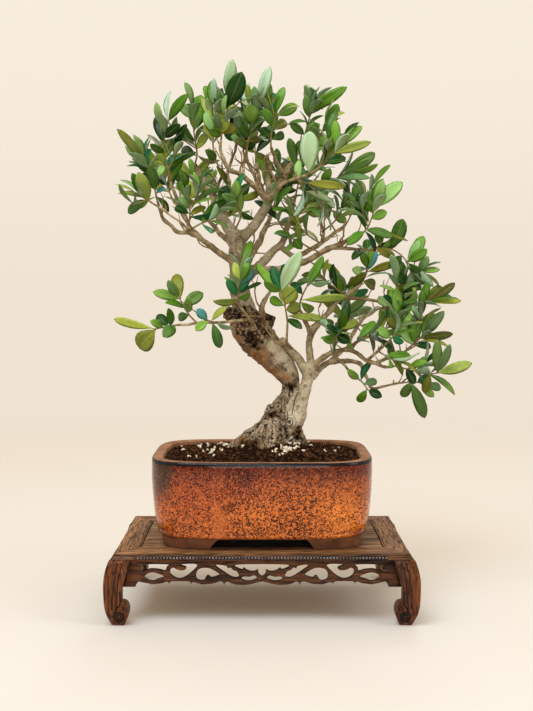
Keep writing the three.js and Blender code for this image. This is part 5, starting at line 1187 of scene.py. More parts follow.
ASH_SPOTS = [(267, 409, 3.4), (277.8, 406.4, 2.6), (273, 346, 8), (281, 357, 8), (289, 368, 7)]
# The last two spots are no burls: they give the dark crumbly colour to the base's right side and to the place
# under the scars, as painted shade.
BURL_SPOTS = [(230, 313, 12), (244, 318, 14), (258, 320, 14), (268, 316, 12), (252, 338, 12),
              (266, 332, 9), (240, 330, 9), (299, 433, 7), (272, 416, 5)]


def eye_ray(across, down):
    unit = UNIT / EYE_DISTANCE
    direction = Vector(((across - CENTRE_ACROSS) * unit, 1.0, (EYE_LEVEL - down) * unit)).normalized()
    return Vector((0.0, -EYE_DISTANCE, EYE_HEIGHT)), direction


def limb_line(name):
    """The smoothed line of a limb and its radii, a little crooked and swollen at its joints."""
    rows = smooth_line([(*placed(*point[:3]), point[3]) for point in LIMBS[name]], LIMB_STEPS)
    line, radii = rows[:, :3], rows[:, 3] * SLIMMED_LIMBS.get(name, 1.0)
    run = run_along(line)
    seed = len(name) * 3.7 + sum(ord(letter) for letter in name) * 0.61
    joint = random.Random(name).uniform(0, 9)
    for i, reach in enumerate(run):
        ends = min(1.0, reach / STRAIGHT_ENDS, (run[-1] - reach) / STRAIGHT_ENDS)
        sway = np.array(noise.noise_vector(Vector((reach / SWAY_LENGTH + seed, seed * 0.3, 1.7))))
        line[i] += sway * ends * min(MOST_SWAY, 6.0 / radii[i])
        near_joint = abs((reach + joint) % JOINT_SPACING - JOINT_SPACING / 2)
        swelling = JOINT_SWELLING if radii[i] < 4 else THICK_JOINT_SWELLING
        radii[i] *= 1 + swelling * math.exp(-((near_joint / JOINT_HALF_LENGTH) ** 2)) - 0.02
    return line, radii


def skin_of(names, voxel):
    """Some limbs grown into one closed skin, and stations along them.

    A station is a centre, radius, way, reach and smoothness.
    """
    shell = Shell()
    stations = []
    for name in names:
        line, radii = limb_line(name)
        shell.add(*tube(line, radii, SKIN_SIDES))
        smooth = SMOOTH_BARK.get(name, LIMB_SMOOTHNESS)
        stations += [(centre, radius, unit_vector(way), reach, smooth) for centre, radius, way, reach
                     in zip(line, radii, np.gradient(line, axis=0), run_along(line))]
    mesh = mesh_of("wood", shell.points, shell.faces)
    mesh = with_modifiers(mesh, ("REMESH", {"mode": "VOXEL", "voxel_size": voxel * MM}),
                          ("SMOOTH", {"factor": 0.5, "iterations": 4}))
    return mesh, stations


def grown_wood(piece, names, voxel, finish):
    """Limbs that grew into each other, as one barked skin."""
    mesh, stations = skin_of(names, voxel)
    points = in_millimetres(mesh_points(mesh))
    normals = mesh_normals(mesh)
    marks = trunk_marks(mesh, points) if piece == "old_trunk" else no_marks(len(points))
    shaped, grain = barked(points, normals, stations, marks)
    set_mesh_points(mesh, in_frame(shaped))
    for name, values in marks.items():
        mark(mesh, name, values)
    mark(mesh, "grain", grain, "FLOAT_VECTOR")
    return put(piece, smoothed(mesh), [finish], ["tree_wood"])


def old_wood(finish):
    """Trunk, roots and side stem as one grown skin, then the thick limbs as another."""
    thick = [name for name, points in LIMBS.items() if points[0][3] >= THICK_LIMB and name not in TRUNK_PARTS]
    trunk = grown_wood("old_trunk", TRUNK_PARTS, TRUNK_VOXEL, finish)
    grown_wood("old_limbs", thick, LIMB_VOXEL, finish)
    return trunk


def no_marks(count):
    return {name: np.zeros(count) for name in ("push", "hollow", "warm", "ash", "burl")}


def trunk_marks(mesh, points):
    """The knots, scars, hollows and colours that the trunk has on its front, with painted shade in the
    hollows and at the last two burl spots.
    """
    skin = skin_tree(mesh)
    marks = no_marks(len(points))

    def away(across, down):
        hit = skin.ray_cast(*eye_ray(across, down))[0]
        return np.full(len(points), 1e3) if hit is None else np.linalg.norm(points - np.array(hit), axis=1)

    for across, down, radius, push in BUMPS:
        marks["push"] += push * np.exp(-((away(across, down) / radius) ** 2))
    for across, down, radius, push, shade in HOLLOWS:
        inside = 1 / (1 + np.exp(np.clip((away(across, down) - radius) / 0.45, -30, 30)))
        marks["push"] -= push * inside
        marks["hollow"] = np.maximum(marks["hollow"], inside * shade)
    for across, down, radius, shade in RING_KNOTS:
        far = away(across, down)
        within = np.exp(-((far / radius) ** 4))
        rings = np.cos(2 * math.pi * far / RING_WIDTH)
        marks["push"] += within * (0.45 * rings + 0.5) - 1.3 * np.exp(-((far / 1.2) ** 2))
        dark = within * np.clip(-rings, 0, 1) + np.exp(-((far / 1.1) ** 2))
        marks["hollow"] = np.maximum(marks["hollow"], shade * np.clip(dark, 0, 1))
    for name, spots in (("warm", WARM_SPOTS), ("ash", ASH_SPOTS), ("burl", BURL_SPOTS)):
        for across, down, radius in spots:
            marks[name] = np.maximum(marks[name], np.exp(-((away(across, down) / radius) ** 4)))
    return marks


def stations_tree(stations):
    return point_tree([station[0] for station in stations])


def creases(points, stations):
    """How near each point is to a seam between a pale stem and other wood, and if it is on the stem."""
    pale = [station for station in stations if station[4] == 1.0]
    rest = [station for station in stations if station[4] < 1.0]
    if not pale or not rest:
        return np.zeros(len(points)), None
    depths = []
    for some in (pale, rest):
        tree = stations_tree(some)
        found = [tree.find(point) for point in points]
        depths.append(np.array([far - some[i][1] for _, i, far in found]))
    return np.exp(-(((depths[0] - depths[1]) / SEAM_WIDTH) ** 2)), depths[0] < depths[1]


def valley(place, width):
    """1 along winding lines of the noise and 0 away from them."""
    return max(0.0, 1.0 - abs(noise.noise(place)) / width)


def barked(points, normals, stations, marks):
    """Points pushed out and in by lumps, furrows, cracks and burl crumbs that follow the nearest limb."""
    tree = stations_tree(stations)
    seam, on_stem = creases(points, stations)
    push = marks.pop("push")
    age, crack, smooth = (np.empty(len(points)) for _ in range(3))
    grain = np.empty((len(points), 3))
    for i, point in enumerate(points):
        centre, radius, way, reach, smoothness = stations[tree.find(point)[1]]
        if on_stem is not None:
            smoothness = 1.0 if on_stem[i] else min(smoothness, 0.9)
        out = Vector(point - centre)
        way = Vector(way)
        along = reach + out.dot(way)
        flat = out - way * out.dot(way)
        drawn_out = flat + way * along * FURROW_DRAWING + Vector((radius, 0, 0))
        size = min(radius / FULL_AGE_RADIUS, 1.0)
        here = Vector(point)
        burl = marks["burl"][i]
        warm = 0.85 * marks["warm"][i] * (here.z > WARM_IS_SMOOTH_FROM)
        plain = max(smoothness, warm, 0.9 * marks["ash"][i]) * (1 - burl)
        lumps = noise.noise(here / BROAD_LUMPS) * BROAD_LUMP_HEIGHT * size
        lumps += noise.noise(here / SMALL_LUMPS + Vector((7, 3, 1))) * SMALL_LUMP_HEIGHT * size
        wide_cut = valley(drawn_out / WIDE_FURROWS, 0.2)
        narrow_cut = valley(drawn_out / NARROW_FURROWS + Vector((3, 1, 8)), 0.24)
        cut = (0.75 * wide_cut + 0.4 * narrow_cut) * (1 - 0.92 * plain)
        least, aged = ROUGHNESSES
        height = (least + aged * size) * (1 - 0.6 * plain)
        rough = noise.fractal(here / ROUGHNESS_SCALE, 0.75, 2.1, 3) * height
        shallow, deeper = FURROW_DEPTHS
        push[i] += lumps + rough - cut * (shallow + deeper * size) - SEAM_DEPTH * seam[i]
        if burl > 0.02:
            distances, _ = noise.voronoi(here / BURL_CRUMBS)
            gap = distances[1] - distances[0]
            crumb = noise.fractal(here / 1.7, 0.6, 2.2, 3)
            push[i] += burl * (2.2 * min(gap, 0.7) - 1.2 + 0.8 * crumb)
            cut = max(cut, burl * (1.0 - min(1.0, gap * 3.2)))
        crack[i] = min(1.0, max(cut, 0.85 * seam[i] * (size > 0.3)))
        age[i] = size
        smooth[i] = plain
        grain[i] = drawn_out
    marks["age"], marks["crack"], marks["smooth"] = age, crack, smooth
    return points + normals * push[:, None], grain * MM


def thin_limbs(finish):
    """The limbs that leave the old wood, each a knuckled tube sunk into what it grows from."""
    shell = Shell()
    for name, drawn in LIMBS.items():
        if drawn[0][3] < THICK_LIMB:
            shell.add(*tube(*limb_line(name), THIN_LIMB_SIDES))
    mesh = mesh_of("thin_limbs", shell.points, shell.faces)
    mesh = with_modifiers(mesh, ("SUBSURF", {"levels": 1, "render_levels": 1}))
    for name, value in THIN_LIMB_MARKS.items():
        mark(mesh, name, np.full(len(mesh.vertices), value))
    mark(mesh, "grain", mesh_points(mesh), "FLOAT_VECTOR")
    return put("thin_limbs", mesh, [finish], ["tree_wood"])


# Limbs that carry bare twigs, and how many each.
TWIGGY = {"left_low": 4, "left_mid": 3, "left_long": 1, "left_back": 3, "top_left": 8, "top_left_fork": 3,
          "centre_stem": 8, "arch": 5, "arch_up": 5, "arch_mid": 3, "top_right": 7, "crown_back": 5,
          "top_right_out": 5, "top_right_in": 4, "pale_twig": 2, "right_rise": 7, "rear_limb": 5,
          "rear_left": 4, "right_arm": 5, "right_arm_low": 2, "right_arm_back": 5, "right_arm_up": 3,
          "side_up": 5, "side_up_left": 3, "side_far": 4, "side_mid": 4, "side_mid_up": 4,
          "side_mid_back": 3, "side_mid_front": 3, "side_mid_rise": 3, "side_low": 3, "side_rear": 4,
          "stub": 2, "left_twig": 2, "front_shoot": 1}

TWIGLET_LENGTHS = (8, 12, 18, 24, 32, 40)
TWIGLET_RADII = (0.65, 1.15)
TWIGLET_STEP = 5
TWIGLET_KINKS = [(0, 0.24), (0, 0.24), (0.06, 0.2)]      # each way: mean and spread at a step
FORKS_FROM = 16


def bare_twigs(finish):
    """Leafless twiglets on the limbs, each with a few kinks, some forked."""
    chance = random.Random(DRAW_SEED * 7)
    shell = Shell()

    def grow(foot, way, length, radius, forks):
        steps = max(3, int(length / TWIGLET_STEP))
        line = [foot]
        for step in range(steps):
            kink = [chance.gauss(*spread) for spread in TWIGLET_KINKS]
            way = unit_vector(way + kink)
            line.append(line[-1] + way * length / steps)
            if not inside_box(line[-1]):
                return
            if forks and step == steps // 2:
                turn = side_way([0.3, 1.0, 0.2], way, chance.uniform(0, 6.28))
                grow(line[-1], unit_vector(way + turn * 0.8), length * 0.5, radius * 0.7, False)
        radii = np.linspace(radius, radius * 0.5, len(line)) * (1 + 0.16 * (np.arange(len(line)) % 2))
        shell.add(*tube(line, radii, TWIG_SIDES))

    for name, count in TWIGGY.items():
        line, radii = limb_line(name)
        for _ in range(count):
            i = chance.randrange(len(line) // 5, len(line) - 2)
            along = unit_vector(line[i + 1] - line[i])
            out = side_way([0.1, 1.0, 0.1], along, chance.uniform(0, 6.28))
            way = unit_vector(along * chance.uniform(0.3, 1.1) + out * 0.8 + np.array([0.0, 0.0, 0.45]))
            length = chance.choice(TWIGLET_LENGTHS) * chance.uniform(0.8, 1.1)
            radius = min(radii[i] * 0.75, chance.uniform(*TWIGLET_RADII))
            grow(line[i], way, length, radius, length > FORKS_FROM)
    return put("bare_twigs", mesh_of("bare_twigs", shell.points, shell.faces), [finish])


def bark_material():
    """Furrowed grey bark on old wood, smooth and pale on the young, brown in the scars, and darker brown
    below: partly its own brown, partly painted shade.
    """
    made, w, shader, where = material("olive_bark", {"Roughness": 0.82, "Specular IOR Level": 0.12})
    age, crack, hollow, warm, ash, burl, smooth = (w.mark(name) for name in (
        "age", "crack", "hollow", "warm", "ash", "burl", "smooth"))
    broad = mottled(w, where, 60.0, 0.24)
    fine = mottled(w, where, 330.0, 0.16)
    sky = w.span(w.axis(w.add("ShaderNodeNewGeometry").outputs["Normal"], "Z"), -0.75, 0.1)
    patch = mottled(w, where, 95.0, 0.12)
    old = w.mix(broad["Mask"], srgb(132, 110, 84), srgb(222, 206, 178))
    pale = w.mix(broad["Mask"], srgb(174, 163, 134), srgb(228, 220, 198))
    twiggy = w.mix(patch["Mask"], srgb(110, 95, 60), srgb(198, 183, 142))
    young = w.mix(w.span(age, 0.2, 0.45), twiggy, pale)
    skin = w.mix(smooth, old, young)
    # Faces that look down are mixed to a darker brown: partly the bark's own brown, partly painted shade.
    under = w.mix(fine["Mask"], srgb(100, 62, 32), srgb(148, 100, 58))
    brown_and_shade_below = w.times(w.rest(sky), w.less(0.85, w.times(smooth, 0.5)))
    lit = w.mix(brown_and_shade_below, skin, under)
    speckle = w.times(w.rest(w.span(w.cells(where, 230.0), 0.12, 0.26)), 0.85)
    speckled = w.mix(speckle, lit, srgb(70, 46, 28))
    dusty = w.mix(w.times(fine["Mask"], 0.3), speckled, srgb(100, 80, 56))
    warmed = w.mix(w.times(warm, 0.8), dusty, w.mix(fine["Mask"], srgb(98, 58, 24), srgb(160, 106, 54)))
    ashen = w.mix(w.times(ash, 0.7), warmed, w.mix(fine["Mask"], srgb(176, 162, 138), srgb(206, 196, 176)))
    crumbs = w.cells(where, 420.0)
    between = w.mix(broad["Mask"], srgb(76, 51, 33), srgb(172, 130, 90))
    crumbly = w.mix(w.span(crumbs, 0.18, 0.34), srgb(212, 192, 158), between)
    burled = w.mix(w.times(burl, 0.85), ashen, crumbly)
    along = w.add("ShaderNodeAttribute", attribute_name="grain").outputs["Vector"]
    fibres = w.off(w.noise(along, 560.0, detail=3.0, roughness=0.6, distortion=0.6), 0.5)
    lines = w.rest(w.span(fibres, 0.006, 0.05))
    furrows = w.times(lines, w.less(0.9, smooth, clamp=True))
    furrowed = w.mix(furrows, burled, srgb(52, 38, 27))
    # The cuts of furrows, cracks and seams are painted dark: partly the bark's own dark, partly painted shade
    # in them.
    cracked = w.mix(w.span(crack, 0.25, 0.85), furrowed, srgb(24, 17, 12))
    # Hollows and the grooves and eyes of knots are painted near-black: painted shade.
    w.join(shader["Base Color"], w.mix(hollow, cracked, srgb(13, 10, 9)))
    height = w.plus(fine["Height"], w.less(w.times(speckle, -0.4), furrows))
    w.join(shader["Normal"], w.bump(height, 0.0011, 0.8))
    return made


# ------------------------------------------------------------------ soil

SOIL_SIDES = 120
SOIL_ROWS = 34
MOUND_FULLNESS = 2.3              # how soon the soil rises from the pot's wall
SOIL_LUMPS = (14.0, 1.5)          # how far across, how high
SOIL_ROUGHNESS = (3.2, 1.1)
GRAIN_DENSITY = 150000.0          # grains for each square metre of soil
GRAIN_SIZE = 0.0014
CRUMB_DENSITY = 26000.0
CRUMB_SIZE = 0.0024
GRIT_SIZE = 0.0023
LEAST_LUMP = (0.45, 0.45, 0.4)            # of its size, each way
LARGEST_LUMP = (1.35, 1.2, 1.0)
# The soil is heaped against the trunk: middle, half widths and height of the heap.
HEAP = (10.0, 14.0, 52.0, 40.0, 7.5)

# White grit on the soil, seen from the front: across, down. Each is one lump or the middle of a patch.
GRIT_LUMPS = [(208.7, 442), (208.7, 445.7), (199.9, 447.6), (183, 451), (203.5, 453), (213.8, 457),
              (221, 451.5), (226, 445.7), (229, 440.5), (213.8, 451.5), (282, 447), (289.4, 442),
              (294.5, 445), (297.4, 448), (275.4, 452), (286.4, 451.5), (283.5, 455), (304, 451.5),
              (311.4, 446.4), (325, 452), (264.4, 448), (189, 457), (197, 458)]
GRIT_PATCHES = [(292, 447, 16, 15), (282, 453, 10, 6), (222, 443, 12, 15), (240, 445, 9, 8),
                (206, 449, 11, 7)]
LOOSE_GRIT = 18
LOOSE_GRIT_ACROSS = (-92, 92)
LOOSE_GRIT_DEEP = (-60, 68)


def squared_ring(half_x, half_y, z, sides, squareness):
    x, y = np.cos(full_turn(sides)), np.sin(full_turn(sides))
    bend = 2 / squareness
    return np.stack([half_x * np.sign(x) * np.abs(x) ** bend, half_y * np.sign(y) * np.abs(y) ** bend,
                     np.full(sides, z)], axis=1)


def cavity_inset(height):
    return LIP_WIDTH + CAVITY_TAPER * (1 - (height - POT_FLOOR) / (POT_HEIGHT - POT_FLOOR))


def pot_ring(inset, height, sides, end_inset=None, squareness=POT_SQUARENESS):
    half_x = POT_WIDTH / 2 - (inset if end_inset is None else end_inset)
    return squared_ring(half_x, POT_DEPTH / 2 - inset, STAND_HEIGHT + height, sides, squareness)


def soil_bed(finish):
    """The soil: level at the pot's wall, risen towards the trunk, crumbled all over."""
    sides = SOIL_SIDES
    edge = POT_HEIGHT - SOIL_BELOW_LIP
    edge_inset = cavity_inset(edge) + GAP
    rings = [pot_ring(cavity_inset(POT_FLOOR) + GAP, POT_FLOOR + 1.2, sides),
             pot_ring(edge_inset, edge - 3, sides)]
    for share in np.linspace(0, 1, SOIL_ROWS)[:-1]:
        rise = SOIL_MOUND * (1 - math.exp(-MOUND_FULLNESS * share)) / (1 - math.exp(-MOUND_FULLNESS))
        inset = edge_inset + share * (POT_DEPTH / 2 - edge_inset - 1)
        rings.append(pot_ring(inset, edge + rise - 1.2, sides))
    points, faces = ring_skin(rings)
    points = np.array(points)
    crumbled = points[:, 2] > STAND_HEIGHT + edge - 1.6
    middle_x, middle_y, half_x, half_y, rise = HEAP
    (broad, lump), (fine, rough) = SOIL_LUMPS, SOIL_ROUGHNESS
    for i in np.nonzero(crumbled)[0]:
        here = Vector(points[i])
        away = ((here.x - middle_x) / half_x) ** 2 + ((here.y - middle_y) / half_y) ** 2
        points[i, 2] += lump * noise.noise(here / broad) + rough * noise.fractal(here / fine, 0.8, 2.0, 3)
        points[i, 2] += rise * math.exp(-away)
    mesh = mesh_of("soil_bed", points, faces)
    return put("soil_bed", mesh, [finish], ["soil"])


def geometry_tree(name, inputs):
    """An empty geometry tree with named inputs, the wiring to fill it and its inputs' identifiers."""
    tree = bpy.data.node_groups.new(name, "GeometryNodeTree")
    tree.interface.new_socket(name="Geometry", in_out="INPUT", socket_type="NodeSocketGeometry")
    names = {socket: tree.interface.new_socket(name=socket, in_out="INPUT", socket_type=kind).identifier
             for socket, kind in inputs.items()}
    tree.interface.new_socket(name="Geometry", in_out="OUTPUT", socket_type="NodeSocketGeometry")
    wiring = Wiring(tree)
    return tree, wiring, wiring.add("NodeGroupInput").outputs, wiring.add("NodeGroupOutput").inputs, names


def lump_shapes(w, size, finish_seed, subdivisions):
    """Three uneven lumps, one of which each place takes."""
    joined = w.add("GeometryNodeJoinGeometry")
    for number in range(3):
        ball = w.add("GeometryNodeMeshIcoSphere", {"Radius": size, "Subdivisions": subdivisions})
        wobble = w.add("ShaderNodeTexNoise", {"Scale": 420.0, "Detail": 1.0, "W": number * 3.7 + finish_seed},
                       noise_dimensions="4D")
        shift = w.vector_maths("SUBTRACT", {0: wobble.outputs[1], 1: (0.5, 0.5, 0.5)})
        amount = w.vector_maths("SCALE", {0: shift, "Scale": w.times(size, 2.3)})
        lump = w.add("GeometryNodeSetPosition", {"Geometry": ball.outputs["Mesh"], "Offset": amount})
        instance = w.add("GeometryNodeGeometryToInstance", {"Geometry": lump.outputs[0]})
        w.tree.links.new(instance.outputs[0], joined.inputs[0])
    return joined.outputs[0]


def scatter_tree(name, on_faces, subdivisions):
    """Lumps of a few sizes strewn over a surface, or set on given points, turned any way."""
    tree, w, given, out, names = geometry_tree(name, {
        "Density": FLOAT, "Size": FLOAT, "Sink": FLOAT, "Seed": WHOLE, "Finish": FINISH})
    ground, seed = given["Geometry"], given["Seed"]
    if on_faces:
        strewn = {"Mesh": ground, "Density": given["Density"], "Seed": seed}
        spots = w.add("GeometryNodeDistributePointsOnFaces", strewn).outputs["Points"]
    else:
        spots = w.add("GeometryNodeMeshToPoints", {"Mesh": ground}).outputs[0]
    drop = w.add("ShaderNodeCombineXYZ", {"Z": w.times(given["Sink"], -1.0)})
    lowered = w.add("GeometryNodeSetPosition", {"Geometry": spots, "Offset": drop.outputs[0]})
    turns = w.drawn_vector((0, 0, 0), (6.28, 6.28, 6.28), seed)
    sizes = w.drawn_vector(LEAST_LUMP, LARGEST_LUMP, w.plus(seed, 7.0))
    lumps = lump_shapes(w, given["Size"], 1.0, subdivisions)
    w.repeat(out, given["Finish"], {"Points": lowered.outputs[0], "Instance": lumps, "Pick Instance": True,
                                    "Rotation": turns, "Scale": sizes})
    return tree, names


def repeated(ground, tree, names, finish, sizes):
    """What a geometry tree makes of a mesh, with its named sizes set, as a plain mesh."""
    carrier = in_scene("work", ground)
    modifier = carrier.modifiers.new("repeat", "NODES")
    modifier.node_group = tree
    modifier[names["Finish"]] = finish
    for key, value in sizes.items():
        modifier[names[key.capitalize()]] = value
    return plain_mesh(carrier)


def scattered(name, ground, tree, names, finish, **sizes):
    """The lumps of one scatter as a piece of the soil."""
    return put(name, repeated(ground, tree, names, finish, sizes), [finish])


def top_of(piece):
    """The part of a piece's mesh that faces up, as a mesh of its own."""
    mesh = piece.data
    used = [list(face.vertices) for face in mesh.polygons if face.normal.z > 0.35]
    kept = sorted({corner for face in used for corner in face})
    new = {old: i for i, old in enumerate(kept)}
    top = bpy.data.meshes.new("ground")
    top.from_pydata([tuple(mesh.vertices[i].co) for i in kept], [], [[new[c] for c in face] for face in used])
    return top


def grit_points(bed, wood):
    """Where the white grit lies: each lump and patch seen from the front, dropped on the soil."""
    chance = random.Random(DRAW_SEED)
    seen = list(GRIT_LUMPS)
    for across, down, spread, count in GRIT_PATCHES:
        seen += [(chance.gauss(across, spread / 2), chance.gauss(down, spread / 6)) for _ in range(count)]
    ground, trunk = skin_tree(bed.data), skin_tree(wood.data)
    points = []
    for across, down in seen:
        eye, way = eye_ray(across, down)
        hit, _, _, far = ground.ray_cast(eye, way)
        first = trunk.ray_cast(eye, way)[3]
        if hit is not None and hit.z > STAND_HEIGHT + POT_HEIGHT - 12 and (first is None or first > far):
            points.append(hit)
    for _ in range(LOOSE_GRIT):
        x, y = chance.uniform(*LOOSE_GRIT_ACROSS), chance.uniform(*LOOSE_GRIT_DEEP)
        hit = ground.ray_cast(Vector((x, y, 400.0)), Vector((0, 0, -1)))[0]
        if hit is not None and trunk.ray_cast(Vector((x, y, 175.0)), Vector((0, 0, -1)))[0] is None:
            points.append(hit)
    mesh = bpy.data.meshes.new("grit_places")
    mesh.from_pydata([tuple(p) for p in in_frame(points)], [], [])
    return mesh


def soil_material(name, dark, light):
    made, w, shader, where = material(name, {"Roughness": 0.95, "Specular IOR Level": 0.06})
    uneven = mottled(w, where, 320.0, 0.25)
    w.join(shader["Base Color"], w.mix(uneven["Mask"], dark, light))
    w.join(shader["Normal"], w.bump(uneven["Height"], 0.0012, 0.9))
    return made


# ------------------------------------------------------------------ pot

POT_SIDES = 160
# Outside of the pot from the foot up: inset from the rim's half depth, the same from its half width,
# height above the pot's base, squareness of the ring.
FOOT_PROFILE = [(19.3, 13.8, 0.0, 6), (18.4, 12.9, 0.4, 6), (17.9, 12.5, 1.4, 6), (17.2, 12.2, 4.0, 6),
                (15.4, 11.3, 8.6, 6), (13.5, 10.5, 11.2, 6), (11.4, 9.6, 12.3, 5.6)]
WALL_PROFILE = [(10.6, 9.4, 12.4, 5.0), (8.6, 8.2, 12.6, 4.7), (7.0, 6.9, 13.2, 4.6),
                (6.0, 6.0, 14.4, 4.6), (5.8, 5.8, 15.9, 4.6), (6.0, 6.0, 17.4, 4.6), (5.6, 5.6, 19.2, 4.6),
                (4.8, 4.8, 22, 4.6), (3.9, 3.9, 27, 4.6), (3.1, 3.1, 31.5, 4.6), (2.4, 2.4, 36, 4.6),
                (1.6, 1.6, 45, 4.6), (0.9, 0.9, 54, 4.6), (0.35, 0.35, 63, 4.6), (0, 0, 71, 4.6),
                (0, 0, 80, 4.6), (0, 0, 87.6, 4.6), (0.2, 0.2, 89.4, 4.6), (0.7, 0.7, 90.4, 4.6),
                (1.7, 1.7, 90.95, 4.6)]
LIP_PROFILE = [(4.2, 91.0), (7.4, 91.0), (10.2, 90.7), (11.3, 89.9), (11.7, 88.4)]
FRONT_ARCH_HALF = 46.0
SIDE_ARCH_HALF = 24.0
ARCH_FLARE = 9.0
LIP_WAVE = 0.18
LIP_WAVES_FROM = 85
WALL_WAVE = 0.0009
WALL_WAVES_FROM = 14


def pot_body(finishes):
    """Foot, wall, lip and inside as one closed skin, with the arches cut between the feet."""
    recess, end_recess = FOOT_INSET + FOOT_WALL, FOOT_END_INSET + FOOT_WALL
    underside = [(recess + by, end_recess + by, height, FOOT_SQUARENESS) for by, height in
                 ((27.5, FOOT_HEIGHT), (0.8, FOOT_HEIGHT), (0.0, FOOT_HEIGHT - 0.8), (0.0, 0.6), (-0.6, 0.0))]
    inside = [(cavity_inset(height), height) for height in (80.0, 55.0, 30.0, POT_FLOOR + 3)]
    inside += [(cavity_inset(POT_FLOOR) + 2.5, POT_FLOOR), (60.0, POT_FLOOR)]
    upper = [(inset, inset, height, POT_SQUARENESS) for inset, height in LIP_PROFILE + inside]
    profile = underside + FOOT_PROFILE + WALL_PROFILE + upper
    kinds = [0] * (len(underside) + len(FOOT_PROFILE)) + [1] * len(WALL_PROFILE)
    kinds += [2] * (len(LIP_PROFILE) + len(inside))
    turns = full_turn(POT_SIDES)
    rings = []
    for inset, end_inset, height, squareness in profile:
        ring = pot_ring(inset, height, POT_SIDES, end_inset, squareness)
        ring[:, 2] += LIP_WAVE * np.sin(3 * turns + 1.2) * (height > LIP_WAVES_FROM)
        wave = WALL_WAVE * np.sin(5 * turns + height / 17) * (height > WALL_WAVES_FROM)
        ring[:, :2] *= (1 + wave)[:, None]
        rings.append(ring)
    mesh = mesh_of("glazed_pot", *ring_skin(rings))
    finish = [0] * POT_SIDES
    for kind in kinds[1:]:
        finish += [kind] * POT_SIDES
    finish += [2] * POT_SIDES
    mesh.polygons.foreach_set("material_index", finish)
    for made in finishes:
        mesh.materials.append(made)
    cutters = [arch_block("y", FRONT_ARCH_HALF), arch_block("x", SIDE_ARCH_HALF)]
    cutters += [drain_cutter(side) for side in (-1, 1)]
    mesh = with_modifiers(mesh, *[cut_by(cutter, "DIFFERENCE") for cutter in cutters])
    for cutter in cutters:
        bpy.data.objects.remove(cutter)
    mesh.set_sharp_from_angle(angle=math.radians(38))
    return put("glazed_pot", mesh, finishes, ["pot"])


def cutter_of(mesh):
    cutter = in_scene("cutter", mesh)
    cutter.hide_render = True
    return cutter


def cut_by(cutter, operation):
    return "BOOLEAN", {"object": cutter, "operation": operation, "solver": "EXACT"}


def extruded(outline, low, high, axis, reverse=False):
    """A flat-sided block: an outline of (sideways, height) drawn out along an axis."""
    count = len(outline)
    points = []
    for far in (low, high):
        points += [(a, far, z) if axis == "y" else (far, a, z) for a, z in outline]
    faces = [tuple(range(count)), tuple(reversed(range(count, 2 * count)))]
    faces += [(k, k + count, (k + 1) % count + count, (k + 1) % count) for k in range(count)]
    if reverse:
        faces = [tuple(reversed(face)) for face in faces]
    return mesh_of("block", points, faces, smooth=False)


def arch_block(axis, half):
    """A bar right through the foot, wider at the bottom, with eased upper corners."""
    base, top = STAND_HEIGHT - 0.1, STAND_HEIGHT + FOOT_HEIGHT - 0.02
    outline = [(-half - ARCH_FLARE, base - 1), (half + ARCH_FLARE, base - 1), (half + 1.6, top - 2.0),
               (half - 0.6, top), (0.6 - half, top), (-half - 1.6, top - 2.0)]
    return cutter_of(extruded(outline, -POT_WIDTH, POT_WIDTH, axis, reverse=axis == "x"))


def drain_cutter(side):
    turns = full_turn(24)
    rings = [np.stack([side * DRAIN_SPACING / 2 + DRAIN_RADIUS * np.cos(turns), DRAIN_RADIUS * np.sin(turns),
                       np.full(24, STAND_HEIGHT + z)], axis=1) for z in (-2.0, POT_FLOOR + 5)]
    return cutter_of(mesh_of("cutter", *ring_skin(rings), smooth=False))


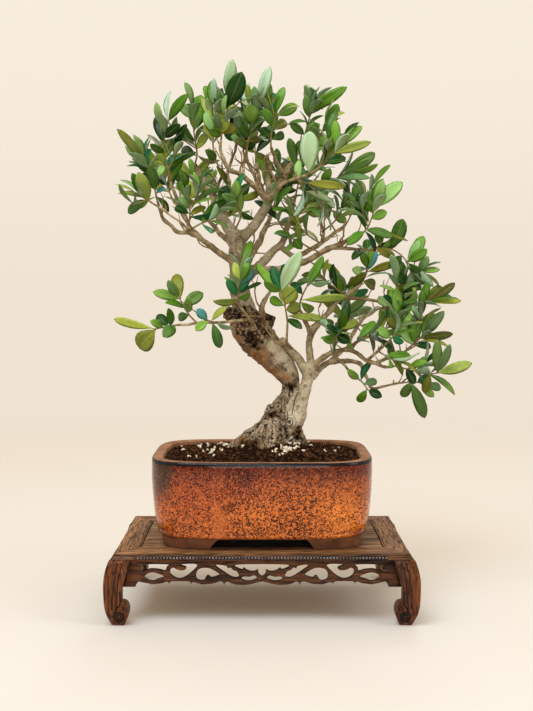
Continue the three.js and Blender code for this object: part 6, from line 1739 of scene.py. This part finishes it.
def glaze_material():
    """A runny orange-brown glaze broken into dark worm-like marks, redder at the rim and the foot."""
    constants = {"Coat Roughness": 0.05, "Coat IOR": 1.5, "Specular IOR Level": 0.08}
    made, w, shader, where = material("brown_glaze", constants)
    height = w.less(w.axis(where, "Z"), STAND_HEIGHT * MM)
    across = w.less(w.axis(where, "X"), float(ORIGIN[0]))
    wide = mottled(w, where, 17.0, 0.2)
    run = w.noise(w.stretched(where, (1.0, 1.0, 0.28)), 60.0, detail=4.0, roughness=0.6)
    curls = w.off(w.noise(where, 450.0, detail=0.4, distortion=1.3), 0.5)
    breaks = w.span(w.noise(where, 380.0, detail=1.0), 0.36, 0.44)
    in_middle = w.rest(w.span(w.off(across, 0.005), 0.02, 0.085))
    crowding = w.plus(w.times(in_middle, 0.028), w.times(wide["Mask"], 0.018))
    thinned = w.less(curls, crowding)
    specks = w.times(w.rest(w.span(thinned, 0.05, 0.09)), breaks)
    fine = w.noise(where, 1500.0, detail=2.0)
    side = w.span(w.plus(across, w.times(run, 0.05)), -0.1, 0.14)
    low = w.rest(w.span(height, 0.01, 0.085))
    orange = w.mix(w.times(w.plus(side, low), 0.5), srgb(188, 82, 34), srgb(240, 138, 46))
    body = w.mix(w.times(wide["Mask"], 0.45), orange, srgb(168, 66, 24))
    top_shade = w.times(w.span(height, 0.035, 0.08), 0.5)
    body = w.mix(top_shade, body, srgb(122, 40, 20))
    off_band = w.maths("ABSOLUTE", w.plus(across, 0.043))
    bare = w.times(w.rest(w.span(off_band, 0.002, 0.011)), w.span(run, 0.3, 0.6))
    banding = w.mix(w.times(bare, 0.4), body, srgb(208, 122, 62))
    rim_band = w.span(w.plus(height, w.times(run, 0.04)), 0.084, 0.106)
    foot_band = w.rest(w.span(w.plus(height, w.times(run, 0.02)), 0.024, 0.036))
    banded = w.mix(w.times(rim_band, 0.9), banding, srgb(98, 30, 16))
    at_corner = w.span(w.maths("ABSOLUTE", across), 0.078, 0.106)
    low_red = w.times(foot_band, w.plus(0.12, w.times(at_corner, 0.78)))
    footed = w.mix(low_red, banded, srgb(112, 34, 16))
    streak_at = w.maths("ABSOLUTE", w.plus(across, 0.102))
    streak_edge = w.plus(streak_at, w.times(w.less(run, 0.5), 0.03))
    streak = w.times(w.rest(w.span(streak_edge, 0.004, 0.013)), w.span(height, 0.04, 0.07))
    streaked = w.mix(w.times(streak, 0.85), footed, srgb(44, 40, 28))
    speck_share = w.times(specks, w.less(0.95, w.times(bare, 0.55)))
    specked = w.mix(speck_share, streaked, srgb(52, 17, 6))
    glints = w.times(w.span(fine, 0.58, 0.7), w.rest(specks))
    glinting = w.mix(w.times(glints, 0.6), specked, srgb(244, 172, 92))
    edge_line = w.times(w.span(height, 0.0866, 0.088), 0.96)
    w.join(shader["Base Color"], w.mix(edge_line, glinting, srgb(15, 18, 26)))
    w.join(shader["Roughness"], w.plus(0.2, w.times(specks, 0.2)))
    w.join(shader["Coat Weight"], w.less(0.7, w.times(specks, 0.4)))
    relief = w.less(w.times(wide["Height"], 0.4), w.times(specks, 0.6))
    w.join(shader["Normal"], w.bump(relief, 0.0004, 0.6))
    return made


def clay_material(name, dark, light):
    """Bare fired clay with a little grog in it."""
    made, w, shader, where = material(name, {"Roughness": 0.82})
    uneven = mottled(w, where, 70.0, 0.28)
    grog = w.span(w.cells(where, 900.0), 0.16, 0.28)
    plain = w.mix(uneven["Mask"], dark, light)
    w.join(shader["Base Color"], w.mix(w.times(w.rest(grog), 0.5), plain, srgb(66, 46, 36)))
    w.join(shader["Normal"], w.bump(w.plus(uneven["Height"], w.times(grog, 0.4)), 0.0005, 0.6))
    return made


# ------------------------------------------------------------------ stand

RAIL_BASE = STAND_HEIGHT - RAIL_THICKNESS
UNDER_RAIL = RAIL_BASE - GAP
# Rail section: distance in from the board's edge, height.
RAIL_EDGE = [(1.3, RAIL_BASE), (0.2, RAIL_BASE + 0.2), (0.2, RAIL_BASE + 0.7), (1.1, RAIL_BASE + 1.0),
             (1.1, RAIL_BASE + 2.1), (0.1, RAIL_BASE + 2.4), (0.0, STAND_HEIGHT - 1.9),
             (0.3, STAND_HEIGHT - 0.9), (0.9, STAND_HEIGHT - 0.25), (1.8, STAND_HEIGHT)]
# The bead along its inner edge: distance back from that edge, below the top.
RAIL_BEAD = [(2.6, 0.0), (2.2, 0.5), (1.6, 0.5), (1.2, 0.0), (0.5, 0.1), (0.0, 0.6)]
SWELL_WITHIN = (20.0, 27.0)      # from its ends: a rail's edge swells out between these
RAIL_STATIONS = [0, 4, 9, 14, 18, 20, 21.5, 23, 24.5, 26, 27, 30, 40]     # from its ends

SIDE_WORDS = {(True, 1): "back", (True, -1): "front", (False, 1): "right", (False, -1): "left"}


def board_halves(on_front):
    """Half the board's size square to one of its edges, and along it."""
    return (BOARD_DEPTH / 2, BOARD_LENGTH / 2) if on_front else (BOARD_LENGTH / 2, BOARD_DEPTH / 2)


def on_edge(on_front, along, out, height):
    """A point beside the front or back edge, or beside a side one, as X, Y and height."""
    return (along, out, height) if on_front else (out, along, height)


def eased(value, low, high):
    part = min(max((value - low) / (high - low), 0.0), 1.0)
    return part * part * (3 - 2 * part)


def edge_point(inset, height, from_end):
    """A rail's edge: moulded in the middle of its length, swelling out to the leg near its ends."""
    near_end = 1 - eased(from_end, *SWELL_WITHIN)
    plain = inset - CORNER_SWELL * ((STAND_HEIGHT - height) / RAIL_THICKNESS) ** 1.3
    if RAIL_BASE + 0.5 < height < RAIL_BASE + 2.4:
        plain -= inset
    return inset + near_end * (plain - inset) if inset < 1.9 else inset


def rail(side, on_front, finish):
    """One board of the mitred frame, moulded along its outer edge, with a bead beside the panel."""
    width = FRONT_RAIL_WIDTH if on_front else SIDE_RAIL_WIDTH
    slope = SIDE_RAIL_WIDTH / FRONT_RAIL_WIDTH if on_front else FRONT_RAIL_WIDTH / SIDE_RAIL_WIDTH
    bead = [(width - back, STAND_HEIGHT - down) for back, down in RAIL_BEAD]
    section = RAIL_EDGE + bead + [(width, RAIL_BASE)]
    out, reach = board_halves(on_front)
    places = [reach - far for far in RAIL_STATIONS] + [20.0]
    places += [-place for place in reversed(places)]
    rows = []
    for place in places:
        row = []
        for inset, height in section:
            edge = edge_point(inset, height, reach - abs(place))
            end = reach - GAP / 2 - 0.1 - edge * slope
            row.append(on_edge(on_front, place * end / reach, side * (out - edge), height))
        rows.append(row)
    count = len(section)
    points = np.concatenate(rows)
    faces = [tuple(range(count)), tuple(reversed(range((len(places) - 1) * count, len(places) * count)))]
    faces += quads_between(len(places), count)
    word = SIDE_WORDS[on_front, side]
    mesh = facing_out(mesh_of("moulded_rail_" + word, points, faces))
    mesh.set_sharp_from_angle(angle=math.radians(40))
    return put("moulded_rail_" + word, mesh, [finish], ["stand_rail_" + word])


PEARL_SPACING = 3.3
PEARL_RADIUS = 0.95
PEARL_STRETCH = 1.1
PEARL_SIDES = 7
PEARL_RINGS = 6
PEARL_INSET = 0.4            # of the pearls' middles from the board's edge
PEARLS_FROM_END = 24.0       # at least this much of a rail's end is left plain
GROOVE_LEVEL = 1.55          # of the groove that they lie in, above the rail's underside


def pearl_tree():
    """Carved pearls at even steps along a straight line, each drawn out a little along it."""
    tree, w, given, out, names = geometry_tree("row_of_pearls", {
        "Count": WHOLE, "First": VECTOR, "Step": VECTOR, "Radius": FLOAT, "Stretch": VECTOR,
        "Finish": FINISH})
    line = w.add("GeometryNodeMeshLine", {"Count": given["Count"], "Start Location": given["First"],
                                          "Offset": given["Step"]}, mode="OFFSET")
    pearl = w.add("GeometryNodeMeshUVSphere", {"Segments": PEARL_SIDES, "Rings": PEARL_RINGS,
                                               "Radius": given["Radius"]})
    w.repeat(out, given["Finish"], {"Points": line.outputs[0], "Instance": pearl.outputs["Mesh"],
                                    "Scale": given["Stretch"]})
    return tree, names


def pearl_row(side, on_front, row_tree, finish):
    """A row of carved pearls in the groove of a rail's edge, between the corners."""
    tree, names = row_tree
    out, reach = board_halves(on_front)
    half_count = int((reach - PEARLS_FROM_END) / PEARL_SPACING)
    first = (-half_count * PEARL_SPACING, side * (out - PEARL_INSET), RAIL_BASE + GROOVE_LEVEL)
    mesh = repeated(bpy.data.meshes.new("no_ground"), tree, names, finish, {
        "count": 2 * half_count + 1, "radius": PEARL_RADIUS * MM,
        "first": in_frame(on_edge(on_front, *first)).tolist(),
        "step": on_edge(on_front, PEARL_SPACING * MM, 0.0, 0.0),
        "stretch": on_edge(on_front, PEARL_STRETCH, 1.0, 1.0)})
    return put("pearl_row_" + SIDE_WORDS[on_front, side], smoothed(mesh), [finish])


# The panel's edge from below: distance in, height.
PANEL_PROFILE = [(1.0, RAIL_BASE + 1), (0.3, RAIL_BASE + 1.2), (0.3, STAND_HEIGHT - 1.0),
                 (0.7, STAND_HEIGHT - 0.35), (1.4, STAND_HEIGHT - 0.05), (2.2, STAND_HEIGHT - 0.02),
                 (9.0, STAND_HEIGHT - 0.02)]


def panel(finish):
    """The floating panel, its edge eased, let into the frame."""
    x = BOARD_LENGTH / 2 - SIDE_RAIL_WIDTH - GAP
    y = BOARD_DEPTH / 2 - FRONT_RAIL_WIDTH - GAP
    rings = []
    for inset, z in PANEL_PROFILE:
        a, b = x - inset, y - inset
        rings.append(np.array([(-a, -b, z), (a, -b, z), (a, b, z), (-a, b, z)]))
    mesh = mesh_of("floating_panel", *ring_skin(rings))
    mesh.set_sharp_from_angle(angle=math.radians(40))
    return put("floating_panel", mesh, [finish], ["stand_panel"])


LEG_OUTSIDE = [(3.4, UNDER_RAIL), (4.4, 64.2), (5.4, 62.5), (7.0, 58.0), (8.1, 53.0), (8.9, 47.0),
               (9.1, 41.0), (9.0, 34.0), (8.7, 27.5), (8.1, 21.0), (7.2, 15.6), (6.0, 11.2), (4.5, 7.6),
               (2.7, 3.6), (0.8, 0.0)]
LEG_INSIDE = [(-11, 0), (-12.6, 3.0), (-14, 6.5), (-15.0, 10.5), (-15.2, 14), (-14.6, 17.8), (-13.4, 20.6),
              (-11.9, 22.4), (-10.4, 23.4), (-9.0, 24.2), (-8.5, 25.6), (-8.5, 32.0), (-8.6, 38.5),
              (-10.4, 41.5), (-11.8, 47.0), (-14, 56), (-15.4, 61.5), (-16.4, UNDER_RAIL)]
LEG_EASE = 0.9
LEG_REACH_ACROSS = (-17, 13)      # of its block, from the board's edge
LEG_REACH_DEEP = (-16, 12)
SCROLL_EYE = (-6.3, 9.4)
SCROLL_RADIUS = 5.0
SCROLL_CURL_RADIUS = 2.3
# Carved lines down a leg's outer faces: how far out from the board's edge at mid height.
LEG_LINES = (-1.2, -5.4)
LEG_LINE_COURSE = [(2.0, 17.5), (1.2, 28.0), (0.0, 40.0), (-1.6, 52.0), (-4.0, 63.5)]    # outwards, height


def leg(side_x, side_y, finish, dark_finish):
    """A cabriole leg: the front profile and the side profile in one, with a carved scroll at the foot."""
    profile = np.array(list(smooth_line(LEG_OUTSIDE, 3)) + list(smooth_line(LEG_INSIDE, 3)))
    half_x, half_y = BOARD_LENGTH / 2, BOARD_DEPTH / 2
    front = [(side_x * (half_x + d), z) for d, z in profile]
    side = [(side_y * (half_y + d), z) for d, z in profile]
    across = sorted(side_x * (half_x + by) for by in LEG_REACH_ACROSS)
    deep = sorted(side_y * (half_y + by) for by in LEG_REACH_DEEP)
    mesh = facing_out(extruded(front, *deep, "y"))
    cutter = cutter_of(facing_out(extruded(side, *across, "x")))
    eased_edges = {"width": LEG_EASE * MM, "segments": 2, "limit_method": "ANGLE",
                   "angle_limit": math.radians(45)}
    mesh = with_modifiers(mesh, cut_by(cutter, "INTERSECT"), ("BEVEL", eased_edges))
    bpy.data.objects.remove(cutter)
    word = SIDE_WORDS[True, side_y] + "_" + SIDE_WORDS[False, side_x]
    put("cabriole_leg_" + word, smoothed(mesh, 35), [finish], ["stand_leg_" + word])
    put("foot_scroll_" + word, scroll_mesh(side_x, side_y), [dark_finish])


def scroll_mesh(side_x, side_y):
    """The carved ring and curl on the two outer faces of a foot, with the lines that run up the leg."""
    shell = Shell()

    def carved(on_front, drawn, radius):
        out, half = board_halves(on_front)
        side, facing = (side_x, side_y) if on_front else (side_y, side_x)
        line = [on_edge(on_front, side * (half + d), outer_face(z, facing, out), z) for d, z in drawn]
        shell.add(*tube(line, np.full(len(line), radius), 6))

    turns = np.linspace(0.0, 2.06 * math.pi, 40)
    eye_x, eye_z = SCROLL_EYE
    for on_front in (True, False):
        for radius, steps, thickness in ((SCROLL_RADIUS, turns, 0.9), (SCROLL_CURL_RADIUS, turns[::2], 0.6)):
            ring = [(eye_x + radius * math.cos(t), eye_z + radius * math.sin(t)) for t in steps]
            carved(on_front, ring, thickness)
        curl = [(eye_x + 4.6, eye_z + 2.6), (-4.5, 18.5), (-7.5, 22.6), (-8.0, 27.0), (-7.9, 36.0)]
        carved(on_front, smooth_line(curl, 4), 0.75)
        for leaning in LEG_LINES:
            line = [(leaning + lean, height) for lean, height in LEG_LINE_COURSE]
            carved(on_front, smooth_line(line, 4), 0.5)
    return facing_out(mesh_of("foot_scroll", shell.points, shell.faces))


def outer_face(height, side, half):
    """How far out the leg's outer face lies at a height."""
    heights = [z for _, z in reversed(LEG_OUTSIDE)]
    outs = [d for d, _ in reversed(LEG_OUTSIDE)]
    return side * (half + float(np.interp(height, heights, outs)) + 0.25)


# Pierced cloud scrolls of an apron: across from its middle, height. The first is on the middle.
SCROLLS = [
    [(-25.7, 58.9), (-20.8, 54.0), (-18.6, 55.6), (-15.4, 53.6), (-11, 52.2), (-6.7, 52.6), (-4, 53.8),
     (-3.4, 50.6), (0, 47.2), (3.4, 50.6), (4, 53.8), (6.7, 52.6), (11, 52.2), (15.4, 53.6),
     (18.6, 55.6), (20.8, 54.0), (25.7, 58.9)],
    [(-20.6, 45.4), (-18.5, 46.9), (-12.9, 46.7), (-8.6, 48), (-5.7, 46.8), (-6.2, 44.6), (-11.8, 42.5),
     (-18.7, 43.2)],
    [(-45, 58.9), (-36.2, 57.5), (-35.1, 55.3), (-31.9, 55.9), (-29.2, 53.3), (-25.8, 52.2),
     (-23.5, 47.8), (-25.8, 46), (-30.3, 46.6), (-37, 50.5), (-46.6, 57.5)],
    [(-66.8, 50.0), (-64.2, 54.3), (-58.3, 55.8), (-52, 54.8), (-44.2, 50.2), (-44.2, 48.2), (-51, 46),
     (-53.1, 47.2), (-55.2, 48.2), (-57.3, 46.2), (-58.9, 43.4), (-62.6, 42.9), (-66, 45)],
    [(-92.9, 54.3), (-93.1, 50.6), (-90.2, 47.2), (-84.9, 45.0), (-79.7, 46.0), (-73, 50.3),
     (-66.1, 59.1), (-82.8, 59.1), (-76.9, 56.4), (-78.5, 53.7), (-82.8, 53.2), (-87, 54.3),
     (-90.2, 55.8)],
    [(-118.8, 48.1), (-113.6, 50.9), (-107.2, 50.4), (-99.4, 46.9), (-106.2, 44.2), (-111.5, 42.6),
     (-117.6, 44.6)],
    [(-121.6, 56.4), (-121, 59.1), (-95.6, 59.1), (-97.1, 56.4), (-98.5, 52.7), (-104.1, 54.1),
     (-112.6, 54.8), (-121, 53.2)],
]
EDGE_SCALLOPS = [(-128.6, 36.4), (-127.4, 39.6), (-125.2, 41.9), (-120.4, 40.8), (-111.5, 39.0),
                 (-102, 40.0), (-97, 41.7), (-95.3, 41.2), (-94.6, 39.2), (-93.6, 41.2), (-91.5, 42.1),
                 (-84.9, 42.3), (-75.2, 42.2), (-73.2, 41.4), (-72.1, 39.2), (-71, 41.0), (-68.5, 41.0),
                 (-61.2, 38.9), (-51, 39.5), (-42.5, 42.0), (-39.8, 41.2), (-38.5, 38.2), (-37.2, 41.0),
                 (-34.6, 41.8), (-31, 40.0), (-25.7, 38.5), (-17.3, 38.2), (-10, 39.4), (-4, 41.2),
                 (0, 41.9)]
EDGE_EASE = 1.45
CLEAR_OF_MIDDLE = 22.0            # of a side apron: the outer scrolls keep this far from it


def mirrored(points):
    return [(-a, b) for a, b in points]


def area_of(points):
    a = np.asarray(points, float)
    b = np.roll(a, -1, axis=0)
    return float(np.sum(a[:, 0] * b[:, 1] - b[:, 0] * a[:, 1]) / 2)


def flat_board(name, outline, holes, thickness):
    """A board with pierced shapes, its edges rounded over, lying flat and facing up, in millimetres."""
    drawn = bpy.data.curves.new(name, "CURVE")
    drawn.dimensions = "2D"
    drawn.fill_mode = "BOTH"
    drawn.extrude = thickness / 2 - EDGE_EASE
    drawn.bevel_depth = EDGE_EASE
    drawn.bevel_resolution = 3
    drawn.offset = -EDGE_EASE
    for number, points in enumerate([outline, *holes]):
        if (area_of(points) > 0) != (number == 0):
            points = points[::-1]
        spline = drawn.splines.new("POLY")
        spline.points.add(len(points) - 1)
        spline.points.foreach_set("co", [value for a, b in points for value in (a, b, 0.0, 1.0)])
        spline.use_cyclic_u = True
    return plain_mesh(in_scene(name, drawn))


def curled(points, steps=4):
    return [tuple(p) for p in smooth_line(points, steps, closed=True)]


def apron(side, on_front, finish):
    """A pierced apron, its vine cut through it as openings, its edges rounded over."""
    board_out, board_half = board_halves(on_front)
    shorten = BOARD_LENGTH / 2 - board_half
    foot = EDGE_SCALLOPS[0][1]
    leg_edge = [(d, z) for d, z in smooth_line(LEG_INSIDE, 3) if z > foot]
    end = [(-(board_half + d - GAP), z) for d, z in leg_edge]
    scallops = [(a + shorten, b) for a, b in EDGE_SCALLOPS if a + shorten < -1] + EDGE_SCALLOPS[-1:]
    left = [*reversed(end[1:]), (end[0][0], foot), *scallops]
    outline = left + mirrored(left[:-1])[::-1]
    pulled = [[(a + shorten, b) for a, b in hole] for hole in SCROLLS[2:]]
    beside = [SCROLLS[1]] + [hole for hole in pulled if max(a for a, _ in hole) < -CLEAR_OF_MIDDLE]
    holes = [curled(hole) for hole in [SCROLLS[0], *beside, *map(mirrored, beside)]]
    mesh = flat_board("apron", outline, holes, APRON_THICKNESS)
    flat = mesh_points(mesh)
    reach = board_half - APRON_FRONT - GAP
    face = board_out - APRON_FRONT
    shaped = []
    for a, up, out in flat:
        outward_by = face - APRON_THICKNESS / 2 + out
        limit = reach - (face - outward_by)
        shaped.append(on_edge(on_front, max(-limit, min(limit, a)), side * outward_by, up))
    set_mesh_points(mesh, in_frame(shaped))
    word = SIDE_WORDS[on_front, side]
    mesh = smoothed(facing_out(mesh), 50)
    return put("pierced_apron_" + word, mesh, [finish], ["stand_apron_" + word])


# Each way from the middle of the stand, in metres: axis, middle, half length.
GROOVE_REACH = [("X", float(ORIGIN[0]), 0.124), ("Y", float(ORIGIN[1]), 0.066)]
# Where the panel is painted near-black with the pot's shadow:
PAINTED_SHADOW_REACH = [("X", float(ORIGIN[0]), 0.104), ("Y", float(ORIGIN[1]), 0.078)]


def stand_wood(name, along, dark, light, roughness, dark_sides_off=None):
    """Oiled hardwood, its grain along one way of the piece, with a painted sheen that makes the faces that
    look up lighter and greyer.

    Where the surface doesn't face along the named axis, it is near-black under a clear coat: partly black
    lacquer, partly painted shade in the walls of the piercings.
    """
    made, w, shader, where = material(name, {"Specular IOR Level": 0.2, "Coat Roughness": 0.25})
    grain_at = where
    if along != "x":
        parts = w.add("ShaderNodeSeparateXYZ", {"Vector": where}).outputs
        order = {"y": "YXZ", "z": "ZXY"}[along]
        swapped = {axis: parts[own] for axis, own in zip("XYZ", order)}
        grain_at = w.add("ShaderNodeCombineXYZ", swapped).outputs[0]
    grain = w.group(GRAIN, Where=grain_at, Dark=dark, Light=light)
    geometry = w.add("ShaderNodeNewGeometry").outputs
    # Painted sheen: faces that look up are mixed towards a lighter, greyer copy of the wood.
    painted_top_sheen = w.span(w.axis(geometry["Normal"], "Z"), 0.6, 0.95)
    dulled = w.tinted(grain["Colour"], (2.4, 2.6, 2.8, 1.0))
    colour = w.mix(w.times(painted_top_sheen, 0.85), grain["Colour"], dulled)
    rough = w.plus(roughness - 0.06, w.times(grain["Pores"], 0.25))
    if dark_sides_off:
        # Partly lacquer, partly painted shade: faces that don't look along the axis go near-black.
        facing = w.maths("ABSOLUTE", w.axis(geometry["Normal"], dark_sides_off))
        dark_sides = w.rest(w.span(facing, 0.42, 0.72))
        colour = w.mix(w.times(dark_sides, 0.94), colour, srgb(26, 26, 31))
        rough = w.less(rough, w.times(dark_sides, 0.2))
        w.join(shader["Coat Weight"], w.times(dark_sides, 0.9))
    if name.startswith("rail"):
        # The groove is painted near-black: partly the black lacquer in it, partly painted shade in the
        # groove.
        off_groove = w.off(w.axis(where, "Z"), (RAIL_BASE + GROOVE_LEVEL) * MM)
        past_ends = [w.span(w.off(w.axis(where, key), middle), half, half + 0.002)
                     for key, middle, half in GROOVE_REACH]
        at_corner = w.times(*past_ends)
        groove = w.less(w.rest(w.span(off_groove, 0.0007, 0.0011)), at_corner, clamp=True)
        colour = w.mix(w.times(groove, 0.95), colour, srgb(16, 14, 16))
    if name == "panel_wood":
        # Painted shadow: the panel is near-black under the pot, where the pot shades it.
        off = [w.maths("DIVIDE", w.off(w.axis(where, key), middle), half)
               for key, middle, half in PAINTED_SHADOW_REACH]
        painted_shadow = w.rest(w.span(w.maths("MAXIMUM", *off), 0.9, 1.0))
        colour = w.mix(w.times(painted_shadow, 0.93), colour, srgb(14, 10, 8))
    w.join(shader["Base Color"], colour)
    w.join(shader["Roughness"], rough)
    w.join(shader["Normal"], w.bump(grain["Height"], 0.0004, 0.7))
    return made


# ------------------------------------------------------------------ assembly


def screen_material():
    """Woven plastic mesh of the drain screen."""
    made, w, shader, where = material("drain_screen", {"Roughness": 0.7})
    threads = [w.maths("SINE", w.times(w.axis(where, name), 2 * math.pi / 0.003)) for name in "XY"]
    weave = w.maths("MAXIMUM", *threads)
    w.join(shader["Base Color"], w.mix(w.span(weave, 0.3, 0.8), srgb(16, 22, 18), srgb(52, 66, 54)))
    w.join(shader["Normal"], w.bump(weave, 0.0005, 0.8))
    return made


RAIL_TONES = (srgb(50, 30, 18), srgb(124, 86, 52))
APRON_TONES = (srgb(30, 15, 8), srgb(108, 66, 36))


def stand():
    top_x = stand_wood("rail_wood_along", "x", *RAIL_TONES, 0.5)
    top_y = stand_wood("rail_wood_across", "y", *RAIL_TONES, 0.5)
    panel_wood = stand_wood("panel_wood", "x", srgb(62, 42, 26), srgb(128, 94, 60), 0.55)
    carved_x = stand_wood("carved_wood_along", "x", *APRON_TONES, 0.4, "Y")
    carved_y = stand_wood("carved_wood_across", "y", *APRON_TONES, 0.4, "X")
    leg_wood = stand_wood("leg_wood", "z", srgb(50, 25, 12), srgb(130, 74, 37), 0.42)
    # The carved ring, curl and leg lines are near-black: painted shade for the cuts of the carving.
    carved_line_shade = stand_wood("carved_line_shade_wood", "z", srgb(10, 7, 6), srgb(26, 18, 13), 0.35)
    # The pearls are painted pale blue-grey: painted highlights, standing for the glints on the dark lacquered
    # pearls.
    pearl = clay_material("pearl_painted_highlights", srgb(64, 66, 76), srgb(150, 156, 170))
    row_tree = pearl_tree()
    panel(panel_wood)
    for side in (-1, 1):
        rail(side, True, top_x)
        rail(side, False, top_y)
        for on_front in (True, False):
            pearl_row(side, on_front, row_tree, pearl)
        apron(side, True, carved_x)
        apron(side, False, carved_y)
        for side_y in (-1, 1):
            leg(side, side_y, leg_wood, carved_line_shade)


def pot_and_soil():
    glaze = glaze_material()
    foot = clay_material("foot_clay", srgb(92, 56, 36), srgb(142, 92, 60))
    lip = clay_material("lip_clay", srgb(124, 82, 56), srgb(172, 126, 92))
    pot_body([foot, glaze, lip])
    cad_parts["drain_screen"].data.materials.clear()
    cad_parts["drain_screen"].data.materials.append(screen_material())
    earth = soil_material("soil", srgb(9, 5, 3), srgb(56, 35, 22))
    return soil_bed(earth), earth


def soil_cover(bed, wood, earth):
    grit = soil_material("grit", srgb(206, 192, 162), srgb(252, 248, 238))
    crumb = soil_material("crumb", srgb(40, 24, 15), srgb(104, 70, 45))
    on_faces, names = scatter_tree("strewn_grains", True, 1)
    scattered("soil_grains", top_of(bed), on_faces, names, earth, density=GRAIN_DENSITY, size=GRAIN_SIZE,
              sink=-0.0002, seed=11)
    scattered("soil_crumbs", top_of(bed), on_faces, names, crumb, density=CRUMB_DENSITY, size=CRUMB_SIZE,
              sink=0.0002, seed=23)
    on_points, names = scatter_tree("set_grit", False, 2)
    scattered("white_grit", grit_points(bed, wood), on_points, names, grit, size=GRIT_SIZE, sink=-0.0006,
              seed=5)


# ------------------------------------------------------------------ room, light and camera

ROOM_COLOUR = srgb(240, 227, 210)
ROOM_TOP_COLOUR = srgb(248, 237, 220)
ROOM_GLOW = srgb(255, 228, 192)
FLOOR_GLOW = srgb(236, 178, 118)
FLOOR_COLOUR = srgb(210, 216, 221)
FLOOR_GLOW_STRENGTH = 0.1
FLOOR_SIDES = 64
FLOOR_RINGS = (0.3, 0.8, 1.6, 3.0, 5.0, 9.0)
# Share of the room's brightness that falls on dull things, from the side and from above.
ROOM_LIGHT = (0.62, 0.95)
# Share of it that shows in glossy ones, from the camera's side and from the others.
ROOM_SHINE = (0.1, 0.5)
LENS = 53.11
SHIFT_ACROSS = 0.0063
SHIFT_DOWN = -0.0809


def room_strength(w, way):
    """The bright room as it is seen, but dimmer where it lights or is mirrored, most on the camera's side."""
    ray = w.add("ShaderNodeLightPath").outputs
    from_above = w.span(w.axis(way, "Z"), 0.0, 1.0)
    from_behind = w.span(w.axis(way, "Y"), -0.92, -0.3)
    light = w.plus(ROOM_LIGHT[0], w.times(from_above, ROOM_LIGHT[1] - ROOM_LIGHT[0]))
    shine = w.plus(ROOM_SHINE[0], w.times(from_behind, ROOM_SHINE[1] - ROOM_SHINE[0]))
    dulled = w.times(ray["Is Diffuse Ray"], w.rest(light))
    mirrored_part = w.times(ray["Is Glossy Ray"], w.rest(shine))
    return w.less(w.rest(dulled), mirrored_part)


def room():
    sides = FLOOR_SIDES
    points = [(0.0, 0.0, 0.0)]
    for radius in FLOOR_RINGS:
        points += [(radius * math.cos(t), radius * math.sin(t), 0.0) for t in full_turn(sides)]
    faces = [(0, 1 + k, 1 + (k + 1) % sides) for k in range(sides)]
    faces += quads_between(len(FLOOR_RINGS), sides, 1)
    mesh = bpy.data.meshes.new("floor")
    mesh.from_pydata(points, [], faces)
    floor = in_scene("floor", mesh)
    made, w, shader, where = material("floor_paper", {"Roughness": 0.95, "Specular IOR Level": 0.1})
    spread = w.add("ShaderNodeVectorMath", {0: where}, operation="LENGTH").outputs["Value"]
    uneven = mottled(w, where, 3.0, 0.4)
    w.join(shader["Base Color"], w.mix(w.times(uneven["Mask"], 0.03), FLOOR_COLOUR, ROOM_COLOUR))
    shader["Emission Color"].default_value = FLOOR_GLOW
    shader["Emission Strength"].default_value = FLOOR_GLOW_STRENGTH
    away = w.vector_maths("NORMALIZE", {0: where})
    far = w.add("ShaderNodeEmission", {"Color": ROOM_COLOUR, "Strength": room_strength(w, away)})
    near = made.node_tree.nodes["Principled BSDF"].outputs[0]
    blend = w.add("ShaderNodeMixShader", {0: w.span(spread, 0.55, 2.2), 1: near, 2: far.outputs[0]})
    w.join(made.node_tree.nodes["Material Output"].inputs["Surface"], blend.outputs[0])
    mesh.materials.append(made)
    world = bpy.data.worlds.new("studio")
    world.use_nodes = True
    w = Wiring(world.node_tree)
    background = world.node_tree.nodes["Background"].inputs
    way = w.add("ShaderNodeTexCoord").outputs["Generated"]
    seen = w.mix(w.span(w.axis(way, "Z"), 0.0, 0.26), ROOM_COLOUR, ROOM_TOP_COLOUR)
    lighting = w.add("ShaderNodeLightPath").outputs["Is Diffuse Ray"]
    w.join(background["Color"], w.mix(lighting, seen, ROOM_GLOW))
    w.join(background["Strength"], room_strength(w, way))
    bpy.context.scene.world = world


SENSOR_WIDTH = 36.0
LIGHTS_AIM = 0.3
# Soft lights: name, place, width, power, colour.
LIGHTS = [
    ("window_light", (-0.7, -1.2, 2.3), 1.6, 36.0, (0.94, 0.98, 1.0)),
    ("right_light", (1.7, -0.9, 1.2), 0.8, 9.0, (1.0, 0.99, 0.97)),
    ("back_light", (0.5, 1.7, 1.9), 0.9, 8.0, (1.0, 0.99, 0.97)),
    ("low_light", (0.2, -2.6, 0.3), 1.4, 13.0, (1.0, 0.98, 0.95)),
]


def softbox(name, place, size, power, colour):
    light = bpy.data.lights.new(name, "AREA")
    light.shape = "DISK"
    light.size = size
    light.energy = power
    light.color = colour
    holder = in_scene(name, light)
    holder.location = place
    target = Vector((ORIGIN[0], ORIGIN[1], LIGHTS_AIM))
    holder.rotation_euler = (target - Vector(place)).to_track_quat("-Z", "Y").to_euler()
    holder.visible_camera = False


def lights_and_camera():
    for light in LIGHTS:
        softbox(*light)
    lens = bpy.data.cameras.new("camera")
    lens.lens = LENS
    lens.sensor_width = SENSOR_WIDTH
    lens.shift_x = SHIFT_ACROSS
    lens.shift_y = SHIFT_DOWN
    camera = in_scene("camera", lens)
    camera.location = in_frame((0.0, -EYE_DISTANCE, EYE_HEIGHT))
    camera.rotation_euler = (math.pi / 2, 0, 0)
    bpy.context.scene.camera = camera
    bpy.context.scene.view_settings.view_transform = "Standard"


def tree():
    bark = bark_material()
    wood = old_wood(bark)
    thin_limbs(bark)
    young_bark = twig_material()
    bare_twigs(young_bark)
    finishes = [leaf_material(), young_bark]
    for number, name in enumerate(SPRAYS):
        foliage(name, number, finishes)
    return wood


def build():
    noise.seed_set(DRAW_SEED)
    lights_and_camera()
    room()
    stand()
    bed, earth = pot_and_soil()
    wood = tree()
    soil_cover(bed, wood, earth)


build()
